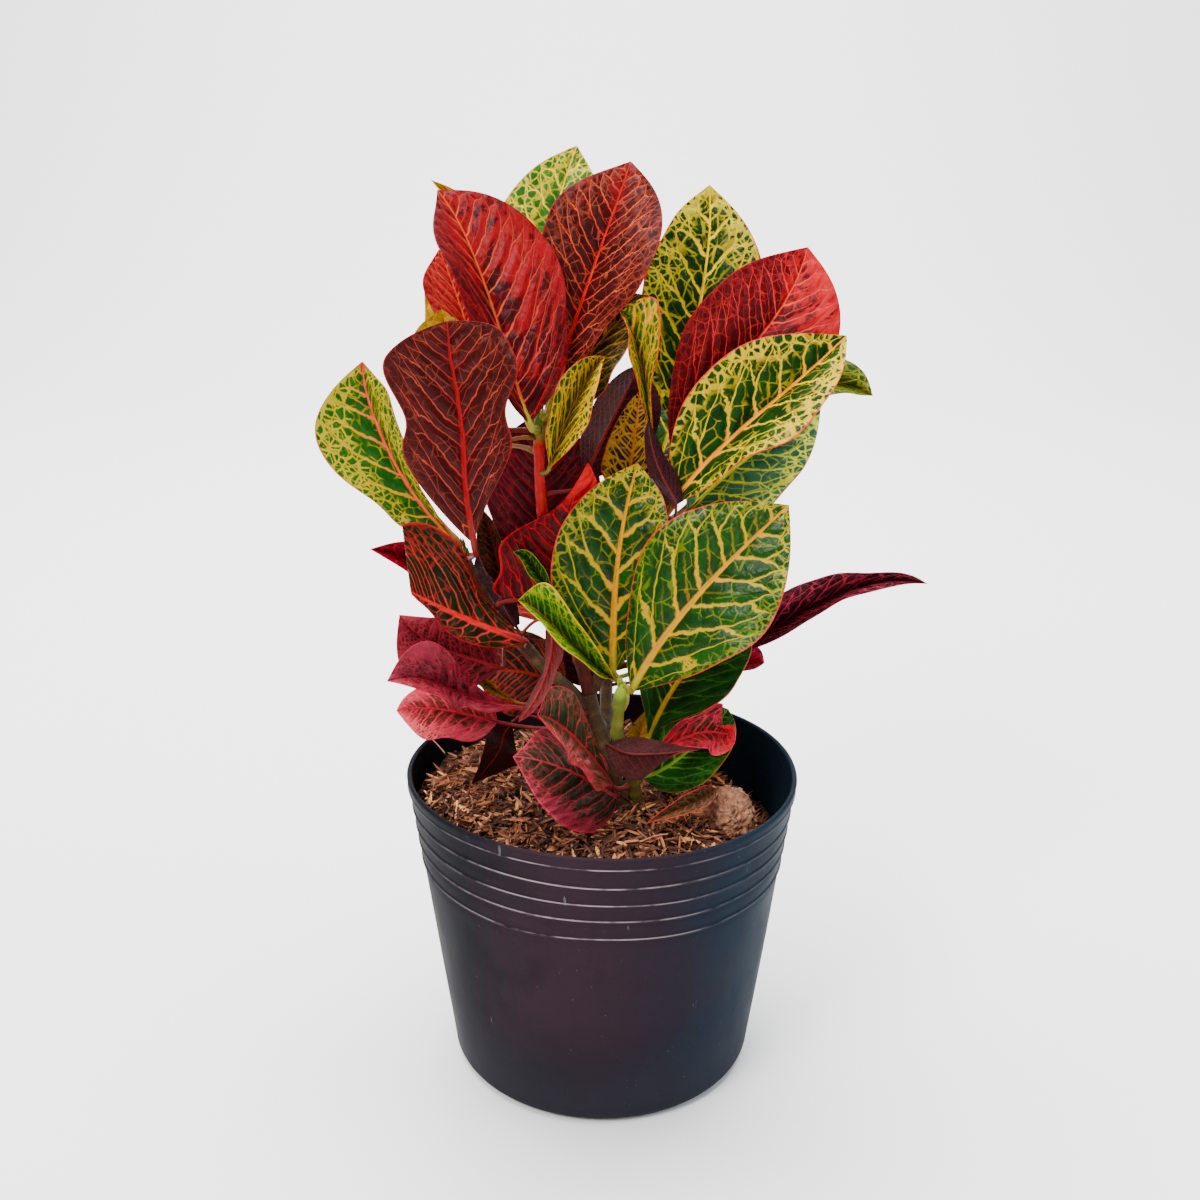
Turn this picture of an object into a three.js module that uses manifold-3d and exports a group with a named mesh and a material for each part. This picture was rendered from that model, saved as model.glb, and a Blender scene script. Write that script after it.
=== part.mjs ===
// Potted croton: a soft plastic nursery pot filled with rice-husk soil, three
// stems and their leaves. Millimetres, +Z up, origin at the centre of the
// underside of the pot. -Y is the front.
import * as THREE from 'three';
import { mergeVertices } from 'three/addons/utils/BufferGeometryUtils.js';
import Module from 'manifold-3d';

// ---- driving dimensions -------------------------------------------------
const POT_HEIGHT = 160.5;        // base to the top of the rim, on the axis
const RIM_RADIUS = 99.5;         // outside of the rim, mean
const BASE_RADIUS = 78.9;        // where the straight wall would meet the base
const WALL = 1.3;                // wall thickness
const FLOOR = 1.8;               // floor thickness
const EDGE_ROUND = 7;            // rounded bottom edge
const LIP_DEPTH = 6.5;           // height of the thicker band under the rim
const LIP_EXTRA = 0.9;           // how far that band stands out
const BEAD_HEIGHTS = [153.1, 143.9, 134.2, 125.3, 115.3]; // moulded rings
const BEAD_OUT = 0.7;            // how far a ring stands out
const BEAD_HALF = 1.5;           // half the width of a ring
const RIM_TILT = [0.019, -0.019];          // the soft rim leans this much per mm
const RIM_OVAL = [-0.09, -2.09, -1.09, 0.39]; // and is this far out of round
const HOLE_RADIUS = 4.5;         // drainage holes
const HOLE_CIRCLE = 58;
const HOLE_COUNT = 8;
const POT_SEGMENTS = 48;
const GAP = 0.35;                // clearance between pieces that touch
const SOIL_LEVEL = 141.5;          // soil surface near the stems
const SOIL_DIP = 20;             // how much lower it lies on the right
const STONE_CENTRE = [62, -9, 135.5];
const STONE_RADII = [13.5, 12.5, 14.5];
const PETIOLE_HALF_WIDTH = 1.5;
const PETIOLE_HALF_THICK = 1.3;
const BLADE_HALF_THICK = 0.55;
const MIDRIB_HALF_THICK = 0.9;

// ---- colours ------------------------------------------------------------
const COLOURS = { scarlet: 0xa81d22, maroon: 0x5c1219, greenyellow: 0x8c9a26, green: 0x2f5a1c, pinkred: 0xa92f40, purple: 0x3a1420 };

// Stem centre lines: x, y, z and radius, from the bottom up.
const STEMS = {
  trunk: [[10.9,-8,137.6,4.6],[4.5,-6,159.5,4.4],[-0.2,-3,175,4.2],[-4.9,0,188.6,4],[-7.5,2,199.4,3.8]],
  A: [[-7.5,2,199.4,3.6],[-10.6,5,211.3,3.4],[-16.8,9,231.5,3.2],[-23.8,11,257.4,3],[-29.1,10,281.2,2.9],[-31.4,9,299.4,2.8],[-32.2,8,319.7,2.6],[-32.1,8,333.5,2.8],[-32,8,341.3,2.2]],
  R: [[-7.5,2,199.4,3.4],[-0.9,7,209.5,3.2],[8.1,14,229.8,3.1],[19,18,258.1,3],[27.6,20,283.9,2.9],[33.1,21,309.4,2.7],[35.2,22,326.9,2.4]],
  B: [[-4.9,2,187.8,3.4],[-17.1,1,202,3.2],[-29.2,-1,213.6,3],[-38.5,-2,225.8,2.9],[-50.4,-1,236.1,2.6],[-57.8,1,249,2.5],[-63.6,2,260.2,2.5],[-67.9,3,269.2,2.6],[-69.8,4,277.1,2.4]],
  K: [[0.4,-1,170.6,3.4],[1.3,22,184.6,3.2],[2.2,36,215.9,3],[3,44,246.6,2.8],[3.8,48,278.3,2.6],[3.6,50,299.2,2.2]],
  D: [[19.7,-10,137,3.4],[13.5,-18,165.5,3.2],[7.2,-23,185.5,3],[7,-26,200.3,2.8],[7.8,-29,211.7,3.2],[8.7,-31,218.8,1.2]],
};

// Leaves: name, colour, leaf stalk (four Bezier points) and the blade as three
// lines from base to tip: midrib, left margin, right margin.
const LEAVES = [
  ['leaf_01', 'maroon', [[-29.2,7,341.3],[-26.7,6.1,341.9],[-26.8,5.1,345.1],[-26.1,6,347.6]],
   [[-26.1,6,347.6],[-23.1,10,358.7],[-19.1,14.4,371.8],[-14,19.1,387.1],[-8.7,23.8,402.3],[-3.2,28.8,417.5],[2.4,34.5,432.8],[7.2,40,445.9],[11.2,45.4,457]],
   [[-27.2,5.9,347.9],[-29.1,9.9,360.5],[-34.5,14.2,376.8],[-37.3,19.2,395],[-33.8,24.2,411.2],[-30,29.7,427.1],[-22.7,35.6,441.5],[-7.5,40.9,450.8],[11.2,45.4,457]],
   [[-25.4,5.2,347.7],[-18.6,5.6,358.9],[-8.2,3.9,371.8],[1,5.1,386.3],[14.1,3.5,400.6],[22.1,7.4,415.6],[25.4,16.3,431.5],[21.6,29.4,445.6],[11.2,45.4,457]]],
  ['leaf_02', 'greenyellow', [[-31.8,11.3,339.9],[-30.7,23,342.9],[-28.1,37.8,332.2],[-29,42.8,343.2]],
   [[-29,42.8,343.2],[-29.9,48,354.7],[-30.7,54.3,368.6],[-31,61.5,384.8],[-30.3,68.8,401.1],[-28.3,76.1,417.8],[-24.8,83.4,434.8],[-20.3,89.8,449.9],[-15.5,95,462.8]],
   [[-30.1,42.7,343.2],[-41.8,46.5,354.6],[-53.3,51.5,368.9],[-60.3,58.2,386.6],[-61.8,65.6,405],[-57.9,73.4,423.7],[-47.9,81.5,441.5],[-33.4,88.7,454.7],[-15.5,95,462.8]],
   [[-27.9,42.6,343.4],[-18.1,45.5,356.7],[-8.2,49.4,371.7],[-1.6,55.1,387.3],[1.6,61.5,401.8],[2.9,68.6,416],[0.8,77,431.1],[-5.5,85.8,446.5],[-15.5,95,462.8]]],
  ['leaf_03', 'greenyellow', [[-33.2,11.4,336.9],[-37.1,22.7,339.9],[-36.2,35,340.8],[-42.8,39.5,350.3]],
   [[-42.8,39.5,350.3],[-48.8,43.6,358.9],[-54.2,48.5,370.1],[-58.7,54.1,384.1],[-62.5,59.6,398.5],[-66.8,64.9,413],[-72.7,69.9,426.8],[-79.9,73.8,437.9],[-88.1,76.8,446.4]],
   [[-43,38.7,350.5],[-51,35,361.5],[-57.5,32.3,375.6],[-62.1,33.1,391.4],[-65.5,36.7,406.3],[-69.3,42.4,420.2],[-74.8,51.1,432.4],[-81.2,63.1,440.7],[-88.1,76.8,446.4]],
   [[-42.6,38.9,350.8],[-45.6,36.7,363.9],[-47,35.2,378.5],[-48.7,36.6,393.8],[-51.8,40.3,408.6],[-57.2,45.7,423.2],[-66.3,53.8,435.9],[-77.4,64.8,443.1],[-88.1,76.8,446.4]]],
  ['leaf_04', 'scarlet', [[-33,4.5,335.3],[-34.2,-0.6,336.6],[-34.1,-9.3,336.7],[-36,-7.9,341.5]],
   [[-36,-7.9,341.5],[-39.6,-5,350.7],[-43.8,-1.5,363.2],[-48.8,2.8,378.9],[-54.2,7.2,395.1],[-60.2,11.8,411],[-66.8,16.4,425.7],[-73.3,20.4,436.6],[-79.3,23.8,444.3]],
   [[-36.3,-8.9,341.8],[-43.7,-20,353.7],[-50.7,-24.9,367.4],[-57.3,-23.5,383.2],[-64.5,-21.5,399.5],[-71.8,-17.2,414.9],[-77.4,-6.8,428.1],[-79,9.2,437.2],[-79.3,23.8,444.3]],
   [[-34.9,-7.7,341.9],[-23.6,-2.9,355.9],[-18.1,1.6,370.7],[-18.7,6.3,387.7],[-20,11.2,405.9],[-28.1,15.7,422.8],[-43.3,19.7,436.7],[-61.7,22.2,443.8],[-79.3,23.8,444.3]]],
  ['leaf_05', 'greenyellow', [[35.4,25.2,325.2],[35.6,27.9,325.7],[35.8,29.7,327.4],[36.1,30.7,330]],
   [[36.1,30.7,330],[37.6,34.9,341.5],[39.9,40.1,355.1],[43,46.1,370.8],[46.2,52.2,386.3],[48.9,58.2,402.1],[50.9,64.1,418.3],[51.5,69.1,432.7],[51.1,73.2,445.1]],
   [[35,30.3,330.2],[25.8,31.3,344.7],[18.5,33.6,361.7],[15.9,37.9,379.6],[17,43.2,395.5],[21.1,49.5,409.5],[28.3,57,422.7],[36.7,64.3,434.4],[51.1,73.2,445.1]],
   [[37.1,30.3,330],[49.2,30.2,341.6],[61,31.4,354.5],[69.9,35,369.5],[75.7,39.9,385.3],[77.5,46.4,402.2],[73,55,419.7],[62.9,64.4,434.2],[51.1,73.2,445.1]]],
  ['leaf_06', 'scarlet', [[-35.7,7.5,334],[-42.9,6.6,335.9],[-52.5,2.6,333.1],[-54.4,5.2,339.8]],
   [[-54.4,5.2,339.8],[-57,8.7,349],[-60,13.3,359.3],[-63.6,18.8,370.5],[-67.2,24.4,381],[-71,30,390.9],[-74.9,35.5,400.6],[-78.5,39.9,408.7],[-81.7,43.3,415.5]],
   [[-54.8,4.5,339.9],[-61.2,2.5,350.4],[-68.6,0.9,362.4],[-75.2,2.6,375],[-78.9,8.6,385.5],[-83.6,13.1,395.6],[-86.9,19.4,404.4],[-84.7,31.5,410.3],[-81.7,43.3,415.5]],
   [[-53.6,5,340.1],[-49.8,7.2,351.7],[-46,10.3,365],[-45,15,378.6],[-47,20.4,390.5],[-51.2,26.1,401],[-58.6,32.2,409.4],[-69.2,38,414],[-81.7,43.3,415.5]]],
  ['leaf_07', 'greenyellow', [[-35.2,6,331.1],[-44.2,0.2,333.9],[-56.9,-12.6,327.7],[-59,-9.4,338.1]],
   [[-59,-9.4,338.1],[-60.2,-7.5,344.3],[-62.3,-5.2,351.7],[-65.2,-2.7,360.3],[-68.4,-0.6,368.5],[-71.5,0.6,376.3],[-74,0.8,383.5],[-75.5,0,388.9],[-76.1,-1.7,393]],
   [[-59.7,-9.6,338.1],[-67,-9.5,343.3],[-75.7,-9.3,348.8],[-82.9,-8.3,355.2],[-87.8,-6.8,362.2],[-90.6,-5.3,369.6],[-90.3,-3.9,377.9],[-85.5,-2.6,386.1],[-76.1,-1.7,393]],
   [[-58.4,-9.9,338.3],[-55,-11.7,346.8],[-52.2,-13.6,357.5],[-52.1,-14.1,368.3],[-54,-13.6,377],[-56.9,-12.8,383.3],[-61.2,-10.7,386.9],[-67.9,-6.6,388.7],[-76.1,-1.7,393]]],
  ['leaf_08', 'scarlet', [[34.1,17.9,317.2],[34,15.4,316.5],[30.7,8,317.6],[32.5,11.3,324.3]],
   [[32.5,11.3,324.3],[37.9,13.9,333.7],[45.7,17,344.4],[56.1,20.5,356.4],[67.1,24.3,368.5],[77.7,28.5,380.9],[87.1,33.4,394.2],[93.6,38.4,406.6],[97.5,43.1,417.9]],
   [[31.6,11.1,324.8],[30.1,11.9,339.3],[30.9,13,357.5],[35.2,14.5,377.1],[43.2,17.1,392.2],[53.3,21.1,402.9],[65.3,27,410.2],[78.9,34.1,414.7],[97.5,43.1,417.9]],
   [[33.5,10.8,324],[46.7,9.1,329.3],[62.1,7.1,334],[77.1,7.3,341.5],[91.1,9.4,351.8],[104.3,13.1,365.2],[111.9,20.5,383.9],[108,31.5,403.3],[97.5,43.1,417.9]]],
  ['leaf_09', 'greenyellow', [[-28.9,9.6,337.5],[-26.3,11,338.3],[-25.6,10.6,341.2],[-24,12.1,343.4]],
   [[-24,12.1,343.4],[-21.4,14.8,347.1],[-18.1,18,352.2],[-13.8,21.9,358.9],[-8.7,25.7,366.1],[-2.4,29.7,373.8],[5.3,33.6,381.7],[13.4,37.1,388.6],[21.3,40.1,394.3]],
   [[-24.7,11.9,344],[-30.3,12.1,354.9],[-33.3,13.3,364.7],[-32.1,16.1,374.2],[-27.1,19.7,383.1],[-18.9,24.1,391.2],[-6.5,29.4,396.7],[7.6,34.8,397.2],[21.3,40.1,394.3]],
   [[-23.4,11.5,343.3],[-12.1,5.5,347.2],[-3.5,1.9,352.7],[1.7,2.4,359.3],[4.5,6.8,366],[9,11,373.1],[13.9,17.5,380.7],[17.9,27.5,387.8],[21.3,40.1,394.3]]],
  ['leaf_10', 'scarlet', [[-31.2,11.5,335.3],[-27.8,25.8,338.9],[-15.7,40,330.6],[-22,50,340]],
   [[-22,50,340],[-26.2,56.7,346.3],[-31.3,64.8,352.9],[-37.4,74.4,359.2],[-43.8,84,363.8],[-50.5,93.6,366.3],[-57.6,103.2,366.6],[-64.2,111.3,364.9],[-70,118,362]],
   [[-22.7,49.4,340.1],[-34,50.7,347.4],[-46,53.8,355.3],[-56.4,60.2,362.5],[-64.3,68.8,367.5],[-70.5,78.7,369.9],[-74,90.7,369.2],[-73.4,104,366.1],[-70,118,362]],
   [[-21.2,50.2,340.3],[-17.4,59,349.9],[-15,69.7,360.1],[-17,81.9,369],[-22.8,94,375.1],[-31.5,105.5,377.9],[-43.6,115,376.5],[-57.3,119.1,370.6],[-70,118,362]]],
  ['leaf_11', 'greenyellow', [[32.8,18.5,319.3],[28.7,11.1,322.4],[24.3,-0.8,320.1],[22.6,-0.7,329]],
   [[22.6,-0.7,329],[21.3,-0.6,335.8],[19.9,-0.2,343.8],[18.9,0.4,353.3],[17.3,1.6,362.5],[15.1,3.6,371.5],[12.5,5.6,379.6],[9.6,7.6,386.3],[5.3,9.5,392]],
   [[22.1,-1.2,329.6],[20.4,-4.4,338.5],[17.7,-8.4,348.9],[14.2,-11.4,360.2],[11.8,-12.4,369.1],[10.6,-10.4,377],[9.9,-5.4,383.1],[8.1,1.6,388],[5.3,9.5,392]],
   [[23,-1.1,329.6],[21.8,-3.4,339.7],[21.5,-7.4,350.1],[21.4,-10.9,362.5],[23.2,-12.4,373.8],[24.9,-10.4,383.1],[24.4,-4.4,393.5],[19.1,3.6,398.6],[5.3,9.5,392]]],
  ['leaf_12', 'greenyellow', [[-34.8,10.4,323.5],[-43.7,18.6,326.6],[-53.7,27,318.8],[-58.6,32.5,328.9]],
   [[-58.6,32.5,328.9],[-61.4,35.5,334.5],[-64.1,39.1,341],[-67.1,43.3,348.6],[-70.2,47.3,356.6],[-74.1,51.1,365.3],[-79.3,54.6,375.1],[-85.2,57.2,384.7],[-91.4,59.2,393.7]],
   [[-59.2,32.1,328.8],[-68.1,30.9,333.9],[-76.4,31,340.6],[-82.4,32.9,348.3],[-86.3,35.9,355.3],[-89.1,39.5,362.6],[-90.7,44.8,371.6],[-90.7,52.1,382.4],[-91.4,59.2,393.7]],
   [[-58.1,32.2,329.3],[-54.9,32.9,338.9],[-52.1,34.5,348.4],[-51.8,37.3,357.6],[-54,40.8,366.4],[-58.7,44.7,375.3],[-67.1,49.3,383.7],[-78.6,54.2,389.8],[-91.4,59.2,393.7]]],
  ['leaf_13', 'greenyellow', [[-30.3,5.2,313.9],[-28.7,2.6,314.6],[-27.7,-1.7,315.3],[-26.8,-0.8,318.2]],
   [[-26.8,-0.8,318.2],[-25.1,0.7,323.5],[-22.7,2.3,330.4],[-19.4,3.8,338.8],[-15.6,5.1,347.2],[-11.5,6,355.1],[-7.2,6.6,362.1],[-3.5,6.9,367.1],[-0.5,6.9,370.2]],
   [[-27,-1.6,318.5],[-27.6,-5.9,326],[-27.9,-10.9,335],[-26.6,-13.2,344.7],[-24.5,-14.7,354.1],[-21.1,-14,362.5],[-15.7,-10,369],[-8.6,-2.6,371.6],[-0.5,6.9,370.2]],
   [[-26.4,-1.6,318.3],[-21.6,-6.2,324.1],[-15.9,-12.3,330.8],[-10.9,-16.9,338.6],[-7.7,-18,346.4],[-5.3,-16.9,354],[-3.7,-12.5,361.1],[-2.4,-4.3,366.5],[-0.5,6.9,370.2]]],
  ['leaf_14', 'maroon', [[-67,0.4,272.3],[-59.4,-10.3,279.4],[-60.1,-35.7,281.3],[-61,-34,291.3]],
   [[-61,-34,291.3],[-62.1,-32.5,300.1],[-64.2,-30.7,315.5],[-65,-28.5,336.4],[-66.1,-27.3,347.1],[-68.2,-25.3,362.4],[-70.4,-23.8,374.9],[-71.1,-22.9,383.9],[-71.5,-22.6,390.5]],
   [[-62.6,-34,291.3],[-69.7,-34,298.6],[-85.4,-34,318.4],[-92.4,-32.4,335.9],[-91.1,-30.2,348.4],[-99.9,-29.1,367.5],[-95.3,-27.4,379.3],[-84.8,-25.4,385.9],[-71.9,-22.6,390.5]],
   [[-60.3,-34,291.8],[-56.9,-35.5,304.1],[-46.9,-38.4,324.2],[-41.9,-38,339.4],[-45.2,-35.9,353.1],[-39.1,-34.8,368.3],[-42.1,-31.8,380.3],[-51.5,-27.8,389.8],[-70.6,-22.6,390.7]]],
  ['leaf_15', 'greenyellow', [[34,24.2,306.4],[37.5,32,307.7],[36.2,42.7,306.8],[43.3,44.4,311.4]],
   [[43.3,44.4,311.4],[52.4,46.5,317.3],[63,49.1,324.8],[75.4,52.2,333.6],[87.9,55.5,341],[101,58.8,346.2],[114.9,62.4,347.8],[127.7,65.7,345.6],[139.1,68.5,340.6]],
   [[43.1,43.8,312.1],[49.6,41.7,323.1],[57.1,39.4,336.4],[68.1,39.2,349.5],[82.2,41,359.6],[99.7,44.7,364.8],[118.5,50.2,362.3],[132.2,57.4,353.2],[139.1,68.5,340.6]],
   [[43.5,43.5,311.5],[53.6,38.6,318.3],[65.5,33.1,327],[78.9,30.8,336.5],[92.5,31.9,344],[106.5,35.9,347.9],[119.7,43.4,346.9],[130,53.7,343.5],[139.1,68.5,340.6]]],
  ['leaf_16', 'greenyellow', [[27.4,16.2,283],[27.9,8.3,285.4],[26.3,-0.4,290.4],[31.1,0,297.3]],
   [[31.1,0,297.3],[37.9,0.6,307.1],[46.7,1.6,317.9],[57.8,3,329.4],[69.5,4.8,340.2],[81.7,6.9,350.6],[94.2,9.2,361.4],[105,11.5,371.1],[114,13.5,379.8]],
   [[30.1,0,297.8],[30,1,313],[31.4,2.6,331.5],[37.6,4.7,350.1],[48.3,6.8,364],[61.4,8.9,374.2],[77.8,10.9,379.8],[95.6,12.4,380.9],[114,13.5,379.8]],
   [[31.3,-1,297.2],[40.1,-8.5,306.1],[51.4,-16.4,315.7],[64.2,-20.2,326.1],[78.7,-25.5,335.2],[91.8,-23,345.1],[103.3,-14.6,356.5],[110.8,-2.3,368.2],[114,13.5,379.8]]],
  ['leaf_17', 'maroon', [[-28,8.7,302.6],[-20.9,8.2,304.8],[-12.8,5.1,303.6],[-9.9,7.4,310]],
   [[-9.9,7.4,310],[-7.5,9.4,315.4],[-4.4,11.9,321.9],[-0.7,14.9,329.4],[3.2,17.9,337],[7.1,20.6,344.4],[10.9,22.9,351.9],[14,24.4,358.2],[16.5,25.3,363.4]],
   [[-10.3,8.1,310],[-11.7,16,314.8],[-12.8,25.1,320.7],[-11.8,32.6,328],[-8.2,36.5,335.8],[-4.1,39.6,343.8],[1.5,39.7,352],[8.8,34.3,358.7],[16.5,25.3,363.4]],
   [[-9.2,7.6,309.7],[-0.8,11.3,311.6],[8.8,15.6,314],[16.8,19.8,318.6],[22.4,23.2,325],[26.2,26,332.7],[27.1,27.5,342.4],[23.6,27.1,353],[16.5,25.3,363.4]]],
  ['leaf_18', 'green', [[28.3,23.7,294.1],[26.4,27.8,295.6],[22.8,30.8,296.6],[24,34,300]],
   [[24,34,300],[27,41.9,308.5],[30.6,51.5,317.5],[34.7,62.9,326.1],[38.8,74.5,332.5],[42.7,86.4,336.5],[46.5,98.5,338.1],[49.5,109.1,337.3],[52,118,335]],
   [[23.1,34.1,300.3],[17.2,42.7,311.4],[12.3,53.3,323.2],[11.4,66,333.9],[13.9,78.9,341.5],[18.8,91.9,345.7],[27.1,104.2,345.8],[38.7,112.9,341.6],[52,118,335]],
   [[24.8,33.5,300.1],[35.7,36.8,310.3],[47.1,42.3,321.1],[56.3,51.8,331.3],[62.5,63.7,338.8],[66.3,77.2,343.1],[66.4,92.4,343.7],[61.1,106.3,340.4],[52,118,335]]],
  ['leaf_19', 'purple', [[26,17.9,289.1],[20,12.5,293],[10.7,1.7,292.4],[11.1,4.1,301]],
   [[11.1,4.1,301],[11.3,5.7,306.6],[11.8,7.6,313.3],[12.7,9.9,321.1],[13.8,12.1,329],[14.9,14.4,337.2],[15.7,16.5,344.1],[16.2,18,348.4],[16.5,19.1,351.1]],
   [[10.1,4.1,301],[3,4.7,307],[-1.9,5.8,313.8],[-1.4,7.7,320.8],[0.7,10.1,327.8],[4.9,12.9,337.2],[9.7,15.7,344.7],[13.2,17.6,348.9],[16,19.1,351.1]],
   [[12.6,4.1,301],[17.2,4.7,306.9],[20.8,5.8,313.8],[21.7,7.7,321.8],[22,10.1,329.5],[21.4,12.9,336.9],[20.2,15.7,343.4],[18.6,17.6,347.9],[17,19.1,351.1]]],
  ['leaf_20', 'greenyellow', [[-70,0.3,274.3],[-70.9,-3.4,275.6],[-70,-4.9,281.6],[-73,-3.3,283.7]],
   [[-73,-3.3,283.7],[-79.1,-0.1,288.2],[-86.5,3.6,295.3],[-95,7.7,305.8],[-102.7,11.5,318],[-109.3,14.9,331.1],[-114.3,17.9,344.5],[-117,20,355.7],[-117.8,21.5,364.6]],
   [[-73.5,-3.7,283.2],[-83.7,-3,284.4],[-97.5,-2.6,288],[-109.4,0.3,298],[-123.9,1.5,308.7],[-135.8,3.4,322.2],[-139.1,8.1,339],[-129.6,15.5,354.5],[-117.8,21.5,364.6]],
   [[-73.1,-4.1,284.2],[-78.9,-5.4,291.6],[-84.3,-8.6,302.8],[-89.9,-8.9,315.2],[-94.2,-9,328.6],[-97.7,-7.6,341.6],[-102.1,-1.9,352.3],[-109.6,9.6,358.8],[-117.8,21.5,364.6]]],
  ['leaf_21', 'greenyellow', [[31.1,17.4,287.8],[34.9,13.4,288.5],[37.2,6.6,290.2],[40.8,8.5,293.9]],
   [[40.8,8.5,293.9],[46.3,11.2,299.3],[53,14.5,305.1],[61,18.3,311.2],[69.4,21.9,317.1],[78.6,25.4,323.5],[88.7,28.6,330.9],[98.2,31.1,338.5],[106.9,32.8,346]],
   [[40.2,8.3,294.5],[39.3,9.2,307.9],[41.4,11.1,321.5],[47.4,14.1,332.7],[55.3,17.4,340.3],[64.5,20.9,345.7],[76.3,24.7,348.5],[90.8,28.8,348],[106.9,32.8,346]],
   [[41.5,7.9,293.5],[53.9,4.3,294.9],[66.4,1.6,296.3],[78.1,0.7,298.6],[85.6,4.3,304.1],[93.1,8.7,311.4],[100,14.8,321.2],[104.5,23.2,333.2],[106.9,32.8,346]]],
  ['leaf_22', 'purple', [[25.4,15.7,273.6],[28.3,7.5,275.3],[34.9,-16.3,297.2],[33.6,-10.5,304.1]],
   [[33.6,-10.5,304.1],[33.5,-9.9,304.8],[32.4,-9.3,306.7],[30.2,-8.9,310.3],[27.4,-8.7,315.4],[24.6,-8.7,321.8],[22.1,-8.8,329.3],[20.6,-9,336.6],[19.9,-9.2,343.1]],
   [[33.4,-10.4,303.9],[32,-6.7,302.4],[29.3,-3.4,303.7],[26.1,-1.6,307.5],[22.6,-0.3,312.9],[19.9,-0.7,320],[18.5,-2.5,328.5],[18.5,-5.2,336.4],[19.9,-9.2,343.1]],
   [[33.8,-10.5,303.8],[36.5,-6.9,304.7],[36.8,-3.3,308.2],[35.6,-0.6,312.8],[32.6,-0.4,317.8],[29.1,-1.2,323.6],[25.7,-2.9,330.4],[22.7,-5.5,337],[19.9,-9.2,343.1]]],
  ['leaf_23', 'greenyellow', [[30.2,23.1,284.9],[35.4,29.8,285.4],[38.8,34.3,286.5],[44,40,290]],
   [[44,40,290],[50.5,47.2,294.4],[58.2,55.8,298.5],[66.8,65.7,301.7],[75,75.5,303],[82.7,85,302.5],[89.9,94.3,300],[95.6,101.9,296.3],[100,108,292]],
   [[43.4,40.3,290.4],[43.8,51,298.5],[46,63.3,306.4],[51.7,76.2,312.1],[59.5,87.8,314.5],[68.6,98.1,313.8],[79.2,106,309.2],[90,109.1,301.4],[100,108,292]],
   [[44.6,39.4,290.1],[56.8,41.2,295.2],[70.1,44.7,300.1],[82.5,51.8,303.8],[92.5,61,305.3],[100.3,71.4,304.5],[104.8,83.5,301.3],[104.2,95.9,296.7],[100,108,292]]],
  ['leaf_24', 'maroon', [[-25.7,14.6,260.2],[-26.7,17.2,260.7],[-28.1,18.2,262.6],[-28.5,19.4,265.2]],
   [[-28.5,19.4,265.2],[-29.2,21.2,269.1],[-29.8,23.4,275.5],[-30.4,26.1,284.8],[-30.8,28.8,295.5],[-31.1,31.6,307.2],[-31.3,34.5,319.3],[-31.4,37,329.6],[-31.4,39.1,337.9]],
   [[-29.6,19.2,265],[-41.3,18.9,268.4],[-51.9,19.5,275],[-56.2,21.7,284.7],[-60.1,23.9,295.8],[-59.8,26.9,307.8],[-54.6,30.6,319.9],[-44.7,34.8,330],[-31.4,39.1,337.9]],
   [[-27.6,19.2,265.4],[-18.6,19.3,271.2],[-10.4,19.7,278.2],[-6.8,21.4,287.2],[-2.8,23.1,297.8],[-3.4,26,309.1],[-8.6,29.9,320.6],[-18.5,34.4,330.3],[-31.4,39.1,337.9]]],
  ['leaf_25', 'maroon', [[-53.1,1,247.2],[-51.4,1.4,248.7],[-49.7,2.1,249],[-47.4,1.7,249.4]],
   [[-47.4,1.7,249.4],[-39.5,0.4,250.6],[-31.4,-0.7,254.6],[-24.5,-1.5,264.6],[-20.9,-2.3,276.3],[-18.9,-1.5,287.5],[-16,0,300.7],[-12.5,1.8,311.5],[-8.4,3.7,319.4]],
   [[-49,2.7,250.1],[-54.7,4.1,252.8],[-54.9,5.2,257.3],[-51.5,5.7,264.9],[-52.6,4.7,275.5],[-43.9,3.9,285.3],[-29.6,2.9,293.4],[-17.6,2.9,304.2],[-8.9,3.7,319.4]],
   [[-45.9,1.7,248.9],[-32.2,2.9,243.8],[-17.8,4.4,244.6],[-6.1,5.9,255.2],[-2.3,6.7,269.5],[-1.5,5.9,287.4],[-2,4.1,300.1],[-4,3.7,310.4],[-7.9,3.7,319.4]]],
  ['leaf_26', 'green', [[9.3,-23.9,203.9],[15.4,-14.7,208.9],[4.7,-9,214.2],[4.6,-14.3,218.2]],
   [[4.6,-14.3,218.2],[4.4,-12.9,229.6],[4.5,-11.2,242.6],[5,-9.1,257.2],[6.1,-6.9,271.2],[7.8,-4.5,284.9],[10.2,-1.9,298.5],[12.9,0.4,310.1],[15.5,2.5,319.9]],
   [[3.6,-14.5,218.2],[-6.4,-14.9,229.7],[-16.5,-14.9,243.5],[-24.9,-14.1,259.6],[-25.8,-11.8,275.2],[-21.5,-8.7,290.1],[-11.9,-4.9,303.6],[0.6,-1.2,313.5],[15.5,2.5,319.9]],
   [[5.5,-14.6,218.3],[14.6,-16.3,230],[23.5,-17.7,243.1],[29.5,-17.6,257.1],[32.4,-16.3,270.2],[32.7,-13.7,282.9],[30.1,-9.5,295.9],[26.1,-4.7,307.9],[15.5,2.5,319.9]]],
  ['leaf_27', 'maroon', [[-54.4,3.4,246.3],[-52.3,7.6,248],[-50.2,12.4,248.9],[-51.2,13.8,253.7]],
   [[-51.2,13.8,253.7],[-51.7,14.6,256.4],[-52.5,15.4,260.2],[-53.7,16,265.2],[-55.1,16.6,270.6],[-56.5,17.2,276.3],[-58.1,18,282.1],[-59.4,18.9,286.9],[-60.6,19.9,290.8]],
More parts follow.
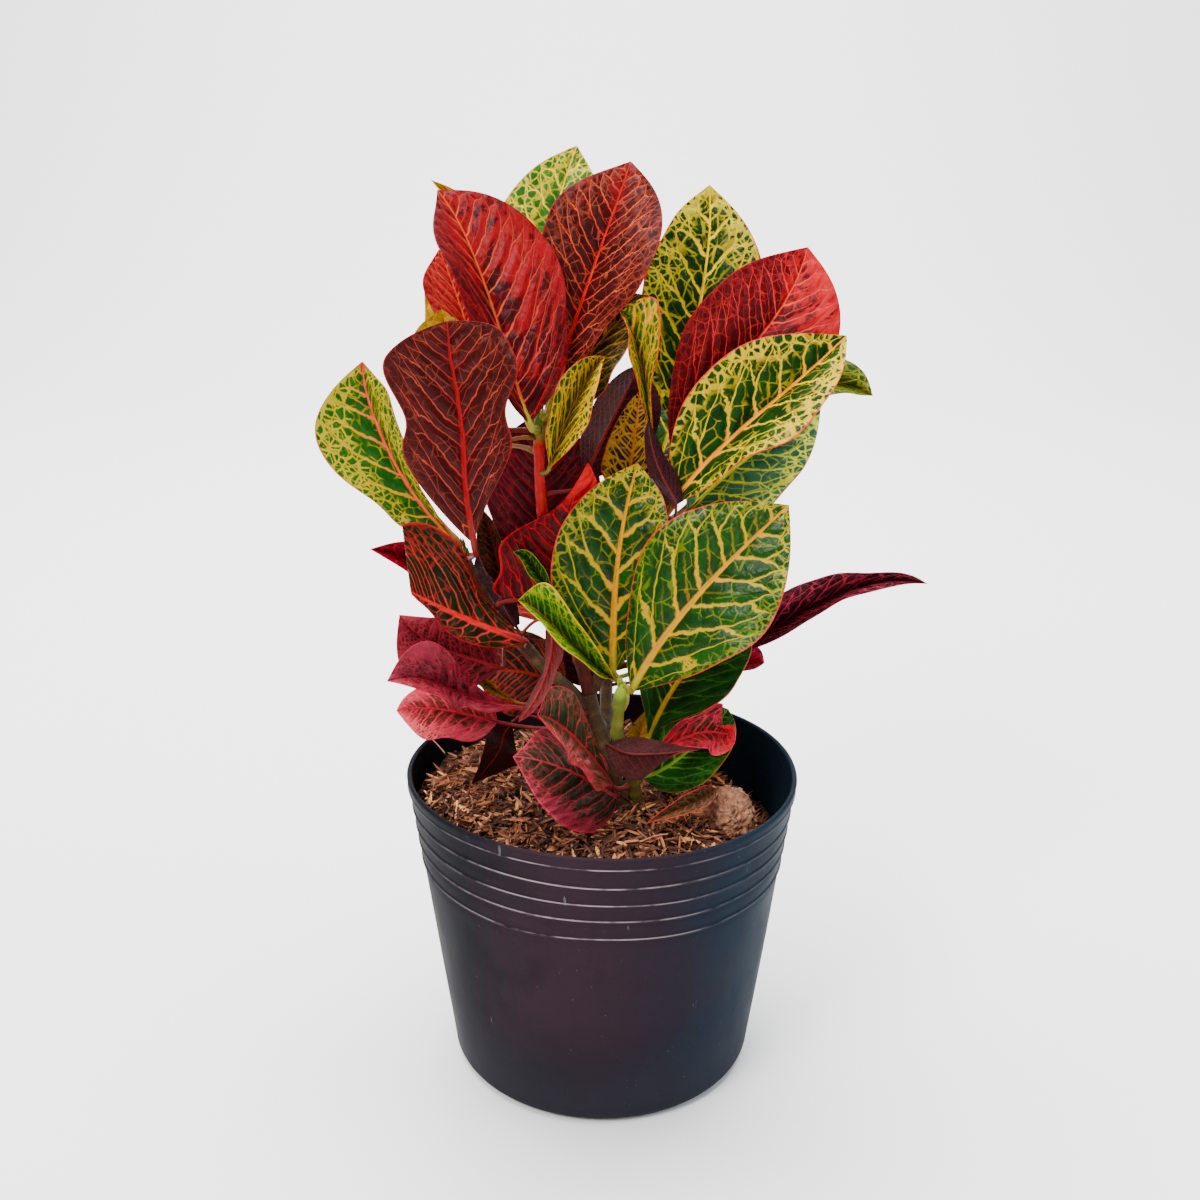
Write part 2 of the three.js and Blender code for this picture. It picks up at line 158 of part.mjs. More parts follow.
   [[-51.4,13.5,253.7],[-54.4,11.5,256.6],[-57.6,9.1,260],[-60.3,7.7,264.5],[-62,7.6,269.7],[-63.2,8.5,275.6],[-63.7,10.8,281.7],[-63,14.5,286.9],[-60.6,19.9,290.8]],
   [[-51,13.5,253.8],[-49.6,11.3,257.6],[-48.4,8.7,262.2],[-48.3,7.1,267.5],[-49.2,6.8,273.1],[-51,7.6,278.9],[-53.7,10,284.6],[-57,14.3,288.7],[-60.6,19.9,290.8]]],
  ['leaf_28', 'purple', [[1.2,48.1,253.4],[-1.7,52.8,254.2],[-5.2,55.3,255.2],[-6,60,258]],
   [[-6,60,258],[-7.3,67.3,262.3],[-8.9,76.1,266.2],[-11.1,86.5,269.1],[-13.5,97,270],[-16.1,107.5,269.1],[-19,117.9,266.2],[-21.7,126.7,262.3],[-24,134,258]],
   [[-6.9,59.7,258.2],[-17.2,64.3,264.4],[-27.7,70.9,270.4],[-35.4,80.2,274.6],[-39.9,90.7,275.9],[-42.1,101.7,274.6],[-40.5,113.2,270.4],[-33.9,124,264.5],[-24,134,258]],
   [[-5,60,258.2],[3,67.7,265.1],[10.1,77.8,271.8],[13.1,90.4,276.6],[12.3,103.2,278.4],[8.5,115.5,277.4],[0.7,126.1,273],[-10.7,132.1,266.1],[-24,134,258]]],
  ['leaf_29', 'pinkred', [[-58.9,1.6,244.2],[-62.3,2.8,243.3],[-64.1,5.4,246.8],[-67.1,4.4,248.8]],
   [[-67.1,4.4,248.8],[-71.5,2.8,251.9],[-76.4,0.9,256],[-81.8,-1.5,260.9],[-87.2,-4.1,266],[-93,-6.9,270.9],[-99.4,-10.1,275.4],[-105.8,-13.1,278.9],[-111.9,-15.8,281.4]],
   [[-66.9,3.8,248.7],[-70.3,-3.3,250.5],[-74.1,-10.9,253],[-78.5,-16.8,256.9],[-83,-20.7,261.6],[-88.1,-23,267],[-94.7,-23.3,272.9],[-102.9,-20.6,277.9],[-111.9,-15.8,281.4]],
   [[-66.7,4.1,249.2],[-67.4,0,256],[-67.9,-4.7,263],[-70.3,-8.8,269.6],[-74.7,-12,275.5],[-81.2,-14.7,280.9],[-90.7,-16.5,284.6],[-101.4,-16.8,284.6],[-111.9,-15.8,281.4]]],
  ['leaf_30', 'green', [[-17.1,5.6,236.2],[-16.4,0.8,238.3],[-12.3,-7,239.7],[-15.9,-6.2,243.5]],
   [[-15.9,-6.2,243.5],[-20.8,-5.1,248.6],[-25.5,-4.2,254.4],[-29.9,-3.5,260.5],[-33.4,-3.2,265.9],[-36.4,-3.2,270.3],[-39.4,-3.3,273.7],[-42.1,-3.4,275.7],[-44.7,-3.6,276.6]],
   [[-16,-6.7,243.6],[-21.2,-9.1,249],[-26.3,-12.5,255],[-30.7,-14.9,260.9],[-34,-15.8,265.9],[-36.6,-15.8,270],[-38.9,-14.1,273.5],[-41.7,-9.8,275.8],[-44.7,-3.6,276.6]],
   [[-15.9,-6.6,243.7],[-19.8,-8.7,250.2],[-23.1,-11.6,257.2],[-26.2,-13,263.7],[-28.4,-14.4,269.4],[-30.9,-14.4,274.3],[-34.7,-12.4,278.2],[-40.1,-8.4,279.1],[-44.7,-3.6,276.6]]],
  ['leaf_31', 'green', [[19.4,19.1,249.5],[27.3,23.5,248.4],[33.7,24.9,250.8],[40,30,255]],
   [[40,30,255],[45.4,34.5,259],[51.7,39.9,262.5],[58.9,46.2,264.8],[65.9,52.4,265.4],[72.5,58.5,264.2],[78.9,64.6,261.4],[84,69.8,257.8],[88,74,254]],
   [[39.4,30.4,255.3],[39.3,39.2,262.2],[40.9,49.3,268.7],[45.8,59.1,273.2],[52.8,67.3,274.5],[60.7,74,272.9],[69.7,78,268.3],[79,77.6,261.5],[88,74,254]],
   [[40.4,29.4,255.1],[50,27.7,260.7],[60.8,27.6,265.8],[71.4,30.9,269.4],[80.3,36.8,270.4],[87.6,44.1,269],[92,53.5,265.1],[91.8,63.8,259.8],[88,74,254]]],
  ['leaf_32', 'green', [[10.7,-27,214.7],[12.2,-25.6,215.4],[12.8,-22.5,210.3],[13.7,-22.7,212.2]],
   [[13.7,-22.7,212.2],[19.2,-24.3,223.8],[26.3,-25.5,236.7],[35.3,-26.1,250.5],[45,-25.9,263.3],[55.4,-25.3,275.5],[66.6,-24.4,287.4],[76.8,-23.6,297.7],[85.7,-23,306.5]],
   [[12.9,-22.3,212.6],[10.9,-19.8,228.6],[11.2,-17.4,246.3],[13.3,-14.5,266.1],[19.4,-12.6,283.6],[31.5,-13,296.2],[48.5,-15.2,304.2],[67.1,-18.7,307.1],[85.7,-23,306.5]],
   [[14.5,-23.4,211.8],[27.7,-31.7,218.7],[41.6,-39,226.6],[55.5,-44.2,235.9],[68.2,-47.1,245.1],[77.4,-45.6,257],[83.8,-40.3,272],[86.3,-32.3,288.9],[85.7,-23,306.5]]],
  ['leaf_33', 'pinkred', [[-38.8,-5.3,228.4],[-38.4,-8.7,230.3],[-36.1,-12.2,232.8],[-39.3,-13.5,234.5]],
   [[-39.3,-13.5,234.5],[-49.1,-17.4,239.5],[-58.9,-21.5,244.8],[-67,-25.1,249.8],[-73.5,-28.3,254.2],[-80.1,-31.8,258.9],[-85.3,-34.8,263],[-88.4,-36.8,265.7],[-90.3,-38.2,267.5]],
   [[-38.9,-13.5,232.4],[-47.3,-20.1,233.2],[-56.6,-26.2,235.4],[-66.4,-30.4,239.8],[-74.6,-33.2,246.4],[-80.9,-35.7,254.7],[-85.4,-37.5,261.3],[-88.2,-38.6,264.7],[-89.7,-39.2,266.4]],
   [[-40.8,-13.5,238.2],[-48.2,-10,243],[-55.9,-7.7,250.9],[-62.4,-8,263.9],[-68.5,-9.5,278.2],[-77.6,-12.4,289.5],[-86.1,-16.3,294.8],[-91.6,-19.9,295.8],[-95.3,-23.4,296.1]]],
  ['leaf_34', 'purple', [[-39.9,1.7,226.9],[-41.1,7.6,227.6],[-42.1,16.3,225.5],[-45.1,16.3,230.7]],
   [[-45.1,16.3,230.7],[-47,16.3,234.2],[-49.3,16.3,238.7],[-52,16.3,244.3],[-54.7,16.3,250.6],[-57.3,16.3,257],[-59.8,16.3,262.8],[-61.9,16.3,267.5],[-63.6,16.3,271.3]],
   [[-46.5,15.3,230],[-51.1,16.6,232.9],[-55.8,17.8,236.8],[-60,18.3,241.8],[-63.8,18.3,247.5],[-66.1,18.3,253.6],[-66.1,18,259.7],[-65.4,17.1,265.1],[-64.1,16.3,269.7]],
   [[-43.1,17.3,231.5],[-43.3,17.7,235.1],[-44,18.1,239.6],[-45.3,18.3,245.2],[-47.6,18.3,251.3],[-50.7,18.3,257.4],[-54.4,18,263.3],[-58.4,17.1,268.3],[-62,16.3,272.3]]],
  ['leaf_35', 'green', [[7.7,-27.5,217.7],[6.9,-23.5,220.1],[7.4,-13.2,211.9],[4.7,-15.7,214.9]],
   [[4.7,-15.7,214.9],[0.3,-19.7,219.8],[-5.4,-23.4,226.5],[-12.5,-26.5,234.8],[-19.7,-28.4,243.1],[-26.7,-29.4,250.5],[-33,-30,256.5],[-37.7,-30.3,259.8],[-40.9,-30.6,261.1]],
   [[5.2,-16.3,214.7],[2.9,-24.6,218.7],[-1.1,-35.6,224.6],[-8.3,-44.2,233.4],[-15.9,-50.3,242.5],[-23.6,-51.9,251],[-30.6,-48.9,257.8],[-36.2,-41.5,261.2],[-40.9,-30.6,261.1]],
   [[5.3,-16.2,214.9],[4.3,-24.2,220.2],[2.4,-33.8,228.5],[-3.3,-39.2,239.1],[-9.2,-42.5,250],[-15.4,-43.1,260.1],[-22.1,-41.8,268.6],[-30.3,-38.2,272.2],[-40.9,-30.6,261.1]]],
  ['leaf_36', 'purple', [[5.5,30.1,203],[17.4,27.1,207.3],[24.7,19.9,206.7],[37.4,19.8,209]],
   [[37.4,19.8,209],[49.3,19.8,211.1],[63.7,19.4,216.9],[80.9,18.8,226.5],[98.4,18,237.2],[116.1,17,247.2],[134,15.9,254.5],[149.5,15,257.1],[162.5,14.2,255.7]],
   [[37.4,19.4,209.7],[47,15,218.6],[57.5,10.4,229.1],[71.6,6.4,240.9],[87,1.8,254.4],[107.9,2.7,261.8],[130.5,5.8,264.5],[148.9,7.6,263.6],[162.5,14.2,255.7]],
   [[37.4,19,209],[49,10.6,211.7],[62.7,2.7,218],[79,-3.5,228],[96.3,-2,239],[113.7,-3,249.6],[132.1,-1.8,257.2],[148.9,5.5,258.6],[162.5,14.2,255.7]]],
  ['leaf_37', 'scarlet', [[-14.4,10.9,219.1],[-16.9,18.5,218.8],[-15.5,26.7,220.7],[-22,30,224]],
   [[-22,30,224],[-30.4,34.3,228.3],[-40.4,39.8,232],[-52,46.4,234.4],[-63.2,53.2,234.8],[-74.2,60.2,233.1],[-84.7,67.2,229.5],[-93.2,73.1,224.9],[-100,78,220]],
   [[-22.3,29.3,224.1],[-33.7,26.8,229.7],[-47.3,26,234.8],[-61.7,29.1,238.3],[-74.7,35.2,239],[-86.3,43.1,237.2],[-95.4,53.6,232.7],[-99.6,65.6,226.5],[-100,78,220]],
   [[-21.5,30.5,224.3],[-25.7,40,232.1],[-32.1,50.8,239.3],[-42.1,61.1,244.1],[-53.6,69.8,245.2],[-65.7,77,243.2],[-78.5,81.6,237.6],[-90.1,81.6,229.3],[-100,78,220]]],
  ['leaf_38', 'pinkred', [[-48.1,-1.4,229.1],[-52.6,-1.1,225.6],[-47.8,0.8,212],[-52.3,-1.4,214.7]],
   [[-52.3,-1.4,214.7],[-58.3,-4.3,218.2],[-65.1,-7.7,222],[-72.3,-11.4,226.1],[-78.8,-15.1,230.3],[-84.8,-19,235.1],[-90.1,-23,240.9],[-94.2,-26.9,247.1],[-97.3,-30.3,253.2]],
   [[-52.4,-2,214.1],[-58.9,-10.3,212.2],[-65.8,-19.3,210.2],[-73.4,-26.6,210.5],[-80.9,-31.8,213.2],[-88.8,-35.5,218.3],[-95.7,-36.8,227.4],[-98.6,-34.6,240],[-97.3,-30.3,253.2]],
   [[-51.8,-1.5,215.3],[-53.8,-5.4,225.3],[-56.4,-9.6,235.9],[-60.3,-13.9,244.1],[-64,-17.9,248.8],[-67.8,-21.9,251.2],[-73.9,-25.9,251.6],[-84.2,-28.9,251.7],[-97.3,-30.3,253.2]]],
  ['leaf_39', 'pinkred', [[-9,-2.9,190.7],[-21,-12.8,193.5],[-26.8,-20.8,198.8],[-40.7,-26.4,203.8]],
   [[-40.7,-26.4,203.8],[-51.9,-30.9,207.8],[-62,-36.2,212.8],[-70.4,-42.3,218.9],[-76.4,-48.3,224.6],[-81.3,-54.2,229.5],[-86.5,-60.1,233.2],[-92.1,-65,235],[-98.3,-69.1,235.4]],
   [[-40.5,-27.2,203.8],[-49.4,-37,207.1],[-56.3,-47.7,210.6],[-64.4,-52.5,215.5],[-66.9,-62.2,218.5],[-69.3,-68.7,223.4],[-74.7,-73.1,230.3],[-84.9,-74.7,234.6],[-98.3,-69.1,235.4]],
   [[-40.7,-26.3,204.3],[-51.3,-30,210.1],[-60,-34.2,218.1],[-66,-38.8,227.5],[-70.2,-43.7,235.6],[-75.2,-48.2,244.3],[-84.3,-54.3,249],[-92.9,-62.1,244.2],[-98.3,-69.1,235.4]]],
  ['leaf_40', 'pinkred', [[-41.8,-4.3,232],[-39.6,-11.8,240.1],[-28.5,-26.5,256.1],[-25.6,-25,245.4]],
   [[-25.6,-25,245.4],[-24.6,-24.5,241.6],[-24.3,-24.7,236.3],[-25.3,-25.9,229.4],[-27.3,-28.1,222.3],[-30.3,-31.1,215.5],[-34.1,-34.6,209.5],[-37.7,-37.9,205.4],[-41,-40.8,202.9]],
   [[-25.3,-25.5,245.4],[-20.7,-32.3,241.8],[-19.9,-37,237.4],[-21.3,-38.9,231.8],[-23.6,-40.7,225.6],[-26.5,-43,219.5],[-30.4,-44.2,213.4],[-35.3,-42.9,207.6],[-41,-40.8,202.9]],
   [[-25.9,-24.6,245.4],[-28.7,-16.4,241.4],[-28.8,-11.5,235],[-28.9,-12.1,226.7],[-30.3,-16.2,219],[-33.6,-19.5,211.5],[-37.9,-24.5,205.4],[-40.4,-32.6,203.1],[-41,-40.8,202.9]]],
  ['leaf_41', 'green', [[10.7,-18.7,180.6],[14.3,-13.8,185],[20.7,-4.9,172.1],[23.4,-3.9,178.9]],
   [[23.4,-3.9,178.9],[26.9,-2.7,187.5],[31.5,-1.4,197],[37.5,-0.2,207.1],[44.1,0.7,216.3],[51.5,1.5,224.7],[59.6,2.2,232.5],[67,2.7,238.8],[73.7,3.2,243.9]],
   [[22.5,-4.1,179.2],[21.2,-3.6,190.1],[18,-3.2,204.4],[18.5,-2.1,219.8],[23.3,-0.8,233.1],[31.6,0.5,243.7],[43.5,1.7,250.4],[57.8,2.5,250.3],[73.7,3.2,243.9]],
   [[24.1,-4.6,178.7],[31,-6.9,186.3],[41.4,-12.3,193.1],[51.6,-17.4,199.7],[58.9,-19.2,206.5],[64.7,-18.6,213.8],[69.9,-15.3,222.4],[73.1,-8.4,232.2],[73.7,3.2,243.9]]],
  ['leaf_42', 'pinkred', [[5.6,27.2,194.2],[19.2,26.7,197.9],[31.1,22.6,191.8],[42,24.1,200.6]],
   [[42,24.1,200.6],[45,24.5,203],[49.5,24.8,205.4],[55.5,25.1,207.6],[62,25.2,209.1],[68.7,25.2,209.8],[75.2,25.3,209.6],[80.3,25.3,208.8],[84,25.4,207.6]],
   [[41.7,23.9,200.9],[42.5,23.2,206.9],[45.7,22.6,213.9],[52.1,22.2,219.4],[59.9,22,222.3],[68.2,22.1,222.4],[76.2,22.6,219.7],[81.9,23.4,215.3],[84,25.4,207.6]],
   [[42.2,23.6,200.5],[46,19.8,202.3],[50.7,15.6,203.9],[56.4,12.8,205.6],[62.5,11.7,206.9],[68.9,12,207.7],[75.1,14.5,208],[80.1,19.2,207.8],[84,25.4,207.6]]],
  ['leaf_43', 'pinkred', [[-2.9,18,181.4],[-10.7,18.9,183.7],[-12.9,25,187.9],[-20,26,192]],
   [[-20,26,192],[-24.3,26.6,194.5],[-29.6,27.4,196.9],[-36,28.3,198.9],[-42.8,29.5,200],[-49.9,30.9,200.2],[-57.4,32.6,199.3],[-64.1,34.3,197.8],[-70,36,196]],
   [[-20.4,25.7,191.4],[-28.5,22.9,187.4],[-36.1,20.2,182.9],[-42,18.9,179.9],[-46.5,19.2,178.9],[-51,20.8,179.2],[-56.4,24.3,182],[-62.7,29.6,188.1],[-70,36,196]],
   [[-19.6,26,192.7],[-20.2,26.7,202.2],[-23.6,27.7,212.1],[-31.1,29,219.4],[-40.5,30.3,222.7],[-50.7,31.8,222.4],[-60.3,33.3,217.5],[-66.8,34.7,208],[-70,36,196]]],
  ['leaf_44', 'greenyellow', [[-22.4,1.1,201.6],[-30.2,1.8,196.8],[-37.8,2.6,190.6],[-45.7,2,195.3]],
   [[-45.7,2,195.3],[-49.3,1.7,197.4],[-53.1,1,200.2],[-56.9,-0.1,203.5],[-60.2,-1.4,206.7],[-63.2,-2.6,209.7],[-66.3,-3.6,212.3],[-69.1,-4.1,214.1],[-71.6,-4.3,215.2]],
   [[-45.7,1.7,195.3],[-49,-1,197.4],[-52.1,-4.2,199.9],[-55.3,-7,202.6],[-58.3,-8.9,205.6],[-61.4,-10.1,208.7],[-64.9,-10,211.9],[-68.6,-8,214.2],[-71.6,-4.3,215.2]],
   [[-45.6,1.7,195.4],[-48.3,-0.4,198.6],[-50.5,-3.2,202.1],[-53,-5.6,205.6],[-55.7,-7.4,208.8],[-58.8,-8.6,212],[-63.1,-8.7,214.8],[-67.7,-7.2,216],[-71.6,-4.3,215.2]]],
  ['leaf_45', 'pinkred', [[12.1,-18.8,157.9],[8.8,-21.6,157.4],[5.9,-24.1,158.7],[4.2,-25.9,162.2]],
   [[4.2,-25.9,162.2],[-2.1,-32.6,175.1],[-8.7,-39.6,187.5],[-15.1,-46.5,198.5],[-20.3,-52.4,206.2],[-24.4,-57.5,211.6],[-27.5,-62,215.2],[-29.4,-65.7,217.5],[-30.4,-68.8,219.2]],
   [[4.5,-26.9,161.9],[1,-44.7,170.2],[-3.1,-61.8,177.4],[-9.8,-65.7,188.6],[-13.8,-70.8,195.3],[-16,-74,200.3],[-18.1,-74.2,205.4],[-23,-71.9,211.4],[-30.4,-68.8,219.2]],
   [[4.5,-25.7,162.5],[-0.1,-31,177],[-4.5,-36.4,191.7],[-8.3,-41.2,206.4],[-12.5,-45.7,217.5],[-17.5,-50.5,224.8],[-23,-56,227.8],[-27.1,-62,225.7],[-30.4,-68.8,219.2]]],
  ['leaf_46', 'green', [[5.1,30.9,195.9],[11.9,35.5,195.9],[18.1,37.3,197],[22,44,200]],
   [[22,44,200],[26.2,51.2,203.3],[31.2,59.8,205.6],[36.9,69.7,206.3],[42.5,79.5,205],[47.8,89,201.8],[52.9,98.3,196.8],[56.9,105.9,191.4],[60,112,186]],
   [[21.3,44.3,200.3],[18.4,54.6,206.4],[16.9,67,211.6],[19.2,80.2,214.2],[24,92,213.3],[30.3,102.2,209.6],[38.7,109.7,202.9],[48.9,112.6,194.6],[60,112,186]],
   [[22.7,43.5,200.1],[33.6,46.2,204.9],[45.4,51,208.9],[55.7,59.1,210.6],[63.3,68.8,209.5],[68.6,79.3,205.9],[70.3,90.9,200],[67,102,193],[60,112,186]]],
  ['leaf_47', 'pinkred', [[-8,-2,182.6],[-25.5,-4.8,181.8],[-43.3,4.2,179.6],[-54,-7.2,187.8]],
   [[-54,-7.2,187.8],[-58.8,-12.4,191.5],[-64.6,-17.9,195.6],[-71.3,-23.3,199.8],[-77.9,-27.7,203.2],[-84.3,-31.3,205.7],[-90.5,-34.1,207.1],[-95.6,-35.9,207.3],[-99.8,-37.1,206.7]],
   [[-53.7,-7.8,187.4],[-56.1,-17.6,188],[-59.8,-28.7,188.6],[-65.8,-37.5,191],[-72.9,-42.3,194.5],[-79.3,-46.9,196.5],[-85.4,-49.7,197.8],[-92.1,-45.7,201.3],[-99.8,-37.1,206.7]],
   [[-53.4,-7.4,188.3],[-53.9,-14,196],[-54.8,-21.6,205.2],[-59.1,-29,213.5],[-65.9,-34.9,219.5],[-74.7,-39.6,223.2],[-85.2,-42.1,222.8],[-94.5,-41,216],[-99.8,-37.1,206.7]]],
  ['leaf_48', 'pinkred', [[16.6,-18.8,169],[19,-19.1,170.4],[20.4,-19.6,171.3],[22.5,-19.7,173]],
   [[22.5,-19.7,173],[32,-20.2,180.7],[41.1,-20.9,186.3],[49,-21.8,189.3],[54.6,-23,190],[58.4,-24.5,190],[60.8,-26.3,190.8],[62.4,-28.2,193.3],[63.5,-30,197.6]],
   [[22.1,-19.7,173.4],[29.6,-20,184.1],[37.2,-20.2,194.2],[47,-20.9,198.6],[54.8,-21.7,204.5],[58.7,-22.8,204.6],[54.4,-24.2,200.6],[55.1,-28.1,196],[63.5,-30,197.6]],
   [[22.6,-20.2,172.9],[32.2,-23.5,180.1],[41.1,-28.9,184.8],[47.7,-34.3,186.7],[50.7,-36.8,187],[51.3,-37.7,186.7],[55.7,-37.3,184.1],[63.8,-34.9,189.2],[63.5,-30,197.6]]],
  ['leaf_49', 'purple', [[5.6,-25.7,182],[4.1,-28.4,181.9],[-0.3,-29.7,187.2],[2.2,-31.3,186.6]],
   [[2.2,-31.3,186.6],[6.9,-34.5,185.5],[12.5,-37,184.7],[18.7,-37.9,184.8],[25,-38.2,185.2],[32,-38.2,185.8],[38.3,-38.3,186.6],[42.6,-38.7,187.5],[45.7,-39.2,188.5]],
   [[2.7,-30.4,187.8],[8.7,-31.7,190.2],[15.3,-33,191.9],[21.6,-34.2,191.6],[27.4,-35.3,190.8],[33.6,-36.4,189.7],[39.1,-37.5,189.1],[43,-38.4,189.1],[45.7,-39.2,189.1]],
   [[1.2,-32.3,185.5],[2.8,-36,180],[5.8,-38.9,175.5],[10.9,-39.9,173.2],[17.9,-40.2,172.2],[25.7,-40.2,178.8],[33.8,-40.2,185.3],[40.4,-39.8,187.3],[45.7,-39.2,188]]],
  ['leaf_50', 'greenyellow', [[8.9,-2.6,157.9],[12.3,1.3,159.9],[15.4,6.9,159.2],[17.1,7.4,164.5]],
   [[17.1,7.4,164.5],[17.5,7.5,166],[17.9,7.7,167.7],[18.3,7.7,169.9],[18.8,7.7,172.6],[19.4,7.5,175.9],[20.5,7.1,180.3],[21.8,6.7,185.1],[23.3,6.2,190]],
   [[16.8,7.2,164.6],[15,5.8,166.8],[13,4.1,168.9],[11.8,2.9,171],[11.7,2.4,173.6],[12.5,2.5,177.1],[14.7,3.1,181.5],[18.4,4.3,185.9],[23.3,6.2,190]],
   [[17.3,7.2,164.4],[19.8,5.3,165.5],[22.6,3.5,167],[24.4,2.3,168.9],[25.3,1.7,171.1],[25.7,1.4,174.2],[25.5,2,178.6],[24.5,3.7,184],[23.3,6.2,190]]],
  ['leaf_51', 'maroon', [[-4.9,-2.3,173.3],[-21.3,0.6,171.7],[-36.2,11.9,192.9],[-47.3,6.9,181.3]],
   [[-47.3,6.9,181.3],[-50,5.7,178.4],[-51.8,4.1,176.1],[-52.5,2,174.1],[-52.9,-0.4,172.4],[-53.9,-3.2,170.1],[-56.6,-6.4,166.3],[-61.2,-9.6,161.4],[-67,-12.6,155.7]],
   [[-47,7.4,180.9],[-46.9,10.6,173.1],[-46.2,12.6,165.6],[-44.5,11.4,160.1],[-44.7,9.7,156.6],[-47.7,7.7,155.3],[-52.1,3.2,155.3],[-58.5,-3.9,155.5],[-67,-12.6,155.7]],
   [[-47.5,6.4,181.8],[-52.6,0.2,183.6],[-56.1,-5.1,186.5],[-58.8,-8,188.6],[-58.8,-10.9,188.1],[-58.2,-15.5,185.2],[-60,-18.4,178],[-62.8,-15.8,166.6],[-67,-12.6,155.7]]],
  ['leaf_52', 'green', [[9.3,-4,160.6],[13.3,-2.1,162.9],[15.9,-1.2,152.9],[20.6,-1.5,154.5]],
   [[20.6,-1.5,154.5],[25.4,-1.8,156.1],[31.4,-2.3,159.7],[38.4,-3,165.5],[45.2,-3.6,172.4],[51.5,-3.7,179.4],[57.1,-3.3,185.8],[61,-2.2,190.1],[63.6,-0.7,192.6]],
   [[20.5,-1.3,155.2],[22.1,-0.3,163.3],[22.7,0,172.1],[25.1,-0.6,180],[29.7,-1.4,187],[35.7,-1.9,193.2],[43.9,-1.9,197.1],[53.7,-1.3,196.8],[63.6,-0.7,192.6]],
   [[20.7,-2.1,154.1],[26.8,-8.8,152],[35.4,-15.3,152.4],[44.9,-19.1,156.9],[53.3,-20.9,163.8],[60.2,-20.4,172],[65,-16.9,180.8],[66.4,-10.1,188.1],[63.6,-0.7,192.6]]],
  ['leaf_53', 'pinkred', [[7.5,-12.5,149.4],[7.5,-13.2,149.7],[7.6,-13.7,149.5],[7.4,-14.3,149.8]],
   [[7.4,-14.3,149.8],[6.7,-18.8,152.1],[4,-24.3,156.5],[-1.1,-30.8,163.2],[-8,-37.3,170.8],[-16.4,-43.6,178.6],[-26.1,-49.6,185.5],[-35,-54.4,190.3],[-42.7,-58.1,193]],
   [[8.3,-14.3,150],[5.1,-24.5,142.7],[-2.1,-34.6,141.2],[-9.3,-43.7,144.8],[-16.5,-51.3,150.9],[-23.3,-56.9,159.1],[-29.9,-60.2,169.6],[-36,-60.4,181],[-42.7,-58.1,193]],
   [[6.8,-14.5,149.3],[3.4,-12.8,159.5],[1.4,-11.6,168.4],[-3.5,-13.6,176.5],[-10.8,-18.2,183.8],[-20.3,-22.9,191],[-30.6,-31,195.4],[-37.3,-46.9,193.7],[-42.7,-58.1,193]]],
  ['leaf_54', 'pinkred', null,
   [[58.1,-13.7,154],[55.7,-16.3,153.5],[52.9,-19.4,153.3],[49.4,-23.1,153.2],[45.4,-26.8,153.1],[40.5,-30.7,152.9],[34.5,-34.6,152.1],[28.2,-38.2,150.9],[22,-41.2,149.4]],
   [[58.3,-13.9,154.1],[57.9,-18.3,154.2],[56.9,-23.1,154.2],[54.2,-27.9,154],[50.7,-33,153.9],[45,-37,153.5],[37.6,-39.8,152.5],[29.8,-41.4,151.1],[22,-41.2,149.4]],
   [[58.1,-13.7,154.3],[55.5,-16.5,156.6],[53,-19.8,159],[50,-23.7,160.8],[46.1,-27.9,161],[40.9,-32.1,160.2],[34.5,-36.2,158.1],[28,-39.2,154.3],[22,-41.2,149.4]]],
  ['leaf_55', 'purple', [[-0.3,16.4,174.3],[-3.5,24.7,167.6],[1.3,41.6,173.6],[-2,44,184]],
   [[-2,44,184],[-3.3,44.9,188],[-4.9,46.1,192.9],[-7,47.6,198.8],[-9.2,49.2,204.9],[-11.6,51,211.2],[-14.1,52.8,217.6],[-16.2,54.5,223.2],[-18,56,228]],
   [[-2.7,43.8,183.8],[-10.6,42.6,186.1],[-18.7,41.8,189.2],[-24.7,42,193.8],[-28.4,43.1,199.4],[-30.3,44.9,205.8],[-29.5,47.9,213.2],[-25,51.7,220.8],[-18,56,228]],
   [[-1.3,43.9,184.2],[3.8,44,190.5],[8.3,44.5,197.8],[10,45.6,205.4],[9.1,47.2,212.3],[6.2,49,218.5],[0.7,51.2,223.7],[-7.8,53.6,226.7],[-18,56,228]]],
];

// ---- helpers --------------------------------------------------------------
const wasm = await Module();
wasm.setup();
const V = (a) => new THREE.Vector3(a[0], a[1], a[2]);

function bare(geometry) {
  const g = geometry.clone();
  g.deleteAttribute('normal');
  g.deleteAttribute('uv');
  return mergeVertices(g, 1e-5);
}
function toSolid(geometry) {
  const g = bare(geometry);
  return new wasm.Manifold(new wasm.Mesh({
    numProp: 3,
    vertProperties: new Float32Array(g.attributes.position.array),
    triVerts: new Uint32Array(g.index.array),
  }));
}
function fromSolid(solid) {
  const m = solid.getMesh();
  const g = new THREE.BufferGeometry();
  g.setAttribute('position', new THREE.BufferAttribute(new Float32Array(m.vertProperties), 3));
  g.setIndex(new THREE.BufferAttribute(new Uint32Array(m.triVerts), 1));
  g.computeVertexNormals();
  return g;
}
const group = new THREE.Group();
function add(name, geometry, colour, roughness) {
  const g = bare(geometry);
  g.computeVertexNormals();
  const mesh = new THREE.Mesh(g, new THREE.MeshStandardMaterial({ color: colour, roughness, metalness: 0 }));
  mesh.name = name;
  group.add(mesh);
}
const smooth = (a, b, x) => { const t = Math.min(1, Math.max(0, (x - a) / (b - a))); return t * t * (3 - 2 * t); };

// The straight pot wall before the soft rim is pulled out of round.
const wallRadius = (z) => BASE_RADIUS + (RIM_RADIUS - BASE_RADIUS) * z / POT_HEIGHT;
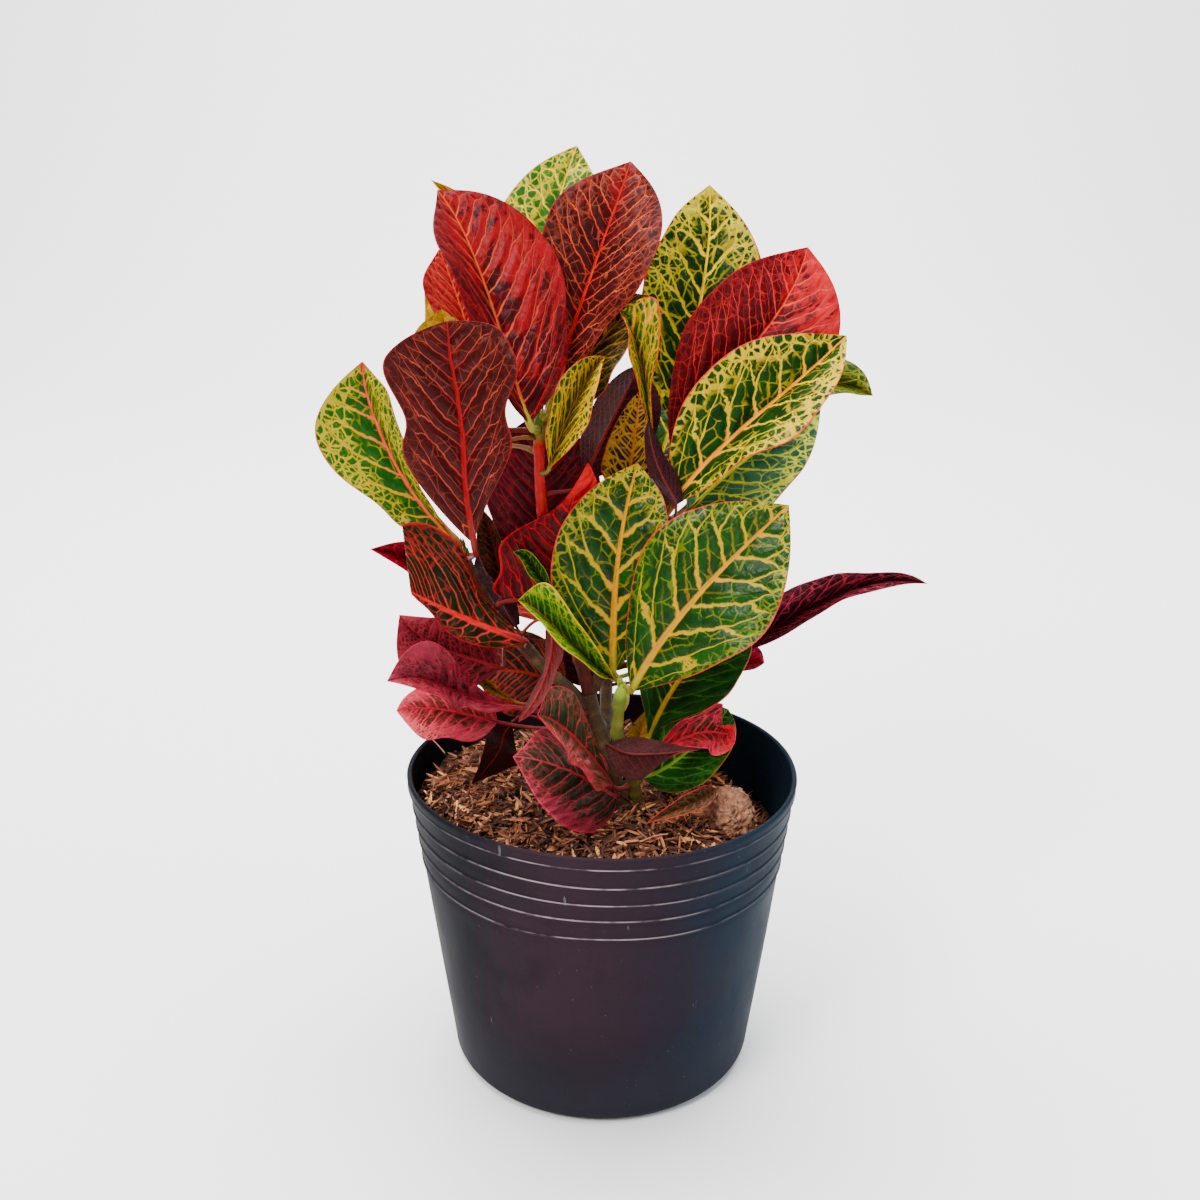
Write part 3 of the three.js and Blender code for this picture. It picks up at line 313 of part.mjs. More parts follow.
// The rim's lean and oval shape fade away towards the base.
function bend(x, y, z) {
  const f = Math.pow(Math.max(0, z) / POT_HEIGHT, 2);
  const r = Math.hypot(x, y);
  const th = Math.atan2(y, x);
  const dr = f * (RIM_OVAL[0] * Math.cos(2 * th) + RIM_OVAL[1] * Math.sin(2 * th)
    + RIM_OVAL[2] * Math.cos(3 * th) + RIM_OVAL[3] * Math.sin(3 * th));
  const k = r > 1e-6 ? (r + dr * Math.min(1, r / RIM_RADIUS)) / r : 1;
  const nx = x * k;
  const ny = y * k;
  return [nx, ny, z + f * (RIM_TILT[0] * nx + RIM_TILT[1] * ny) * Math.min(1, r / (0.8 * RIM_RADIUS))];
}
function mapPoints(geometry, fn) {
  const p = geometry.attributes.position;
  for (let i = 0; i < p.count; i++) {
    const q = fn(p.getX(i), p.getY(i), p.getZ(i), i);
    p.setXYZ(i, q[0], q[1], q[2]);
  }
  p.needsUpdate = true;
  return geometry;
}
// A lathe turned about +Z from (radius, height) points that close on themselves.
function lathe(points, segments) {
  const g = new THREE.LatheGeometry(points.map((p) => new THREE.Vector2(p[0], p[1])), segments);
  g.rotateX(Math.PI / 2);
  return g;
}
const facingOut = (g) => {
  const b = bare(g);
  const p = b.attributes.position;
  const ix = b.index.array;
  let v = 0;
  for (let i = 0; i < ix.length; i += 3) {
    const a = new THREE.Vector3().fromBufferAttribute(p, ix[i]);
    const c = new THREE.Vector3().fromBufferAttribute(p, ix[i + 1]);
    const d = new THREE.Vector3().fromBufferAttribute(p, ix[i + 2]);
    v += a.dot(c.cross(d));
  }
  if (v < 0) {
    for (let i = 0; i < ix.length; i += 3) { const t = ix[i]; ix[i] = ix[i + 1]; ix[i + 1] = t; }
  }
  return b;
};

// ---- pot ------------------------------------------------------------------
{
  const out = [];
  out.push([0, 0]);
  out.push([BASE_RADIUS - EDGE_ROUND, 0]);
  for (let i = 1; i <= 3; i++) {
    const a = (i / 3) * (Math.PI / 2 - 0.13);
    out.push([BASE_RADIUS - EDGE_ROUND + (EDGE_ROUND + 0.4) * Math.sin(a), EDGE_ROUND * (1 - Math.cos(a))]);
  }
  for (const z of [...BEAD_HEIGHTS].sort((a, b) => a - b)) {
    if (z > POT_HEIGHT - LIP_DEPTH - 3) continue;
    out.push([wallRadius(z - BEAD_HALF), z - BEAD_HALF]);
    out.push([wallRadius(z) + BEAD_OUT, z]);
    out.push([wallRadius(z + BEAD_HALF), z + BEAD_HALF]);
  }
  const lip = POT_HEIGHT - LIP_DEPTH;
  out.push([wallRadius(lip - 1), lip - 1]);
  out.push([wallRadius(lip) + LIP_EXTRA, lip]);
  out.push([RIM_RADIUS + 0.3, POT_HEIGHT - 1]);
  out.push([RIM_RADIUS - 0.8, POT_HEIGHT]);
  out.push([RIM_RADIUS - 2.6, POT_HEIGHT - 0.1]);
  out.push([RIM_RADIUS - 3.4, POT_HEIGHT - 1.2]);
  out.push([wallRadius(lip) - WALL - 1.2, lip]);
  out.push([wallRadius(lip - 2) - WALL, lip - 2]);
  out.push([wallRadius(60) - WALL, 60]);
  out.push([wallRadius(EDGE_ROUND + 1) - WALL, EDGE_ROUND + 1]);
  out.push([BASE_RADIUS - EDGE_ROUND + 0.5, FLOOR]);
  out.push([0, FLOOR]);
  let pot = toSolid(facingOut(mapPoints(lathe(out, POT_SEGMENTS), bend)));
  for (let i = 0; i < HOLE_COUNT; i++) {
    const a = ((i + 0.5) / HOLE_COUNT) * 2 * Math.PI;
    const cut = new THREE.CylinderGeometry(HOLE_RADIUS, HOLE_RADIUS, FLOOR * 4, 14);
    cut.rotateX(Math.PI / 2);
    cut.translate(HOLE_CIRCLE * Math.cos(a), HOLE_CIRCLE * Math.sin(a), FLOOR / 2);
    pot = pot.subtract(toSolid(cut));
  }
  add('pot', fromSolid(pot), 0x1b1c20, 0.38);
}

// ---- stems ------------------------------------------------------------------
function tube(rows, grow = 0, sides = 10, extraStart = 0) {
  const pts = rows.map((r) => V(r));
  const curve = new THREE.CatmullRomCurve3(pts, false, 'centripetal');
  const steps = Math.max(6, (rows.length - 1) * 3);
  const g = new THREE.CylinderGeometry(1, 1, 1, sides, steps);
  const frames = curve.computeFrenetFrames(steps, false);
  const radii = rows.map((r) => r[3]);
  return mapPoints(g, (x, y, z) => {
    const u = y + 0.5;
    const k = Math.round(u * steps);
    const c = curve.getPointAt(k / steps);
    const fr = u * (radii.length - 1);
    const i = Math.min(radii.length - 2, Math.floor(fr));
    const r = radii[i] + (radii[i + 1] - radii[i]) * (fr - i) + grow;
    const n = frames.normals[k];
    const b = frames.binormals[k];
    const q = c.clone().addScaledVector(n, x * r).addScaledVector(b, z * r);
    if (k === 0) q.addScaledVector(frames.tangents[0], -grow - extraStart);
    if (k === steps) q.addScaledVector(frames.tangents[steps], grow);
    return [q.x, q.y, q.z];
  });
}
const tubeSolid = (rows, grow) => toSolid(facingOut(tube(rows, grow)));
let mainStem = tubeSolid(STEMS.trunk, 0);
for (const k of ['A', 'R', 'B', 'K']) mainStem = mainStem.add(tubeSolid(STEMS[k], 0));
const frontStem = tubeSolid(STEMS.D, 0);
add('stem_main', fromSolid(mainStem), 0x6a3a2a, 0.6);
add('stem_front', fromSolid(frontStem), 0x8a8f3a, 0.5);

// ---- stone ------------------------------------------------------------------
function stone(grow) {
  const g = new THREE.IcosahedronGeometry(1, 2);
  return mapPoints(bare(g), (x, y, z) => {
    const n = 1 + 0.07 * Math.sin(3.1 * x + 1.3 * y + 0.4) * Math.cos(2.3 * z - 1.1 * y)
      + 0.05 * Math.sin(5.2 * z + 4.1 * x) + 0.04 * Math.sin(6.3 * y - 3.7 * x + 1.2);
    const s = (r) => r * n + grow;
    return [STONE_CENTRE[0] + x * s(STONE_RADII[0]), STONE_CENTRE[1] + y * s(STONE_RADII[1]), STONE_CENTRE[2] + z * s(STONE_RADII[2])];
  });
}
add('stone', stone(0), 0x7d6158, 0.9);

// ---- soil ---------------------------------------------------------------------
const soilTop = (x, y) => SOIL_LEVEL
  + 3.5 * Math.exp(-(x * x + y * y) / 900)
  - SOIL_DIP * smooth(36, 84, x + 0.1 * y)
  + 1.2 * smooth(40, 95, -x)
  - 7 * smooth(12, 62, -y)
  + 0.9 * Math.sin(0.13 * x + 0.7) * Math.cos(0.11 * y) + 0.7 * Math.sin(0.21 * y + 0.17 * x);
{
  const rows = [[0, FLOOR + GAP]];
  rows.push([BASE_RADIUS - EDGE_ROUND - 1, FLOOR + GAP]);
  rows.push([wallRadius(EDGE_ROUND + 2) - WALL - GAP - 0.6, EDGE_ROUND + 3]);
  rows.push([wallRadius(60) - WALL - GAP - 0.3, 60]);
  const fractions = [1, 0.9, 0.78, 0.64, 0.5, 0.36, 0.22, 0.1];
  for (const f of fractions) rows.push([f, 1000]);
  rows.push([0, 1000]);
  const g = mapPoints(lathe(rows, POT_SEGMENTS), (x, y, z) => {
    if (z < 500) return bend(x, y, z);
    const f = Math.hypot(x, y);
    const th = Math.atan2(y, x);
    let r = 90;
    let zt = 140;
    for (let i = 0; i < 6; i++) {
      const e = bend(Math.cos(th) * (wallRadius(zt) - WALL - GAP - 0.45), Math.sin(th) * (wallRadius(zt) - WALL - GAP - 0.45), zt);
      r = Math.hypot(e[0], e[1]);
      zt = soilTop(Math.cos(th) * r, Math.sin(th) * r);
    }
    const px = Math.cos(th) * r * f;
    const py = Math.sin(th) * r * f;
    return [px, py, soilTop(px, py)];
  });
  let soil = toSolid(facingOut(g));
  soil = soil.subtract(toSolid(facingOut(stone(GAP))));
  soil = soil.subtract(tubeSolid(STEMS.trunk, GAP)).subtract(tubeSolid(STEMS.D, GAP));
  add('soil', fromSolid(soil), 0x6b4a33, 0.95);
}

// ---- leaves ---------------------------------------------------------------------
const bezier = (P, t) => {
  const a = (1 - t) ** 3;
  const b = 3 * (1 - t) ** 2 * t;
  const c = 3 * (1 - t) * t * t;
  const d = t ** 3;
  return new THREE.Vector3(
    a * P[0][0] + b * P[1][0] + c * P[2][0] + d * P[3][0],
    a * P[0][1] + b * P[1][1] + c * P[2][1] + d * P[3][1],
    a * P[0][2] + b * P[1][2] + c * P[2][2] + d * P[3][2],
  );
};
function leafGeometry(stalk, mid, left, right) {
  const rows = [];
  const M = mid.map(V);
  const A = left.map(V);
  const B = right.map(V);
  const last = M.length - 1;
  const tangent = (list, i) => list[Math.min(i + 1, list.length - 1)].clone().sub(list[Math.max(i - 1, 0)]).normalize();
  // A margin never closer to the midrib than a thin edge.
  const side = (i) => B[i].clone().sub(A[i]);
  const baseSide = side(1).normalize();
  for (let i = 0; i <= last; i++) {
    const s = (i === 0 ? side(1) : i === last ? side(last - 1) : side(i)).normalize();
    const least = i === 0 ? PETIOLE_HALF_WIDTH : i === last ? 0.6 : 0.8;
    if (A[i].distanceTo(M[i]) < least) A[i] = M[i].clone().addScaledVector(s, -least);
    if (B[i].distanceTo(M[i]) < least) B[i] = M[i].clone().addScaledVector(s, least);
  }
  if (stalk) {
    for (const t of [0, 0.3, 0.65]) {
      const c = bezier(stalk, t);
      const T = bezier(stalk, Math.min(1, t + 0.02)).sub(bezier(stalk, Math.max(0, t - 0.02))).normalize();
      const s = baseSide.clone().addScaledVector(T, -baseSide.dot(T)).normalize();
      const n = s.clone().cross(T);
      rows.push({ c, a: c.clone().addScaledVector(s, -PETIOLE_HALF_WIDTH), b: c.clone().addScaledVector(s, PETIOLE_HALF_WIDTH),
        nc: n.clone().multiplyScalar(PETIOLE_HALF_THICK), na: n.clone().multiplyScalar(0.6), nb: n.clone().multiplyScalar(0.6) });
    }
  }
  for (let i = 0; i <= last; i++) {
    const T = tangent(M, i);
    const na = M[i].clone().sub(A[i]).normalize().cross(T).normalize();
    const nb = B[i].clone().sub(M[i]).normalize().cross(T).normalize();
    const nc = na.clone().add(nb).normalize();
    const thick = i === 0 ? 1.15 : MIDRIB_HALF_THICK + (BLADE_HALF_THICK - MIDRIB_HALF_THICK) * (i / last);
    rows.push({ c: M[i], a: A[i], b: B[i], nc: nc.multiplyScalar(thick), na: na.multiplyScalar(BLADE_HALF_THICK), nb: nb.multiplyScalar(BLADE_HALF_THICK) });
  }
  const n = rows.length - 1;
  const g = new THREE.BoxGeometry(2, 2, n, 2, 1, n);
  return mapPoints(g, (x, y, z) => {
    const row = rows[Math.round(n / 2 - z)];
    const k = Math.round(x);
    const p = k < 0 ? row.a : k > 0 ? row.b : row.c;
    const m = k < 0 ? row.na : k > 0 ? row.nb : row.nc;
    return [p.x + m.x * y, p.y + m.y * y, p.z + m.z * y];
  });
}
for (const [name, colour, stalk, mid, left, right] of LEAVES) {
  add(name, leafGeometry(stalk, mid, left, right), COLOURS[colour], 0.35);
}

export default group;
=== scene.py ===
# Potted croton: the look of every surface, over the fixed frame.
import bpy
import bmesh
import math
import numpy as np
from mathutils import Vector, Matrix


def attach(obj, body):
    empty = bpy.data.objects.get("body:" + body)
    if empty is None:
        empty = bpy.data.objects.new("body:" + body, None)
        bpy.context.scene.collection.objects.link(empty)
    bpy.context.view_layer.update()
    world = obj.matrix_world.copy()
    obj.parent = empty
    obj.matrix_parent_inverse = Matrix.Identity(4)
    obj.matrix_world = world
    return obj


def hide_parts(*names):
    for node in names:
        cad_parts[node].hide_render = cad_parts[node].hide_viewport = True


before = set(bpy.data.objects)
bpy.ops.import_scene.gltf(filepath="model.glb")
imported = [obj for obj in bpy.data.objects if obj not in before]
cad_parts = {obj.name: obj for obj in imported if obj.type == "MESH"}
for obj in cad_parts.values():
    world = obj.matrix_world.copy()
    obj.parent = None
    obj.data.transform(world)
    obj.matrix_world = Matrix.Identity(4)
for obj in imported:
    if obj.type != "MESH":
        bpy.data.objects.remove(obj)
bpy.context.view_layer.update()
MM = 0.001

# ---- camera: at the photograph's place, looking down 19.3 degrees -------------
cam_data = bpy.data.cameras.new("camera")
cam_data.sensor_fit = "HORIZONTAL"
cam_data.sensor_width = 36.0
cam_data.lens = 42.0
cam_data.clip_start = 0.05
cam_data.clip_end = 20.0
cam_data.dof.use_dof = False
camera = bpy.data.objects.new("camera", cam_data)
bpy.context.scene.collection.objects.link(camera)
PITCH, ROLL = math.radians(19.3), math.radians(-0.38)
_right = Vector((1, 0, 0))
_up = Vector((0, math.sin(PITCH), math.cos(PITCH)))
_fwd = Vector((0, math.cos(PITCH), -math.sin(PITCH)))
_r = _right * math.cos(ROLL) - _up * math.sin(ROLL)
_u = _right * math.sin(ROLL) + _up * math.cos(ROLL)
_m = Matrix(((_r.x, _u.x, -_fwd.x), (_r.y, _u.y, -_fwd.y), (_r.z, _u.z, -_fwd.z)))
camera.matrix_world = Matrix.Translation(Vector((-2.2, -654.7, 480.1)) * MM) @ _m.to_4x4()
bpy.context.scene.camera = camera

# ---- the row's own dimensions, in millimetres ----------------------------------
POT_HEIGHT, RIM_RADIUS, BASE_RADIUS = 160.5, 99.5, 78.9
WALL, FLOOR, EDGE_ROUND, LIP_DEPTH, LIP_EXTRA = 1.3, 1.8, 7.0, 6.5, 0.9
BEADS = [153.1, 143.9, 134.2, 125.3, 115.3]
HOLES, HOLE_RADIUS, HOLE_CIRCLE = 8, 4.5, 58.0
GAP = 0.35
STONE_CENTRE, STONE_RADII = (62.0, -9.0, 135.5), (13.5, 12.5, 14.5)


def smooth(a, b, v):
    t = np.clip((np.asarray(v, float) - a) / (b - a), 0, 1)
    return t * t * (3 - 2 * t)


def wall_radius(z):
    return BASE_RADIUS + (RIM_RADIUS - BASE_RADIUS) * np.asarray(z, float) / POT_HEIGHT


def bend(p):
    """The pot's rim is a little out of round and tilted, as soft plastic is."""
    p = np.array(p, float)
    x, y, z = p[..., 0], p[..., 1], p[..., 2]
    r = np.hypot(x, y)
    th = np.arctan2(y, x)
    f = (np.maximum(0, z) / POT_HEIGHT) ** 2
    dr = f * (-0.09 * np.cos(2 * th) - 2.09 * np.sin(2 * th) - 1.09 * np.cos(3 * th) + 0.39 * np.sin(3 * th))
    k = np.where(r > 1e-6, (r + dr * np.minimum(1, r / RIM_RADIUS)) / np.maximum(r, 1e-6), 1)
    lift = f * (0.019 * x - 0.019 * y) * np.minimum(1, r / (BASE_RADIUS + 0.7))
    return np.stack([x * k, y * k, z + lift], -1)


def soil_top(x, y):
    x, y = np.asarray(x, float), np.asarray(y, float)
    return (141.5 + 3.5 * np.exp(-(x * x + y * y) / 900) - 20 * smooth(36, 84, x + 0.1 * y)
            + 1.2 * smooth(40, 95, -x) - 7 * smooth(12, 62, -y)
            + 0.9 * np.sin(0.13 * x + 0.7) * np.cos(0.11 * y) + 0.7 * np.sin(0.21 * y + 0.17 * x))


STEMS = {
    "trunk": [[10.9, -8, 137.6, 4.6], [4.5, -6, 159.5, 4.4], [-0.2, -3, 175, 4.2], [-4.9, 0, 188.6, 4], [-7.5, 2, 199.4, 3.8]],
    "A": [[-7.5, 2, 199.4, 3.6], [-10.6, 5, 211.3, 3.4], [-16.8, 9, 231.5, 3.2], [-23.8, 11, 257.4, 3], [-29.1, 10, 281.2, 2.9], [-31.4, 9, 299.4, 2.8], [-32.2, 8, 319.7, 2.6], [-32.1, 8, 333.5, 2.8], [-32, 8, 341.3, 2.2]],
    "R": [[-7.5, 2, 199.4, 3.4], [-0.9, 7, 209.5, 3.2], [8.1, 14, 229.8, 3.1], [19, 18, 258.1, 3], [27.6, 20, 283.9, 2.9], [33.1, 21, 309.4, 2.7], [35.2, 22, 326.9, 2.4]],
    "B": [[-4.9, 2, 187.8, 3.4], [-17.1, 1, 202, 3.2], [-29.2, -1, 213.6, 3], [-38.5, -2, 225.8, 2.9], [-50.4, -1, 236.1, 2.6], [-57.8, 1, 249, 2.5], [-63.6, 2, 260.2, 2.5], [-67.9, 3, 269.2, 2.6], [-69.8, 4, 277.1, 2.4]],
    "K": [[0.4, -1, 170.6, 3.4], [1.3, 22, 184.6, 3.2], [2.2, 36, 215.9, 3], [3, 44, 246.6, 2.8], [3.8, 48, 278.3, 2.6], [3.6, 50, 299.2, 2.2]],
    "D": [[19.7, -10, 137, 3.4], [13.5, -18, 165.5, 3.2], [7.2, -23, 185.5, 3], [7, -26, 200.3, 2.8], [7.8, -29, 211.7, 3.2], [8.7, -31, 218.8, 1.2]],
}

# One leaf a row: look, node, colour class, which way the upper side faces, stalk, then
# midrib, left margin and right margin from base to tip, in millimetres.
LEAVES = [
    ("L02", "leaf_01", "maroon", 1, [[-29.2, 7, 341.3], [-26.7, 6.1, 341.9], [-26.8, 5.1, 345.1], [-26.1, 6, 347.6]],
     [[-26.1, 6, 347.6], [-23.1, 10, 358.7], [-19.1, 14.4, 371.8], [-14, 19.1, 387.1], [-8.7, 23.8, 402.3], [-3.2, 28.8, 417.5], [2.4, 34.5, 432.8], [7.2, 40, 445.9], [11.2, 45.4, 457]],
     [[-27.2, 5.9, 347.9], [-29.1, 9.9, 360.5], [-34.5, 14.2, 376.8], [-37.3, 19.2, 395], [-33.8, 24.2, 411.2], [-30, 29.7, 427.1], [-22.7, 35.6, 441.5], [-7.5, 40.9, 450.8], [11.2, 45.4, 457]],
     [[-25.4, 5.2, 347.7], [-18.6, 5.6, 358.9], [-8.2, 3.9, 371.8], [1, 5.1, 386.3], [14.1, 3.5, 400.6], [22.1, 7.4, 415.6], [25.4, 16.3, 431.5], [21.6, 29.4, 445.6], [11.2, 45.4, 457]]),
    ("L03", "leaf_02", "greenyellow", 1, [[-31.8, 11.3, 339.9], [-30.7, 23, 342.9], [-28.1, 37.8, 332.2], [-29, 42.8, 343.2]],
     [[-29, 42.8, 343.2], [-29.9, 48, 354.7], [-30.7, 54.3, 368.6], [-31, 61.5, 384.8], [-30.3, 68.8, 401.1], [-28.3, 76.1, 417.8], [-24.8, 83.4, 434.8], [-20.3, 89.8, 449.9], [-15.5, 95, 462.8]],
     [[-30.1, 42.7, 343.2], [-41.8, 46.5, 354.6], [-53.3, 51.5, 368.9], [-60.3, 58.2, 386.6], [-61.8, 65.6, 405], [-57.9, 73.4, 423.7], [-47.9, 81.5, 441.5], [-33.4, 88.7, 454.7], [-15.5, 95, 462.8]],
     [[-27.9, 42.6, 343.4], [-18.1, 45.5, 356.7], [-8.2, 49.4, 371.7], [-1.6, 55.1, 387.3], [1.6, 61.5, 401.8], [2.9, 68.6, 416], [0.8, 77, 431.1], [-5.5, 85.8, 446.5], [-15.5, 95, 462.8]]),
    ("L04", "leaf_03", "greenyellow", 1, [[-33.2, 11.4, 336.9], [-37.1, 22.7, 339.9], [-36.2, 35, 340.8], [-42.8, 39.5, 350.3]],
     [[-42.8, 39.5, 350.3], [-48.8, 43.6, 358.9], [-54.2, 48.5, 370.1], [-58.7, 54.1, 384.1], [-62.5, 59.6, 398.5], [-66.8, 64.9, 413], [-72.7, 69.9, 426.8], [-79.9, 73.8, 437.9], [-88.1, 76.8, 446.4]],
     [[-43, 38.7, 350.5], [-51, 35, 361.5], [-57.5, 32.3, 375.6], [-62.1, 33.1, 391.4], [-65.5, 36.7, 406.3], [-69.3, 42.4, 420.2], [-74.8, 51.1, 432.4], [-81.2, 63.1, 440.7], [-88.1, 76.8, 446.4]],
     [[-42.6, 38.9, 350.8], [-45.6, 36.7, 363.9], [-47, 35.2, 378.5], [-48.7, 36.6, 393.8], [-51.8, 40.3, 408.6], [-57.2, 45.7, 423.2], [-66.3, 53.8, 435.9], [-77.4, 64.8, 443.1], [-88.1, 76.8, 446.4]]),
    ("L01", "leaf_04", "scarlet", 1, [[-33, 4.5, 335.3], [-34.2, -0.6, 336.6], [-34.1, -9.3, 336.7], [-36, -7.9, 341.5]],
     [[-36, -7.9, 341.5], [-39.6, -5, 350.7], [-43.8, -1.5, 363.2], [-48.8, 2.8, 378.9], [-54.2, 7.2, 395.1], [-60.2, 11.8, 411], [-66.8, 16.4, 425.7], [-73.3, 20.4, 436.6], [-79.3, 23.8, 444.3]],
     [[-36.3, -8.9, 341.8], [-43.7, -20, 353.7], [-50.7, -24.9, 367.4], [-57.3, -23.5, 383.2], [-64.5, -21.5, 399.5], [-71.8, -17.2, 414.9], [-77.4, -6.8, 428.1], [-79, 9.2, 437.2], [-79.3, 23.8, 444.3]],
     [[-34.9, -7.7, 341.9], [-23.6, -2.9, 355.9], [-18.1, 1.6, 370.7], [-18.7, 6.3, 387.7], [-20, 11.2, 405.9], [-28.1, 15.7, 422.8], [-43.3, 19.7, 436.7], [-61.7, 22.2, 443.8], [-79.3, 23.8, 444.3]]),
    ("L14", "leaf_05", "greenyellow", 1, [[35.4, 25.2, 325.2], [35.6, 27.9, 325.7], [35.8, 29.7, 327.4], [36.1, 30.7, 330]],
     [[36.1, 30.7, 330], [37.6, 34.9, 341.5], [39.9, 40.1, 355.1], [43, 46.1, 370.8], [46.2, 52.2, 386.3], [48.9, 58.2, 402.1], [50.9, 64.1, 418.3], [51.5, 69.1, 432.7], [51.1, 73.2, 445.1]],
     [[35, 30.3, 330.2], [25.8, 31.3, 344.7], [18.5, 33.6, 361.7], [15.9, 37.9, 379.6], [17, 43.2, 395.5], [21.1, 49.5, 409.5], [28.3, 57, 422.7], [36.7, 64.3, 434.4], [51.1, 73.2, 445.1]],
     [[37.1, 30.3, 330], [49.2, 30.2, 341.6], [61, 31.4, 354.5], [69.9, 35, 369.5], [75.7, 39.9, 385.3], [77.5, 46.4, 402.2], [73, 55, 419.7], [62.9, 64.4, 434.2], [51.1, 73.2, 445.1]]),
    ("L05", "leaf_06", "scarlet", 1, [[-35.7, 7.5, 334], [-42.9, 6.6, 335.9], [-52.5, 2.6, 333.1], [-54.4, 5.2, 339.8]],
     [[-54.4, 5.2, 339.8], [-57, 8.7, 349], [-60, 13.3, 359.3], [-63.6, 18.8, 370.5], [-67.2, 24.4, 381], [-71, 30, 390.9], [-74.9, 35.5, 400.6], [-78.5, 39.9, 408.7], [-81.7, 43.3, 415.5]],
     [[-54.8, 4.5, 339.9], [-61.2, 2.5, 350.4], [-68.6, 0.9, 362.4], [-75.2, 2.6, 375], [-78.9, 8.6, 385.5], [-83.6, 13.1, 395.6], [-86.9, 19.4, 404.4], [-84.7, 31.5, 410.3], [-81.7, 43.3, 415.5]],
     [[-53.6, 5, 340.1], [-49.8, 7.2, 351.7], [-46, 10.3, 365], [-45, 15, 378.6], [-47, 20.4, 390.5], [-51.2, 26.1, 401], [-58.6, 32.2, 409.4], [-69.2, 38, 414], [-81.7, 43.3, 415.5]]),
    ("L06", "leaf_07", "greenyellow", 1, [[-35.2, 6, 331.1], [-44.2, 0.2, 333.9], [-56.9, -12.6, 327.7], [-59, -9.4, 338.1]],
     [[-59, -9.4, 338.1], [-60.2, -7.5, 344.3], [-62.3, -5.2, 351.7], [-65.2, -2.7, 360.3], [-68.4, -0.6, 368.5], [-71.5, 0.6, 376.3], [-74, 0.8, 383.5], [-75.5, -0, 388.9], [-76.1, -1.7, 393]],
     [[-59.7, -9.6, 338.1], [-67, -9.5, 343.3], [-75.7, -9.3, 348.8], [-82.9, -8.3, 355.2], [-87.8, -6.8, 362.2], [-90.6, -5.3, 369.6], [-90.3, -3.9, 377.9], [-85.5, -2.6, 386.1], [-76.1, -1.7, 393]],
     [[-58.4, -9.9, 338.3], [-55, -11.7, 346.8], [-52.2, -13.6, 357.5], [-52.1, -14.1, 368.3], [-54, -13.6, 377], [-56.9, -12.8, 383.3], [-61.2, -10.7, 386.9], [-67.9, -6.6, 388.7], [-76.1, -1.7, 393]]),
    ("L15", "leaf_08", "scarlet", 1, [[34.1, 17.9, 317.2], [34, 15.4, 316.5], [30.7, 8, 317.6], [32.5, 11.3, 324.3]],
     [[32.5, 11.3, 324.3], [37.9, 13.9, 333.7], [45.7, 17, 344.4], [56.1, 20.5, 356.4], [67.1, 24.3, 368.5], [77.7, 28.5, 380.9], [87.1, 33.4, 394.2], [93.6, 38.4, 406.6], [97.5, 43.1, 417.9]],
     [[31.6, 11.1, 324.8], [30.1, 11.9, 339.3], [30.9, 13, 357.5], [35.2, 14.5, 377.1], [43.2, 17.1, 392.2], [53.3, 21.1, 402.9], [65.3, 27, 410.2], [78.9, 34.1, 414.7], [97.5, 43.1, 417.9]],
     [[33.5, 10.8, 324], [46.7, 9.1, 329.3], [62.1, 7.1, 334], [77.1, 7.3, 341.5], [91.1, 9.4, 351.8], [104.3, 13.1, 365.2], [111.9, 20.5, 383.9], [108, 31.5, 403.3], [97.5, 43.1, 417.9]]),
    ("L10", "leaf_09", "greenyellow", 1, [[-28.9, 9.6, 337.5], [-26.3, 11, 338.3], [-25.6, 10.6, 341.2], [-24, 12.1, 343.4]],
     [[-24, 12.1, 343.4], [-21.4, 14.8, 347.1], [-18.1, 18, 352.2], [-13.8, 21.9, 358.9], [-8.7, 25.7, 366.1], [-2.4, 29.7, 373.8], [5.3, 33.6, 381.7], [13.4, 37.1, 388.6], [21.3, 40.1, 394.3]],
     [[-24.7, 11.9, 344], [-30.3, 12.1, 354.9], [-33.3, 13.3, 364.7], [-32.1, 16.1, 374.2], [-27.1, 19.7, 383.1], [-18.9, 24.1, 391.2], [-6.5, 29.4, 396.7], [7.6, 34.8, 397.2], [21.3, 40.1, 394.3]],
     [[-23.4, 11.5, 343.3], [-12.1, 5.5, 347.2], [-3.5, 1.9, 352.7], [1.7, 2.4, 359.3], [4.5, 6.8, 366], [9, 11, 373.1], [13.9, 17.5, 380.7], [17.9, 27.5, 387.8], [21.3, 40.1, 394.3]]),
    ("B01", "leaf_10", "scarlet", 1, [[-31.2, 11.5, 335.3], [-27.8, 25.8, 338.9], [-15.7, 40, 330.6], [-22, 50, 340]],
     [[-22, 50, 340], [-26.2, 56.7, 346.3], [-31.3, 64.8, 352.9], [-37.4, 74.4, 359.2], [-43.8, 84, 363.8], [-50.5, 93.6, 366.3], [-57.6, 103.2, 366.6], [-64.2, 111.3, 364.9], [-70, 118, 362]],
     [[-22.7, 49.4, 340.1], [-34, 50.7, 347.4], [-46, 53.8, 355.3], [-56.4, 60.2, 362.5], [-64.3, 68.8, 367.5], [-70.5, 78.7, 369.9], [-74, 90.7, 369.2], [-73.4, 104, 366.1], [-70, 118, 362]],
     [[-21.2, 50.2, 340.3], [-17.4, 59, 349.9], [-15, 69.7, 360.1], [-17, 81.9, 369], [-22.8, 94, 375.1], [-31.5, 105.5, 377.9], [-43.6, 115, 376.5], [-57.3, 119.1, 370.6], [-70, 118, 362]]),
    ("L13", "leaf_11", "greenyellow", 1, [[32.8, 18.5, 319.3], [28.7, 11.1, 322.4], [24.3, -0.8, 320.1], [22.6, -0.7, 329]],
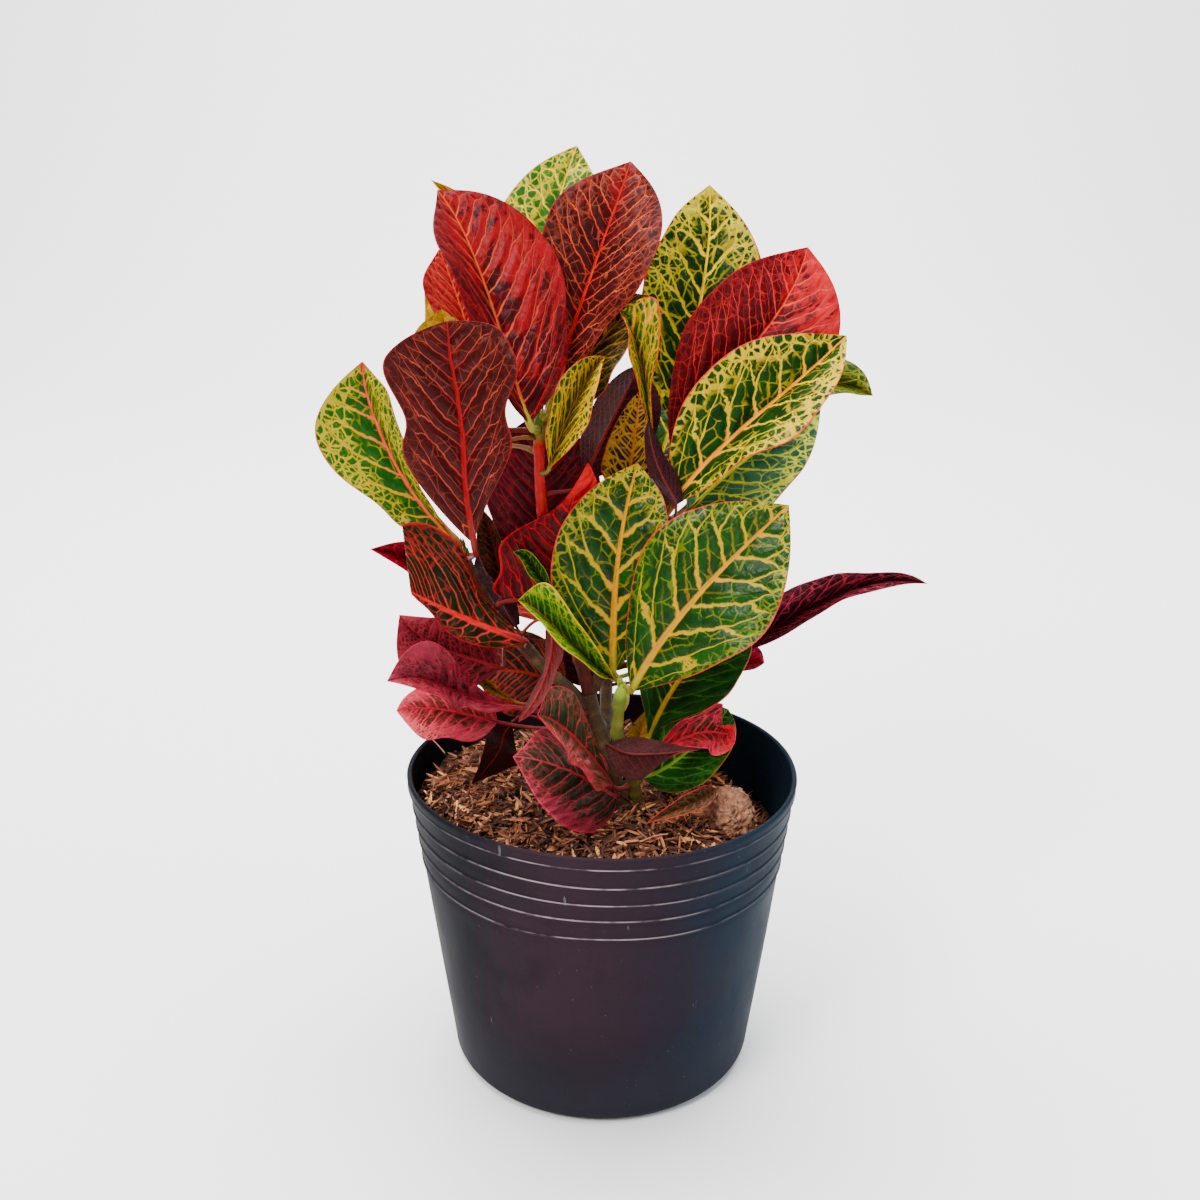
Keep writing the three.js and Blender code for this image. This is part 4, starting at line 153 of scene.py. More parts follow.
     [[22.6, -0.7, 329], [21.3, -0.6, 335.8], [19.9, -0.2, 343.8], [18.9, 0.4, 353.3], [17.3, 1.6, 362.5], [15.1, 3.6, 371.5], [12.5, 5.6, 379.6], [9.6, 7.6, 386.3], [5.3, 9.5, 392]],
     [[22.1, -1.2, 329.6], [20.4, -4.4, 338.5], [17.7, -8.4, 348.9], [14.2, -11.4, 360.2], [11.8, -12.4, 369.1], [10.6, -10.4, 377], [9.9, -5.4, 383.1], [8.1, 1.6, 388], [5.3, 9.5, 392]],
     [[23, -1.1, 329.6], [21.8, -3.4, 339.7], [21.5, -7.4, 350.1], [21.4, -10.9, 362.5], [23.2, -12.4, 373.8], [24.9, -10.4, 383.1], [24.4, -4.4, 393.5], [19.1, 3.6, 398.6], [5.3, 9.5, 392]]),
    ("L05b", "leaf_12", "greenyellow", 1, [[-34.8, 10.4, 323.5], [-43.7, 18.6, 326.6], [-53.7, 27, 318.8], [-58.6, 32.5, 328.9]],
     [[-58.6, 32.5, 328.9], [-61.4, 35.5, 334.5], [-64.1, 39.1, 341], [-67.1, 43.3, 348.6], [-70.2, 47.3, 356.6], [-74.1, 51.1, 365.3], [-79.3, 54.6, 375.1], [-85.2, 57.2, 384.7], [-91.4, 59.2, 393.7]],
     [[-59.2, 32.1, 328.8], [-68.1, 30.9, 333.9], [-76.4, 31, 340.6], [-82.4, 32.9, 348.3], [-86.3, 35.9, 355.3], [-89.1, 39.5, 362.6], [-90.7, 44.8, 371.6], [-90.7, 52.1, 382.4], [-91.4, 59.2, 393.7]],
     [[-58.1, 32.2, 329.3], [-54.9, 32.9, 338.9], [-52.1, 34.5, 348.4], [-51.8, 37.3, 357.6], [-54, 40.8, 366.4], [-58.7, 44.7, 375.3], [-67.1, 49.3, 383.7], [-78.6, 54.2, 389.8], [-91.4, 59.2, 393.7]]),
    ("L09", "leaf_13", "greenyellow", 1, [[-30.3, 5.2, 313.9], [-28.7, 2.6, 314.6], [-27.7, -1.7, 315.3], [-26.8, -0.8, 318.2]],
     [[-26.8, -0.8, 318.2], [-25.1, 0.7, 323.5], [-22.7, 2.3, 330.4], [-19.4, 3.8, 338.8], [-15.6, 5.1, 347.2], [-11.5, 6, 355.1], [-7.2, 6.6, 362.1], [-3.5, 6.9, 367.1], [-0.5, 6.9, 370.2]],
     [[-27, -1.6, 318.5], [-27.6, -5.9, 326], [-27.9, -10.9, 335], [-26.6, -13.2, 344.7], [-24.5, -14.7, 354.1], [-21.1, -14, 362.5], [-15.7, -10, 369], [-8.6, -2.6, 371.6], [-0.5, 6.9, 370.2]],
     [[-26.4, -1.6, 318.3], [-21.6, -6.2, 324.1], [-15.9, -12.3, 330.8], [-10.9, -16.9, 338.6], [-7.7, -18, 346.4], [-5.3, -16.9, 354], [-3.7, -12.5, 361.1], [-2.4, -4.3, 366.5], [-0.5, 6.9, 370.2]]),
    ("L07", "leaf_14", "maroon", 1, [[-67, 0.4, 272.3], [-59.4, -10.3, 279.4], [-60.1, -35.7, 281.3], [-61, -34, 291.3]],
     [[-61, -34, 291.3], [-62.1, -32.5, 300.1], [-64.2, -30.7, 315.5], [-65, -28.5, 336.4], [-66.1, -27.3, 347.1], [-68.2, -25.3, 362.4], [-70.4, -23.8, 374.9], [-71.1, -22.9, 383.9], [-71.5, -22.6, 390.5]],
     [[-62.6, -34, 291.3], [-69.7, -34, 298.6], [-85.4, -34, 318.4], [-92.4, -32.4, 335.9], [-91.1, -30.2, 348.4], [-99.9, -29.1, 367.5], [-95.3, -27.4, 379.3], [-84.8, -25.4, 385.9], [-71.9, -22.6, 390.5]],
     [[-60.3, -34, 291.8], [-56.9, -35.5, 304.1], [-46.9, -38.4, 324.2], [-41.9, -38, 339.4], [-45.2, -35.9, 353.1], [-39.1, -34.8, 368.3], [-42.1, -31.8, 380.3], [-51.5, -27.8, 389.8], [-70.6, -22.6, 390.7]]),
    ("L17", "leaf_15", "greenyellow", 1, [[34, 24.2, 306.4], [37.5, 32, 307.7], [36.2, 42.7, 306.8], [43.3, 44.4, 311.4]],
     [[43.3, 44.4, 311.4], [52.4, 46.5, 317.3], [63, 49.1, 324.8], [75.4, 52.2, 333.6], [87.9, 55.5, 341], [101, 58.8, 346.2], [114.9, 62.4, 347.8], [127.7, 65.7, 345.6], [139.1, 68.5, 340.6]],
     [[43.1, 43.8, 312.1], [49.6, 41.7, 323.1], [57.1, 39.4, 336.4], [68.1, 39.2, 349.5], [82.2, 41, 359.6], [99.7, 44.7, 364.8], [118.5, 50.2, 362.3], [132.2, 57.4, 353.2], [139.1, 68.5, 340.6]],
     [[43.5, 43.5, 311.5], [53.6, 38.6, 318.3], [65.5, 33.1, 327], [78.9, 30.8, 336.5], [92.5, 31.9, 344], [106.5, 35.9, 347.9], [119.7, 43.4, 346.9], [130, 53.7, 343.5], [139.1, 68.5, 340.6]]),
    ("L16", "leaf_16", "greenyellow", 1, [[27.4, 16.2, 283], [27.9, 8.3, 285.4], [26.3, -0.4, 290.4], [31.1, 0, 297.3]],
     [[31.1, 0, 297.3], [37.9, 0.6, 307.1], [46.7, 1.6, 317.9], [57.8, 3, 329.4], [69.5, 4.8, 340.2], [81.7, 6.9, 350.6], [94.2, 9.2, 361.4], [105, 11.5, 371.1], [114, 13.5, 379.8]],
     [[30.1, 0, 297.8], [30, 1, 313], [31.4, 2.6, 331.5], [37.6, 4.7, 350.1], [48.3, 6.8, 364], [61.4, 8.9, 374.2], [77.8, 10.9, 379.8], [95.6, 12.4, 380.9], [114, 13.5, 379.8]],
     [[31.3, -1, 297.2], [40.1, -8.5, 306.1], [51.4, -16.4, 315.7], [64.2, -20.2, 326.1], [78.7, -25.5, 335.2], [91.8, -23, 345.1], [103.3, -14.6, 356.5], [110.8, -2.3, 368.2], [114, 13.5, 379.8]]),
    ("L11", "leaf_17", "maroon", -1, [[-28, 8.7, 302.6], [-20.9, 8.2, 304.8], [-12.8, 5.1, 303.6], [-9.9, 7.4, 310]],
     [[-9.9, 7.4, 310], [-7.5, 9.4, 315.4], [-4.4, 11.9, 321.9], [-0.7, 14.9, 329.4], [3.2, 17.9, 337], [7.1, 20.6, 344.4], [10.9, 22.9, 351.9], [14, 24.4, 358.2], [16.5, 25.3, 363.4]],
     [[-10.3, 8.1, 310], [-11.7, 16, 314.8], [-12.8, 25.1, 320.7], [-11.8, 32.6, 328], [-8.2, 36.5, 335.8], [-4.1, 39.6, 343.8], [1.5, 39.7, 352], [8.8, 34.3, 358.7], [16.5, 25.3, 363.4]],
     [[-9.2, 7.6, 309.7], [-0.8, 11.3, 311.6], [8.8, 15.6, 314], [16.8, 19.8, 318.6], [22.4, 23.2, 325], [26.2, 26, 332.7], [27.1, 27.5, 342.4], [23.6, 27.1, 353], [16.5, 25.3, 363.4]]),
    ("B02", "leaf_18", "green", 1, [[28.3, 23.7, 294.1], [26.4, 27.8, 295.6], [22.8, 30.8, 296.6], [24, 34, 300]],
     [[24, 34, 300], [27, 41.9, 308.5], [30.6, 51.5, 317.5], [34.7, 62.9, 326.1], [38.8, 74.5, 332.5], [42.7, 86.4, 336.5], [46.5, 98.5, 338.1], [49.5, 109.1, 337.3], [52, 118, 335]],
     [[23.1, 34.1, 300.3], [17.2, 42.7, 311.4], [12.3, 53.3, 323.2], [11.4, 66, 333.9], [13.9, 78.9, 341.5], [18.8, 91.9, 345.7], [27.1, 104.2, 345.8], [38.7, 112.9, 341.6], [52, 118, 335]],
     [[24.8, 33.5, 300.1], [35.7, 36.8, 310.3], [47.1, 42.3, 321.1], [56.3, 51.8, 331.3], [62.5, 63.7, 338.8], [66.3, 77.2, 343.1], [66.4, 92.4, 343.7], [61.1, 106.3, 340.4], [52, 118, 335]]),
    ("L12", "leaf_19", "purple", 1, [[26, 17.9, 289.1], [20, 12.5, 293], [10.7, 1.7, 292.4], [11.1, 4.1, 301]],
     [[11.1, 4.1, 301], [11.3, 5.7, 306.6], [11.8, 7.6, 313.3], [12.7, 9.9, 321.1], [13.8, 12.1, 329], [14.9, 14.4, 337.2], [15.7, 16.5, 344.1], [16.2, 18, 348.4], [16.5, 19.1, 351.1]],
     [[10.1, 4.1, 301], [3, 4.7, 307], [-1.9, 5.8, 313.8], [-1.4, 7.7, 320.8], [0.7, 10.1, 327.8], [4.9, 12.9, 337.2], [9.7, 15.7, 344.7], [13.2, 17.6, 348.9], [16, 19.1, 351.1]],
     [[12.6, 4.1, 301], [17.2, 4.7, 306.9], [20.8, 5.8, 313.8], [21.7, 7.7, 321.8], [22, 10.1, 329.5], [21.4, 12.9, 336.9], [20.2, 15.7, 343.4], [18.6, 17.6, 347.9], [17, 19.1, 351.1]]),
    ("L08", "leaf_20", "greenyellow", 1, [[-70, 0.3, 274.3], [-70.9, -3.4, 275.6], [-70, -4.9, 281.6], [-73, -3.3, 283.7]],
     [[-73, -3.3, 283.7], [-79.1, -0.1, 288.2], [-86.5, 3.6, 295.3], [-95, 7.7, 305.8], [-102.7, 11.5, 318], [-109.3, 14.9, 331.1], [-114.3, 17.9, 344.5], [-117, 20, 355.7], [-117.8, 21.5, 364.6]],
     [[-73.5, -3.7, 283.2], [-83.7, -3, 284.4], [-97.5, -2.6, 288], [-109.4, 0.3, 298], [-123.9, 1.5, 308.7], [-135.8, 3.4, 322.2], [-139.1, 8.1, 339], [-129.6, 15.5, 354.5], [-117.8, 21.5, 364.6]],
     [[-73.1, -4.1, 284.2], [-78.9, -5.4, 291.6], [-84.3, -8.6, 302.8], [-89.9, -8.9, 315.2], [-94.2, -9, 328.6], [-97.7, -7.6, 341.6], [-102.1, -1.9, 352.3], [-109.6, 9.6, 358.8], [-117.8, 21.5, 364.6]]),
    ("L18", "leaf_21", "greenyellow", 1, [[31.1, 17.4, 287.8], [34.9, 13.4, 288.5], [37.2, 6.6, 290.2], [40.8, 8.5, 293.9]],
     [[40.8, 8.5, 293.9], [46.3, 11.2, 299.3], [53, 14.5, 305.1], [61, 18.3, 311.2], [69.4, 21.9, 317.1], [78.6, 25.4, 323.5], [88.7, 28.6, 330.9], [98.2, 31.1, 338.5], [106.9, 32.8, 346]],
     [[40.2, 8.3, 294.5], [39.3, 9.2, 307.9], [41.4, 11.1, 321.5], [47.4, 14.1, 332.7], [55.3, 17.4, 340.3], [64.5, 20.9, 345.7], [76.3, 24.7, 348.5], [90.8, 28.8, 348], [106.9, 32.8, 346]],
     [[41.5, 7.9, 293.5], [53.9, 4.3, 294.9], [66.4, 1.6, 296.3], [78.1, 0.7, 298.6], [85.6, 4.3, 304.1], [93.1, 8.7, 311.4], [100, 14.8, 321.2], [104.5, 23.2, 333.2], [106.9, 32.8, 346]]),
    ("L19", "leaf_22", "purple", -1, [[25.4, 15.7, 273.6], [28.3, 7.5, 275.3], [34.9, -16.3, 297.2], [33.6, -10.5, 304.1]],
     [[33.6, -10.5, 304.1], [33.5, -9.9, 304.8], [32.4, -9.3, 306.7], [30.2, -8.9, 310.3], [27.4, -8.7, 315.4], [24.6, -8.7, 321.8], [22.1, -8.8, 329.3], [20.6, -9, 336.6], [19.9, -9.2, 343.1]],
     [[33.4, -10.4, 303.9], [32, -6.7, 302.4], [29.3, -3.4, 303.7], [26.1, -1.6, 307.5], [22.6, -0.3, 312.9], [19.9, -0.7, 320], [18.5, -2.5, 328.5], [18.5, -5.2, 336.4], [19.9, -9.2, 343.1]],
     [[33.8, -10.5, 303.8], [36.5, -6.9, 304.7], [36.8, -3.3, 308.2], [35.6, -0.6, 312.8], [32.6, -0.4, 317.8], [29.1, -1.2, 323.6], [25.7, -2.9, 330.4], [22.7, -5.5, 337], [19.9, -9.2, 343.1]]),
    ("B09", "leaf_23", "greenyellow", 1, [[30.2, 23.1, 284.9], [35.4, 29.8, 285.4], [38.8, 34.3, 286.5], [44, 40, 290]],
     [[44, 40, 290], [50.5, 47.2, 294.4], [58.2, 55.8, 298.5], [66.8, 65.7, 301.7], [75, 75.5, 303], [82.7, 85, 302.5], [89.9, 94.3, 300], [95.6, 101.9, 296.3], [100, 108, 292]],
     [[43.4, 40.3, 290.4], [43.8, 51, 298.5], [46, 63.3, 306.4], [51.7, 76.2, 312.1], [59.5, 87.8, 314.5], [68.6, 98.1, 313.8], [79.2, 106, 309.2], [90, 109.1, 301.4], [100, 108, 292]],
     [[44.6, 39.4, 290.1], [56.8, 41.2, 295.2], [70.1, 44.7, 300.1], [82.5, 51.8, 303.8], [92.5, 61, 305.3], [100.3, 71.4, 304.5], [104.8, 83.5, 301.3], [104.2, 95.9, 296.7], [100, 108, 292]]),
    ("L20", "leaf_24", "maroon", 1, [[-25.7, 14.6, 260.2], [-26.7, 17.2, 260.7], [-28.1, 18.2, 262.6], [-28.5, 19.4, 265.2]],
     [[-28.5, 19.4, 265.2], [-29.2, 21.2, 269.1], [-29.8, 23.4, 275.5], [-30.4, 26.1, 284.8], [-30.8, 28.8, 295.5], [-31.1, 31.6, 307.2], [-31.3, 34.5, 319.3], [-31.4, 37, 329.6], [-31.4, 39.1, 337.9]],
     [[-29.6, 19.2, 265], [-41.3, 18.9, 268.4], [-51.9, 19.5, 275], [-56.2, 21.7, 284.7], [-60.1, 23.9, 295.8], [-59.8, 26.9, 307.8], [-54.6, 30.6, 319.9], [-44.7, 34.8, 330], [-31.4, 39.1, 337.9]],
     [[-27.6, 19.2, 265.4], [-18.6, 19.3, 271.2], [-10.4, 19.7, 278.2], [-6.8, 21.4, 287.2], [-2.8, 23.1, 297.8], [-3.4, 26, 309.1], [-8.6, 29.9, 320.6], [-18.5, 34.4, 330.3], [-31.4, 39.1, 337.9]]),
    ("L21", "leaf_25", "maroon", 1, [[-53.1, 1, 247.2], [-51.4, 1.4, 248.7], [-49.7, 2.1, 249], [-47.4, 1.7, 249.4]],
     [[-47.4, 1.7, 249.4], [-39.5, 0.4, 250.6], [-31.4, -0.7, 254.6], [-24.5, -1.5, 264.6], [-20.9, -2.3, 276.3], [-18.9, -1.5, 287.5], [-16, -0, 300.7], [-12.5, 1.8, 311.5], [-8.4, 3.7, 319.4]],
     [[-49, 2.7, 250.1], [-54.7, 4.1, 252.8], [-54.9, 5.2, 257.3], [-51.5, 5.7, 264.9], [-52.6, 4.7, 275.5], [-43.9, 3.9, 285.3], [-29.6, 2.9, 293.4], [-17.6, 2.9, 304.2], [-8.9, 3.7, 319.4]],
     [[-45.9, 1.7, 248.9], [-32.2, 2.9, 243.8], [-17.8, 4.4, 244.6], [-6.1, 5.9, 255.2], [-2.3, 6.7, 269.5], [-1.5, 5.9, 287.4], [-2, 4.1, 300.1], [-4, 3.7, 310.4], [-7.9, 3.7, 319.4]]),
    ("L22", "leaf_26", "green", 1, [[9.3, -23.9, 203.9], [15.4, -14.7, 208.9], [4.7, -9, 214.2], [4.6, -14.3, 218.2]],
     [[4.6, -14.3, 218.2], [4.4, -12.9, 229.6], [4.5, -11.2, 242.6], [5, -9.1, 257.2], [6.1, -6.9, 271.2], [7.8, -4.5, 284.9], [10.2, -1.9, 298.5], [12.9, 0.4, 310.1], [15.5, 2.5, 319.9]],
     [[3.6, -14.5, 218.2], [-6.4, -14.9, 229.7], [-16.5, -14.9, 243.5], [-24.9, -14.1, 259.6], [-25.8, -11.8, 275.2], [-21.5, -8.7, 290.1], [-11.9, -4.9, 303.6], [0.6, -1.2, 313.5], [15.5, 2.5, 319.9]],
     [[5.5, -14.6, 218.3], [14.6, -16.3, 230], [23.5, -17.7, 243.1], [29.5, -17.6, 257.1], [32.4, -16.3, 270.2], [32.7, -13.7, 282.9], [30.1, -9.5, 295.9], [26.1, -4.7, 307.9], [15.5, 2.5, 319.9]]),
    ("L42a", "leaf_27", "maroon", 1, [[-54.4, 3.4, 246.3], [-52.3, 7.6, 248], [-50.2, 12.4, 248.9], [-51.2, 13.8, 253.7]],
     [[-51.2, 13.8, 253.7], [-51.7, 14.6, 256.4], [-52.5, 15.4, 260.2], [-53.7, 16, 265.2], [-55.1, 16.6, 270.6], [-56.5, 17.2, 276.3], [-58.1, 18, 282.1], [-59.4, 18.9, 286.9], [-60.6, 19.9, 290.8]],
     [[-51.4, 13.5, 253.7], [-54.4, 11.5, 256.6], [-57.6, 9.1, 260], [-60.3, 7.7, 264.5], [-62, 7.6, 269.7], [-63.2, 8.5, 275.6], [-63.7, 10.8, 281.7], [-63, 14.5, 286.9], [-60.6, 19.9, 290.8]],
     [[-51, 13.5, 253.8], [-49.6, 11.3, 257.6], [-48.4, 8.7, 262.2], [-48.3, 7.1, 267.5], [-49.2, 6.8, 273.1], [-51, 7.6, 278.9], [-53.7, 10, 284.6], [-57, 14.3, 288.7], [-60.6, 19.9, 290.8]]),
    ("B03", "leaf_28", "purple", 1, [[1.2, 48.1, 253.4], [-1.7, 52.8, 254.2], [-5.2, 55.3, 255.2], [-6, 60, 258]],
     [[-6, 60, 258], [-7.3, 67.3, 262.3], [-8.9, 76.1, 266.2], [-11.1, 86.5, 269.1], [-13.5, 97, 270], [-16.1, 107.5, 269.1], [-19, 117.9, 266.2], [-21.7, 126.7, 262.3], [-24, 134, 258]],
     [[-6.9, 59.7, 258.2], [-17.2, 64.3, 264.4], [-27.7, 70.9, 270.4], [-35.4, 80.2, 274.6], [-39.9, 90.7, 275.9], [-42.1, 101.7, 274.6], [-40.5, 113.2, 270.4], [-33.9, 124, 264.5], [-24, 134, 258]],
     [[-5, 60, 258.2], [3, 67.7, 265.1], [10.1, 77.8, 271.8], [13.1, 90.4, 276.6], [12.3, 103.2, 278.4], [8.5, 115.5, 277.4], [0.7, 126.1, 273], [-10.7, 132.1, 266.1], [-24, 134, 258]]),
    ("L26", "leaf_29", "pinkred", 1, [[-58.9, 1.6, 244.2], [-62.3, 2.8, 243.3], [-64.1, 5.4, 246.8], [-67.1, 4.4, 248.8]],
     [[-67.1, 4.4, 248.8], [-71.5, 2.8, 251.9], [-76.4, 0.9, 256], [-81.8, -1.5, 260.9], [-87.2, -4.1, 266], [-93, -6.9, 270.9], [-99.4, -10.1, 275.4], [-105.8, -13.1, 278.9], [-111.9, -15.8, 281.4]],
     [[-66.9, 3.8, 248.7], [-70.3, -3.3, 250.5], [-74.1, -10.9, 253], [-78.5, -16.8, 256.9], [-83, -20.7, 261.6], [-88.1, -23, 267], [-94.7, -23.3, 272.9], [-102.9, -20.6, 277.9], [-111.9, -15.8, 281.4]],
     [[-66.7, 4.1, 249.2], [-67.4, -0, 256], [-67.9, -4.7, 263], [-70.3, -8.8, 269.6], [-74.7, -12, 275.5], [-81.2, -14.7, 280.9], [-90.7, -16.5, 284.6], [-101.4, -16.8, 284.6], [-111.9, -15.8, 281.4]]),
    ("L24", "leaf_30", "green", 1, [[-17.1, 5.6, 236.2], [-16.4, 0.8, 238.3], [-12.3, -7, 239.7], [-15.9, -6.2, 243.5]],
     [[-15.9, -6.2, 243.5], [-20.8, -5.1, 248.6], [-25.5, -4.2, 254.4], [-29.9, -3.5, 260.5], [-33.4, -3.2, 265.9], [-36.4, -3.2, 270.3], [-39.4, -3.3, 273.7], [-42.1, -3.4, 275.7], [-44.7, -3.6, 276.6]],
     [[-16, -6.7, 243.6], [-21.2, -9.1, 249], [-26.3, -12.5, 255], [-30.7, -14.9, 260.9], [-34, -15.8, 265.9], [-36.6, -15.8, 270], [-38.9, -14.1, 273.5], [-41.7, -9.8, 275.8], [-44.7, -3.6, 276.6]],
     [[-15.9, -6.6, 243.7], [-19.8, -8.7, 250.2], [-23.1, -11.6, 257.2], [-26.2, -13, 263.7], [-28.4, -14.4, 269.4], [-30.9, -14.4, 274.3], [-34.7, -12.4, 278.2], [-40.1, -8.4, 279.1], [-44.7, -3.6, 276.6]]),
    ("B05", "leaf_31", "green", 1, [[19.4, 19.1, 249.5], [27.3, 23.5, 248.4], [33.7, 24.9, 250.8], [40, 30, 255]],
     [[40, 30, 255], [45.4, 34.5, 259], [51.7, 39.9, 262.5], [58.9, 46.2, 264.8], [65.9, 52.4, 265.4], [72.5, 58.5, 264.2], [78.9, 64.6, 261.4], [84, 69.8, 257.8], [88, 74, 254]],
     [[39.4, 30.4, 255.3], [39.3, 39.2, 262.2], [40.9, 49.3, 268.7], [45.8, 59.1, 273.2], [52.8, 67.3, 274.5], [60.7, 74, 272.9], [69.7, 78, 268.3], [79, 77.6, 261.5], [88, 74, 254]],
     [[40.4, 29.4, 255.1], [50, 27.7, 260.7], [60.8, 27.6, 265.8], [71.4, 30.9, 269.4], [80.3, 36.8, 270.4], [87.6, 44.1, 269], [92, 53.5, 265.1], [91.8, 63.8, 259.8], [88, 74, 254]]),
    ("L23", "leaf_32", "green", 1, [[10.7, -27, 214.7], [12.2, -25.6, 215.4], [12.8, -22.5, 210.3], [13.7, -22.7, 212.2]],
     [[13.7, -22.7, 212.2], [19.2, -24.3, 223.8], [26.3, -25.5, 236.7], [35.3, -26.1, 250.5], [45, -25.9, 263.3], [55.4, -25.3, 275.5], [66.6, -24.4, 287.4], [76.8, -23.6, 297.7], [85.7, -23, 306.5]],
     [[12.9, -22.3, 212.6], [10.9, -19.8, 228.6], [11.2, -17.4, 246.3], [13.3, -14.5, 266.1], [19.4, -12.6, 283.6], [31.5, -13, 296.2], [48.5, -15.2, 304.2], [67.1, -18.7, 307.1], [85.7, -23, 306.5]],
     [[14.5, -23.4, 211.8], [27.7, -31.7, 218.7], [41.6, -39, 226.6], [55.5, -44.2, 235.9], [68.2, -47.1, 245.1], [77.4, -45.6, 257], [83.8, -40.3, 272], [86.3, -32.3, 288.9], [85.7, -23, 306.5]]),
    ("L25", "leaf_33", "pinkred", 1, [[-38.8, -5.3, 228.4], [-38.4, -8.7, 230.3], [-36.1, -12.2, 232.8], [-39.3, -13.5, 234.5]],
     [[-39.3, -13.5, 234.5], [-49.1, -17.4, 239.5], [-58.9, -21.5, 244.8], [-67, -25.1, 249.8], [-73.5, -28.3, 254.2], [-80.1, -31.8, 258.9], [-85.3, -34.8, 263], [-88.4, -36.8, 265.7], [-90.3, -38.2, 267.5]],
     [[-38.9, -13.5, 232.4], [-47.3, -20.1, 233.2], [-56.6, -26.2, 235.4], [-66.4, -30.4, 239.8], [-74.6, -33.2, 246.4], [-80.9, -35.7, 254.7], [-85.4, -37.5, 261.3], [-88.2, -38.6, 264.7], [-89.7, -39.2, 266.4]],
     [[-40.8, -13.5, 238.2], [-48.2, -10, 243], [-55.9, -7.7, 250.9], [-62.4, -8, 263.9], [-68.5, -9.5, 278.2], [-77.6, -12.4, 289.5], [-86.1, -16.3, 294.8], [-91.6, -19.9, 295.8], [-95.3, -23.4, 296.1]]),
    ("L42b", "leaf_34", "purple", -1, [[-39.9, 1.7, 226.9], [-41.1, 7.6, 227.6], [-42.1, 16.3, 225.5], [-45.1, 16.3, 230.7]],
     [[-45.1, 16.3, 230.7], [-47, 16.3, 234.2], [-49.3, 16.3, 238.7], [-52, 16.3, 244.3], [-54.7, 16.3, 250.6], [-57.3, 16.3, 257], [-59.8, 16.3, 262.8], [-61.9, 16.3, 267.5], [-63.6, 16.3, 271.3]],
     [[-46.5, 15.3, 230], [-51.1, 16.6, 232.9], [-55.8, 17.8, 236.8], [-60, 18.3, 241.8], [-63.8, 18.3, 247.5], [-66.1, 18.3, 253.6], [-66.1, 18, 259.7], [-65.4, 17.1, 265.1], [-64.1, 16.3, 269.7]],
     [[-43.1, 17.3, 231.5], [-43.3, 17.7, 235.1], [-44, 18.1, 239.6], [-45.3, 18.3, 245.2], [-47.6, 18.3, 251.3], [-50.7, 18.3, 257.4], [-54.4, 18, 263.3], [-58.4, 17.1, 268.3], [-62, 16.3, 272.3]]),
    ("L22b", "leaf_35", "green", 1, [[7.7, -27.5, 217.7], [6.9, -23.5, 220.1], [7.4, -13.2, 211.9], [4.7, -15.7, 214.9]],
     [[4.7, -15.7, 214.9], [0.3, -19.7, 219.8], [-5.4, -23.4, 226.5], [-12.5, -26.5, 234.8], [-19.7, -28.4, 243.1], [-26.7, -29.4, 250.5], [-33, -30, 256.5], [-37.7, -30.3, 259.8], [-40.9, -30.6, 261.1]],
     [[5.2, -16.3, 214.7], [2.9, -24.6, 218.7], [-1.1, -35.6, 224.6], [-8.3, -44.2, 233.4], [-15.9, -50.3, 242.5], [-23.6, -51.9, 251], [-30.6, -48.9, 257.8], [-36.2, -41.5, 261.2], [-40.9, -30.6, 261.1]],
     [[5.3, -16.2, 214.9], [4.3, -24.2, 220.2], [2.4, -33.8, 228.5], [-3.3, -39.2, 239.1], [-9.2, -42.5, 250], [-15.4, -43.1, 260.1], [-22.1, -41.8, 268.6], [-30.3, -38.2, 272.2], [-40.9, -30.6, 261.1]]),
    ("L39", "leaf_36", "purple", 1, [[5.5, 30.1, 203], [17.4, 27.1, 207.3], [24.7, 19.9, 206.7], [37.4, 19.8, 209]],
     [[37.4, 19.8, 209], [49.3, 19.8, 211.1], [63.7, 19.4, 216.9], [80.9, 18.8, 226.5], [98.4, 18, 237.2], [116.1, 17, 247.2], [134, 15.9, 254.5], [149.5, 15, 257.1], [162.5, 14.2, 255.7]],
     [[37.4, 19.4, 209.7], [47, 15, 218.6], [57.5, 10.4, 229.1], [71.6, 6.4, 240.9], [87, 1.8, 254.4], [107.9, 2.7, 261.8], [130.5, 5.8, 264.5], [148.9, 7.6, 263.6], [162.5, 14.2, 255.7]],
     [[37.4, 19, 209], [49, 10.6, 211.7], [62.7, 2.7, 218], [79, -3.5, 228], [96.3, -2, 239], [113.7, -3, 249.6], [132.1, -1.8, 257.2], [148.9, 5.5, 258.6], [162.5, 14.2, 255.7]]),
    ("B04", "leaf_37", "scarlet", 1, [[-14.4, 10.9, 219.1], [-16.9, 18.5, 218.8], [-15.5, 26.7, 220.7], [-22, 30, 224]],
     [[-22, 30, 224], [-30.4, 34.3, 228.3], [-40.4, 39.8, 232], [-52, 46.4, 234.4], [-63.2, 53.2, 234.8], [-74.2, 60.2, 233.1], [-84.7, 67.2, 229.5], [-93.2, 73.1, 224.9], [-100, 78, 220]],
     [[-22.3, 29.3, 224.1], [-33.7, 26.8, 229.7], [-47.3, 26, 234.8], [-61.7, 29.1, 238.3], [-74.7, 35.2, 239], [-86.3, 43.1, 237.2], [-95.4, 53.6, 232.7], [-99.6, 65.6, 226.5], [-100, 78, 220]],
     [[-21.5, 30.5, 224.3], [-25.7, 40, 232.1], [-32.1, 50.8, 239.3], [-42.1, 61.1, 244.1], [-53.6, 69.8, 245.2], [-65.7, 77, 243.2], [-78.5, 81.6, 237.6], [-90.1, 81.6, 229.3], [-100, 78, 220]]),
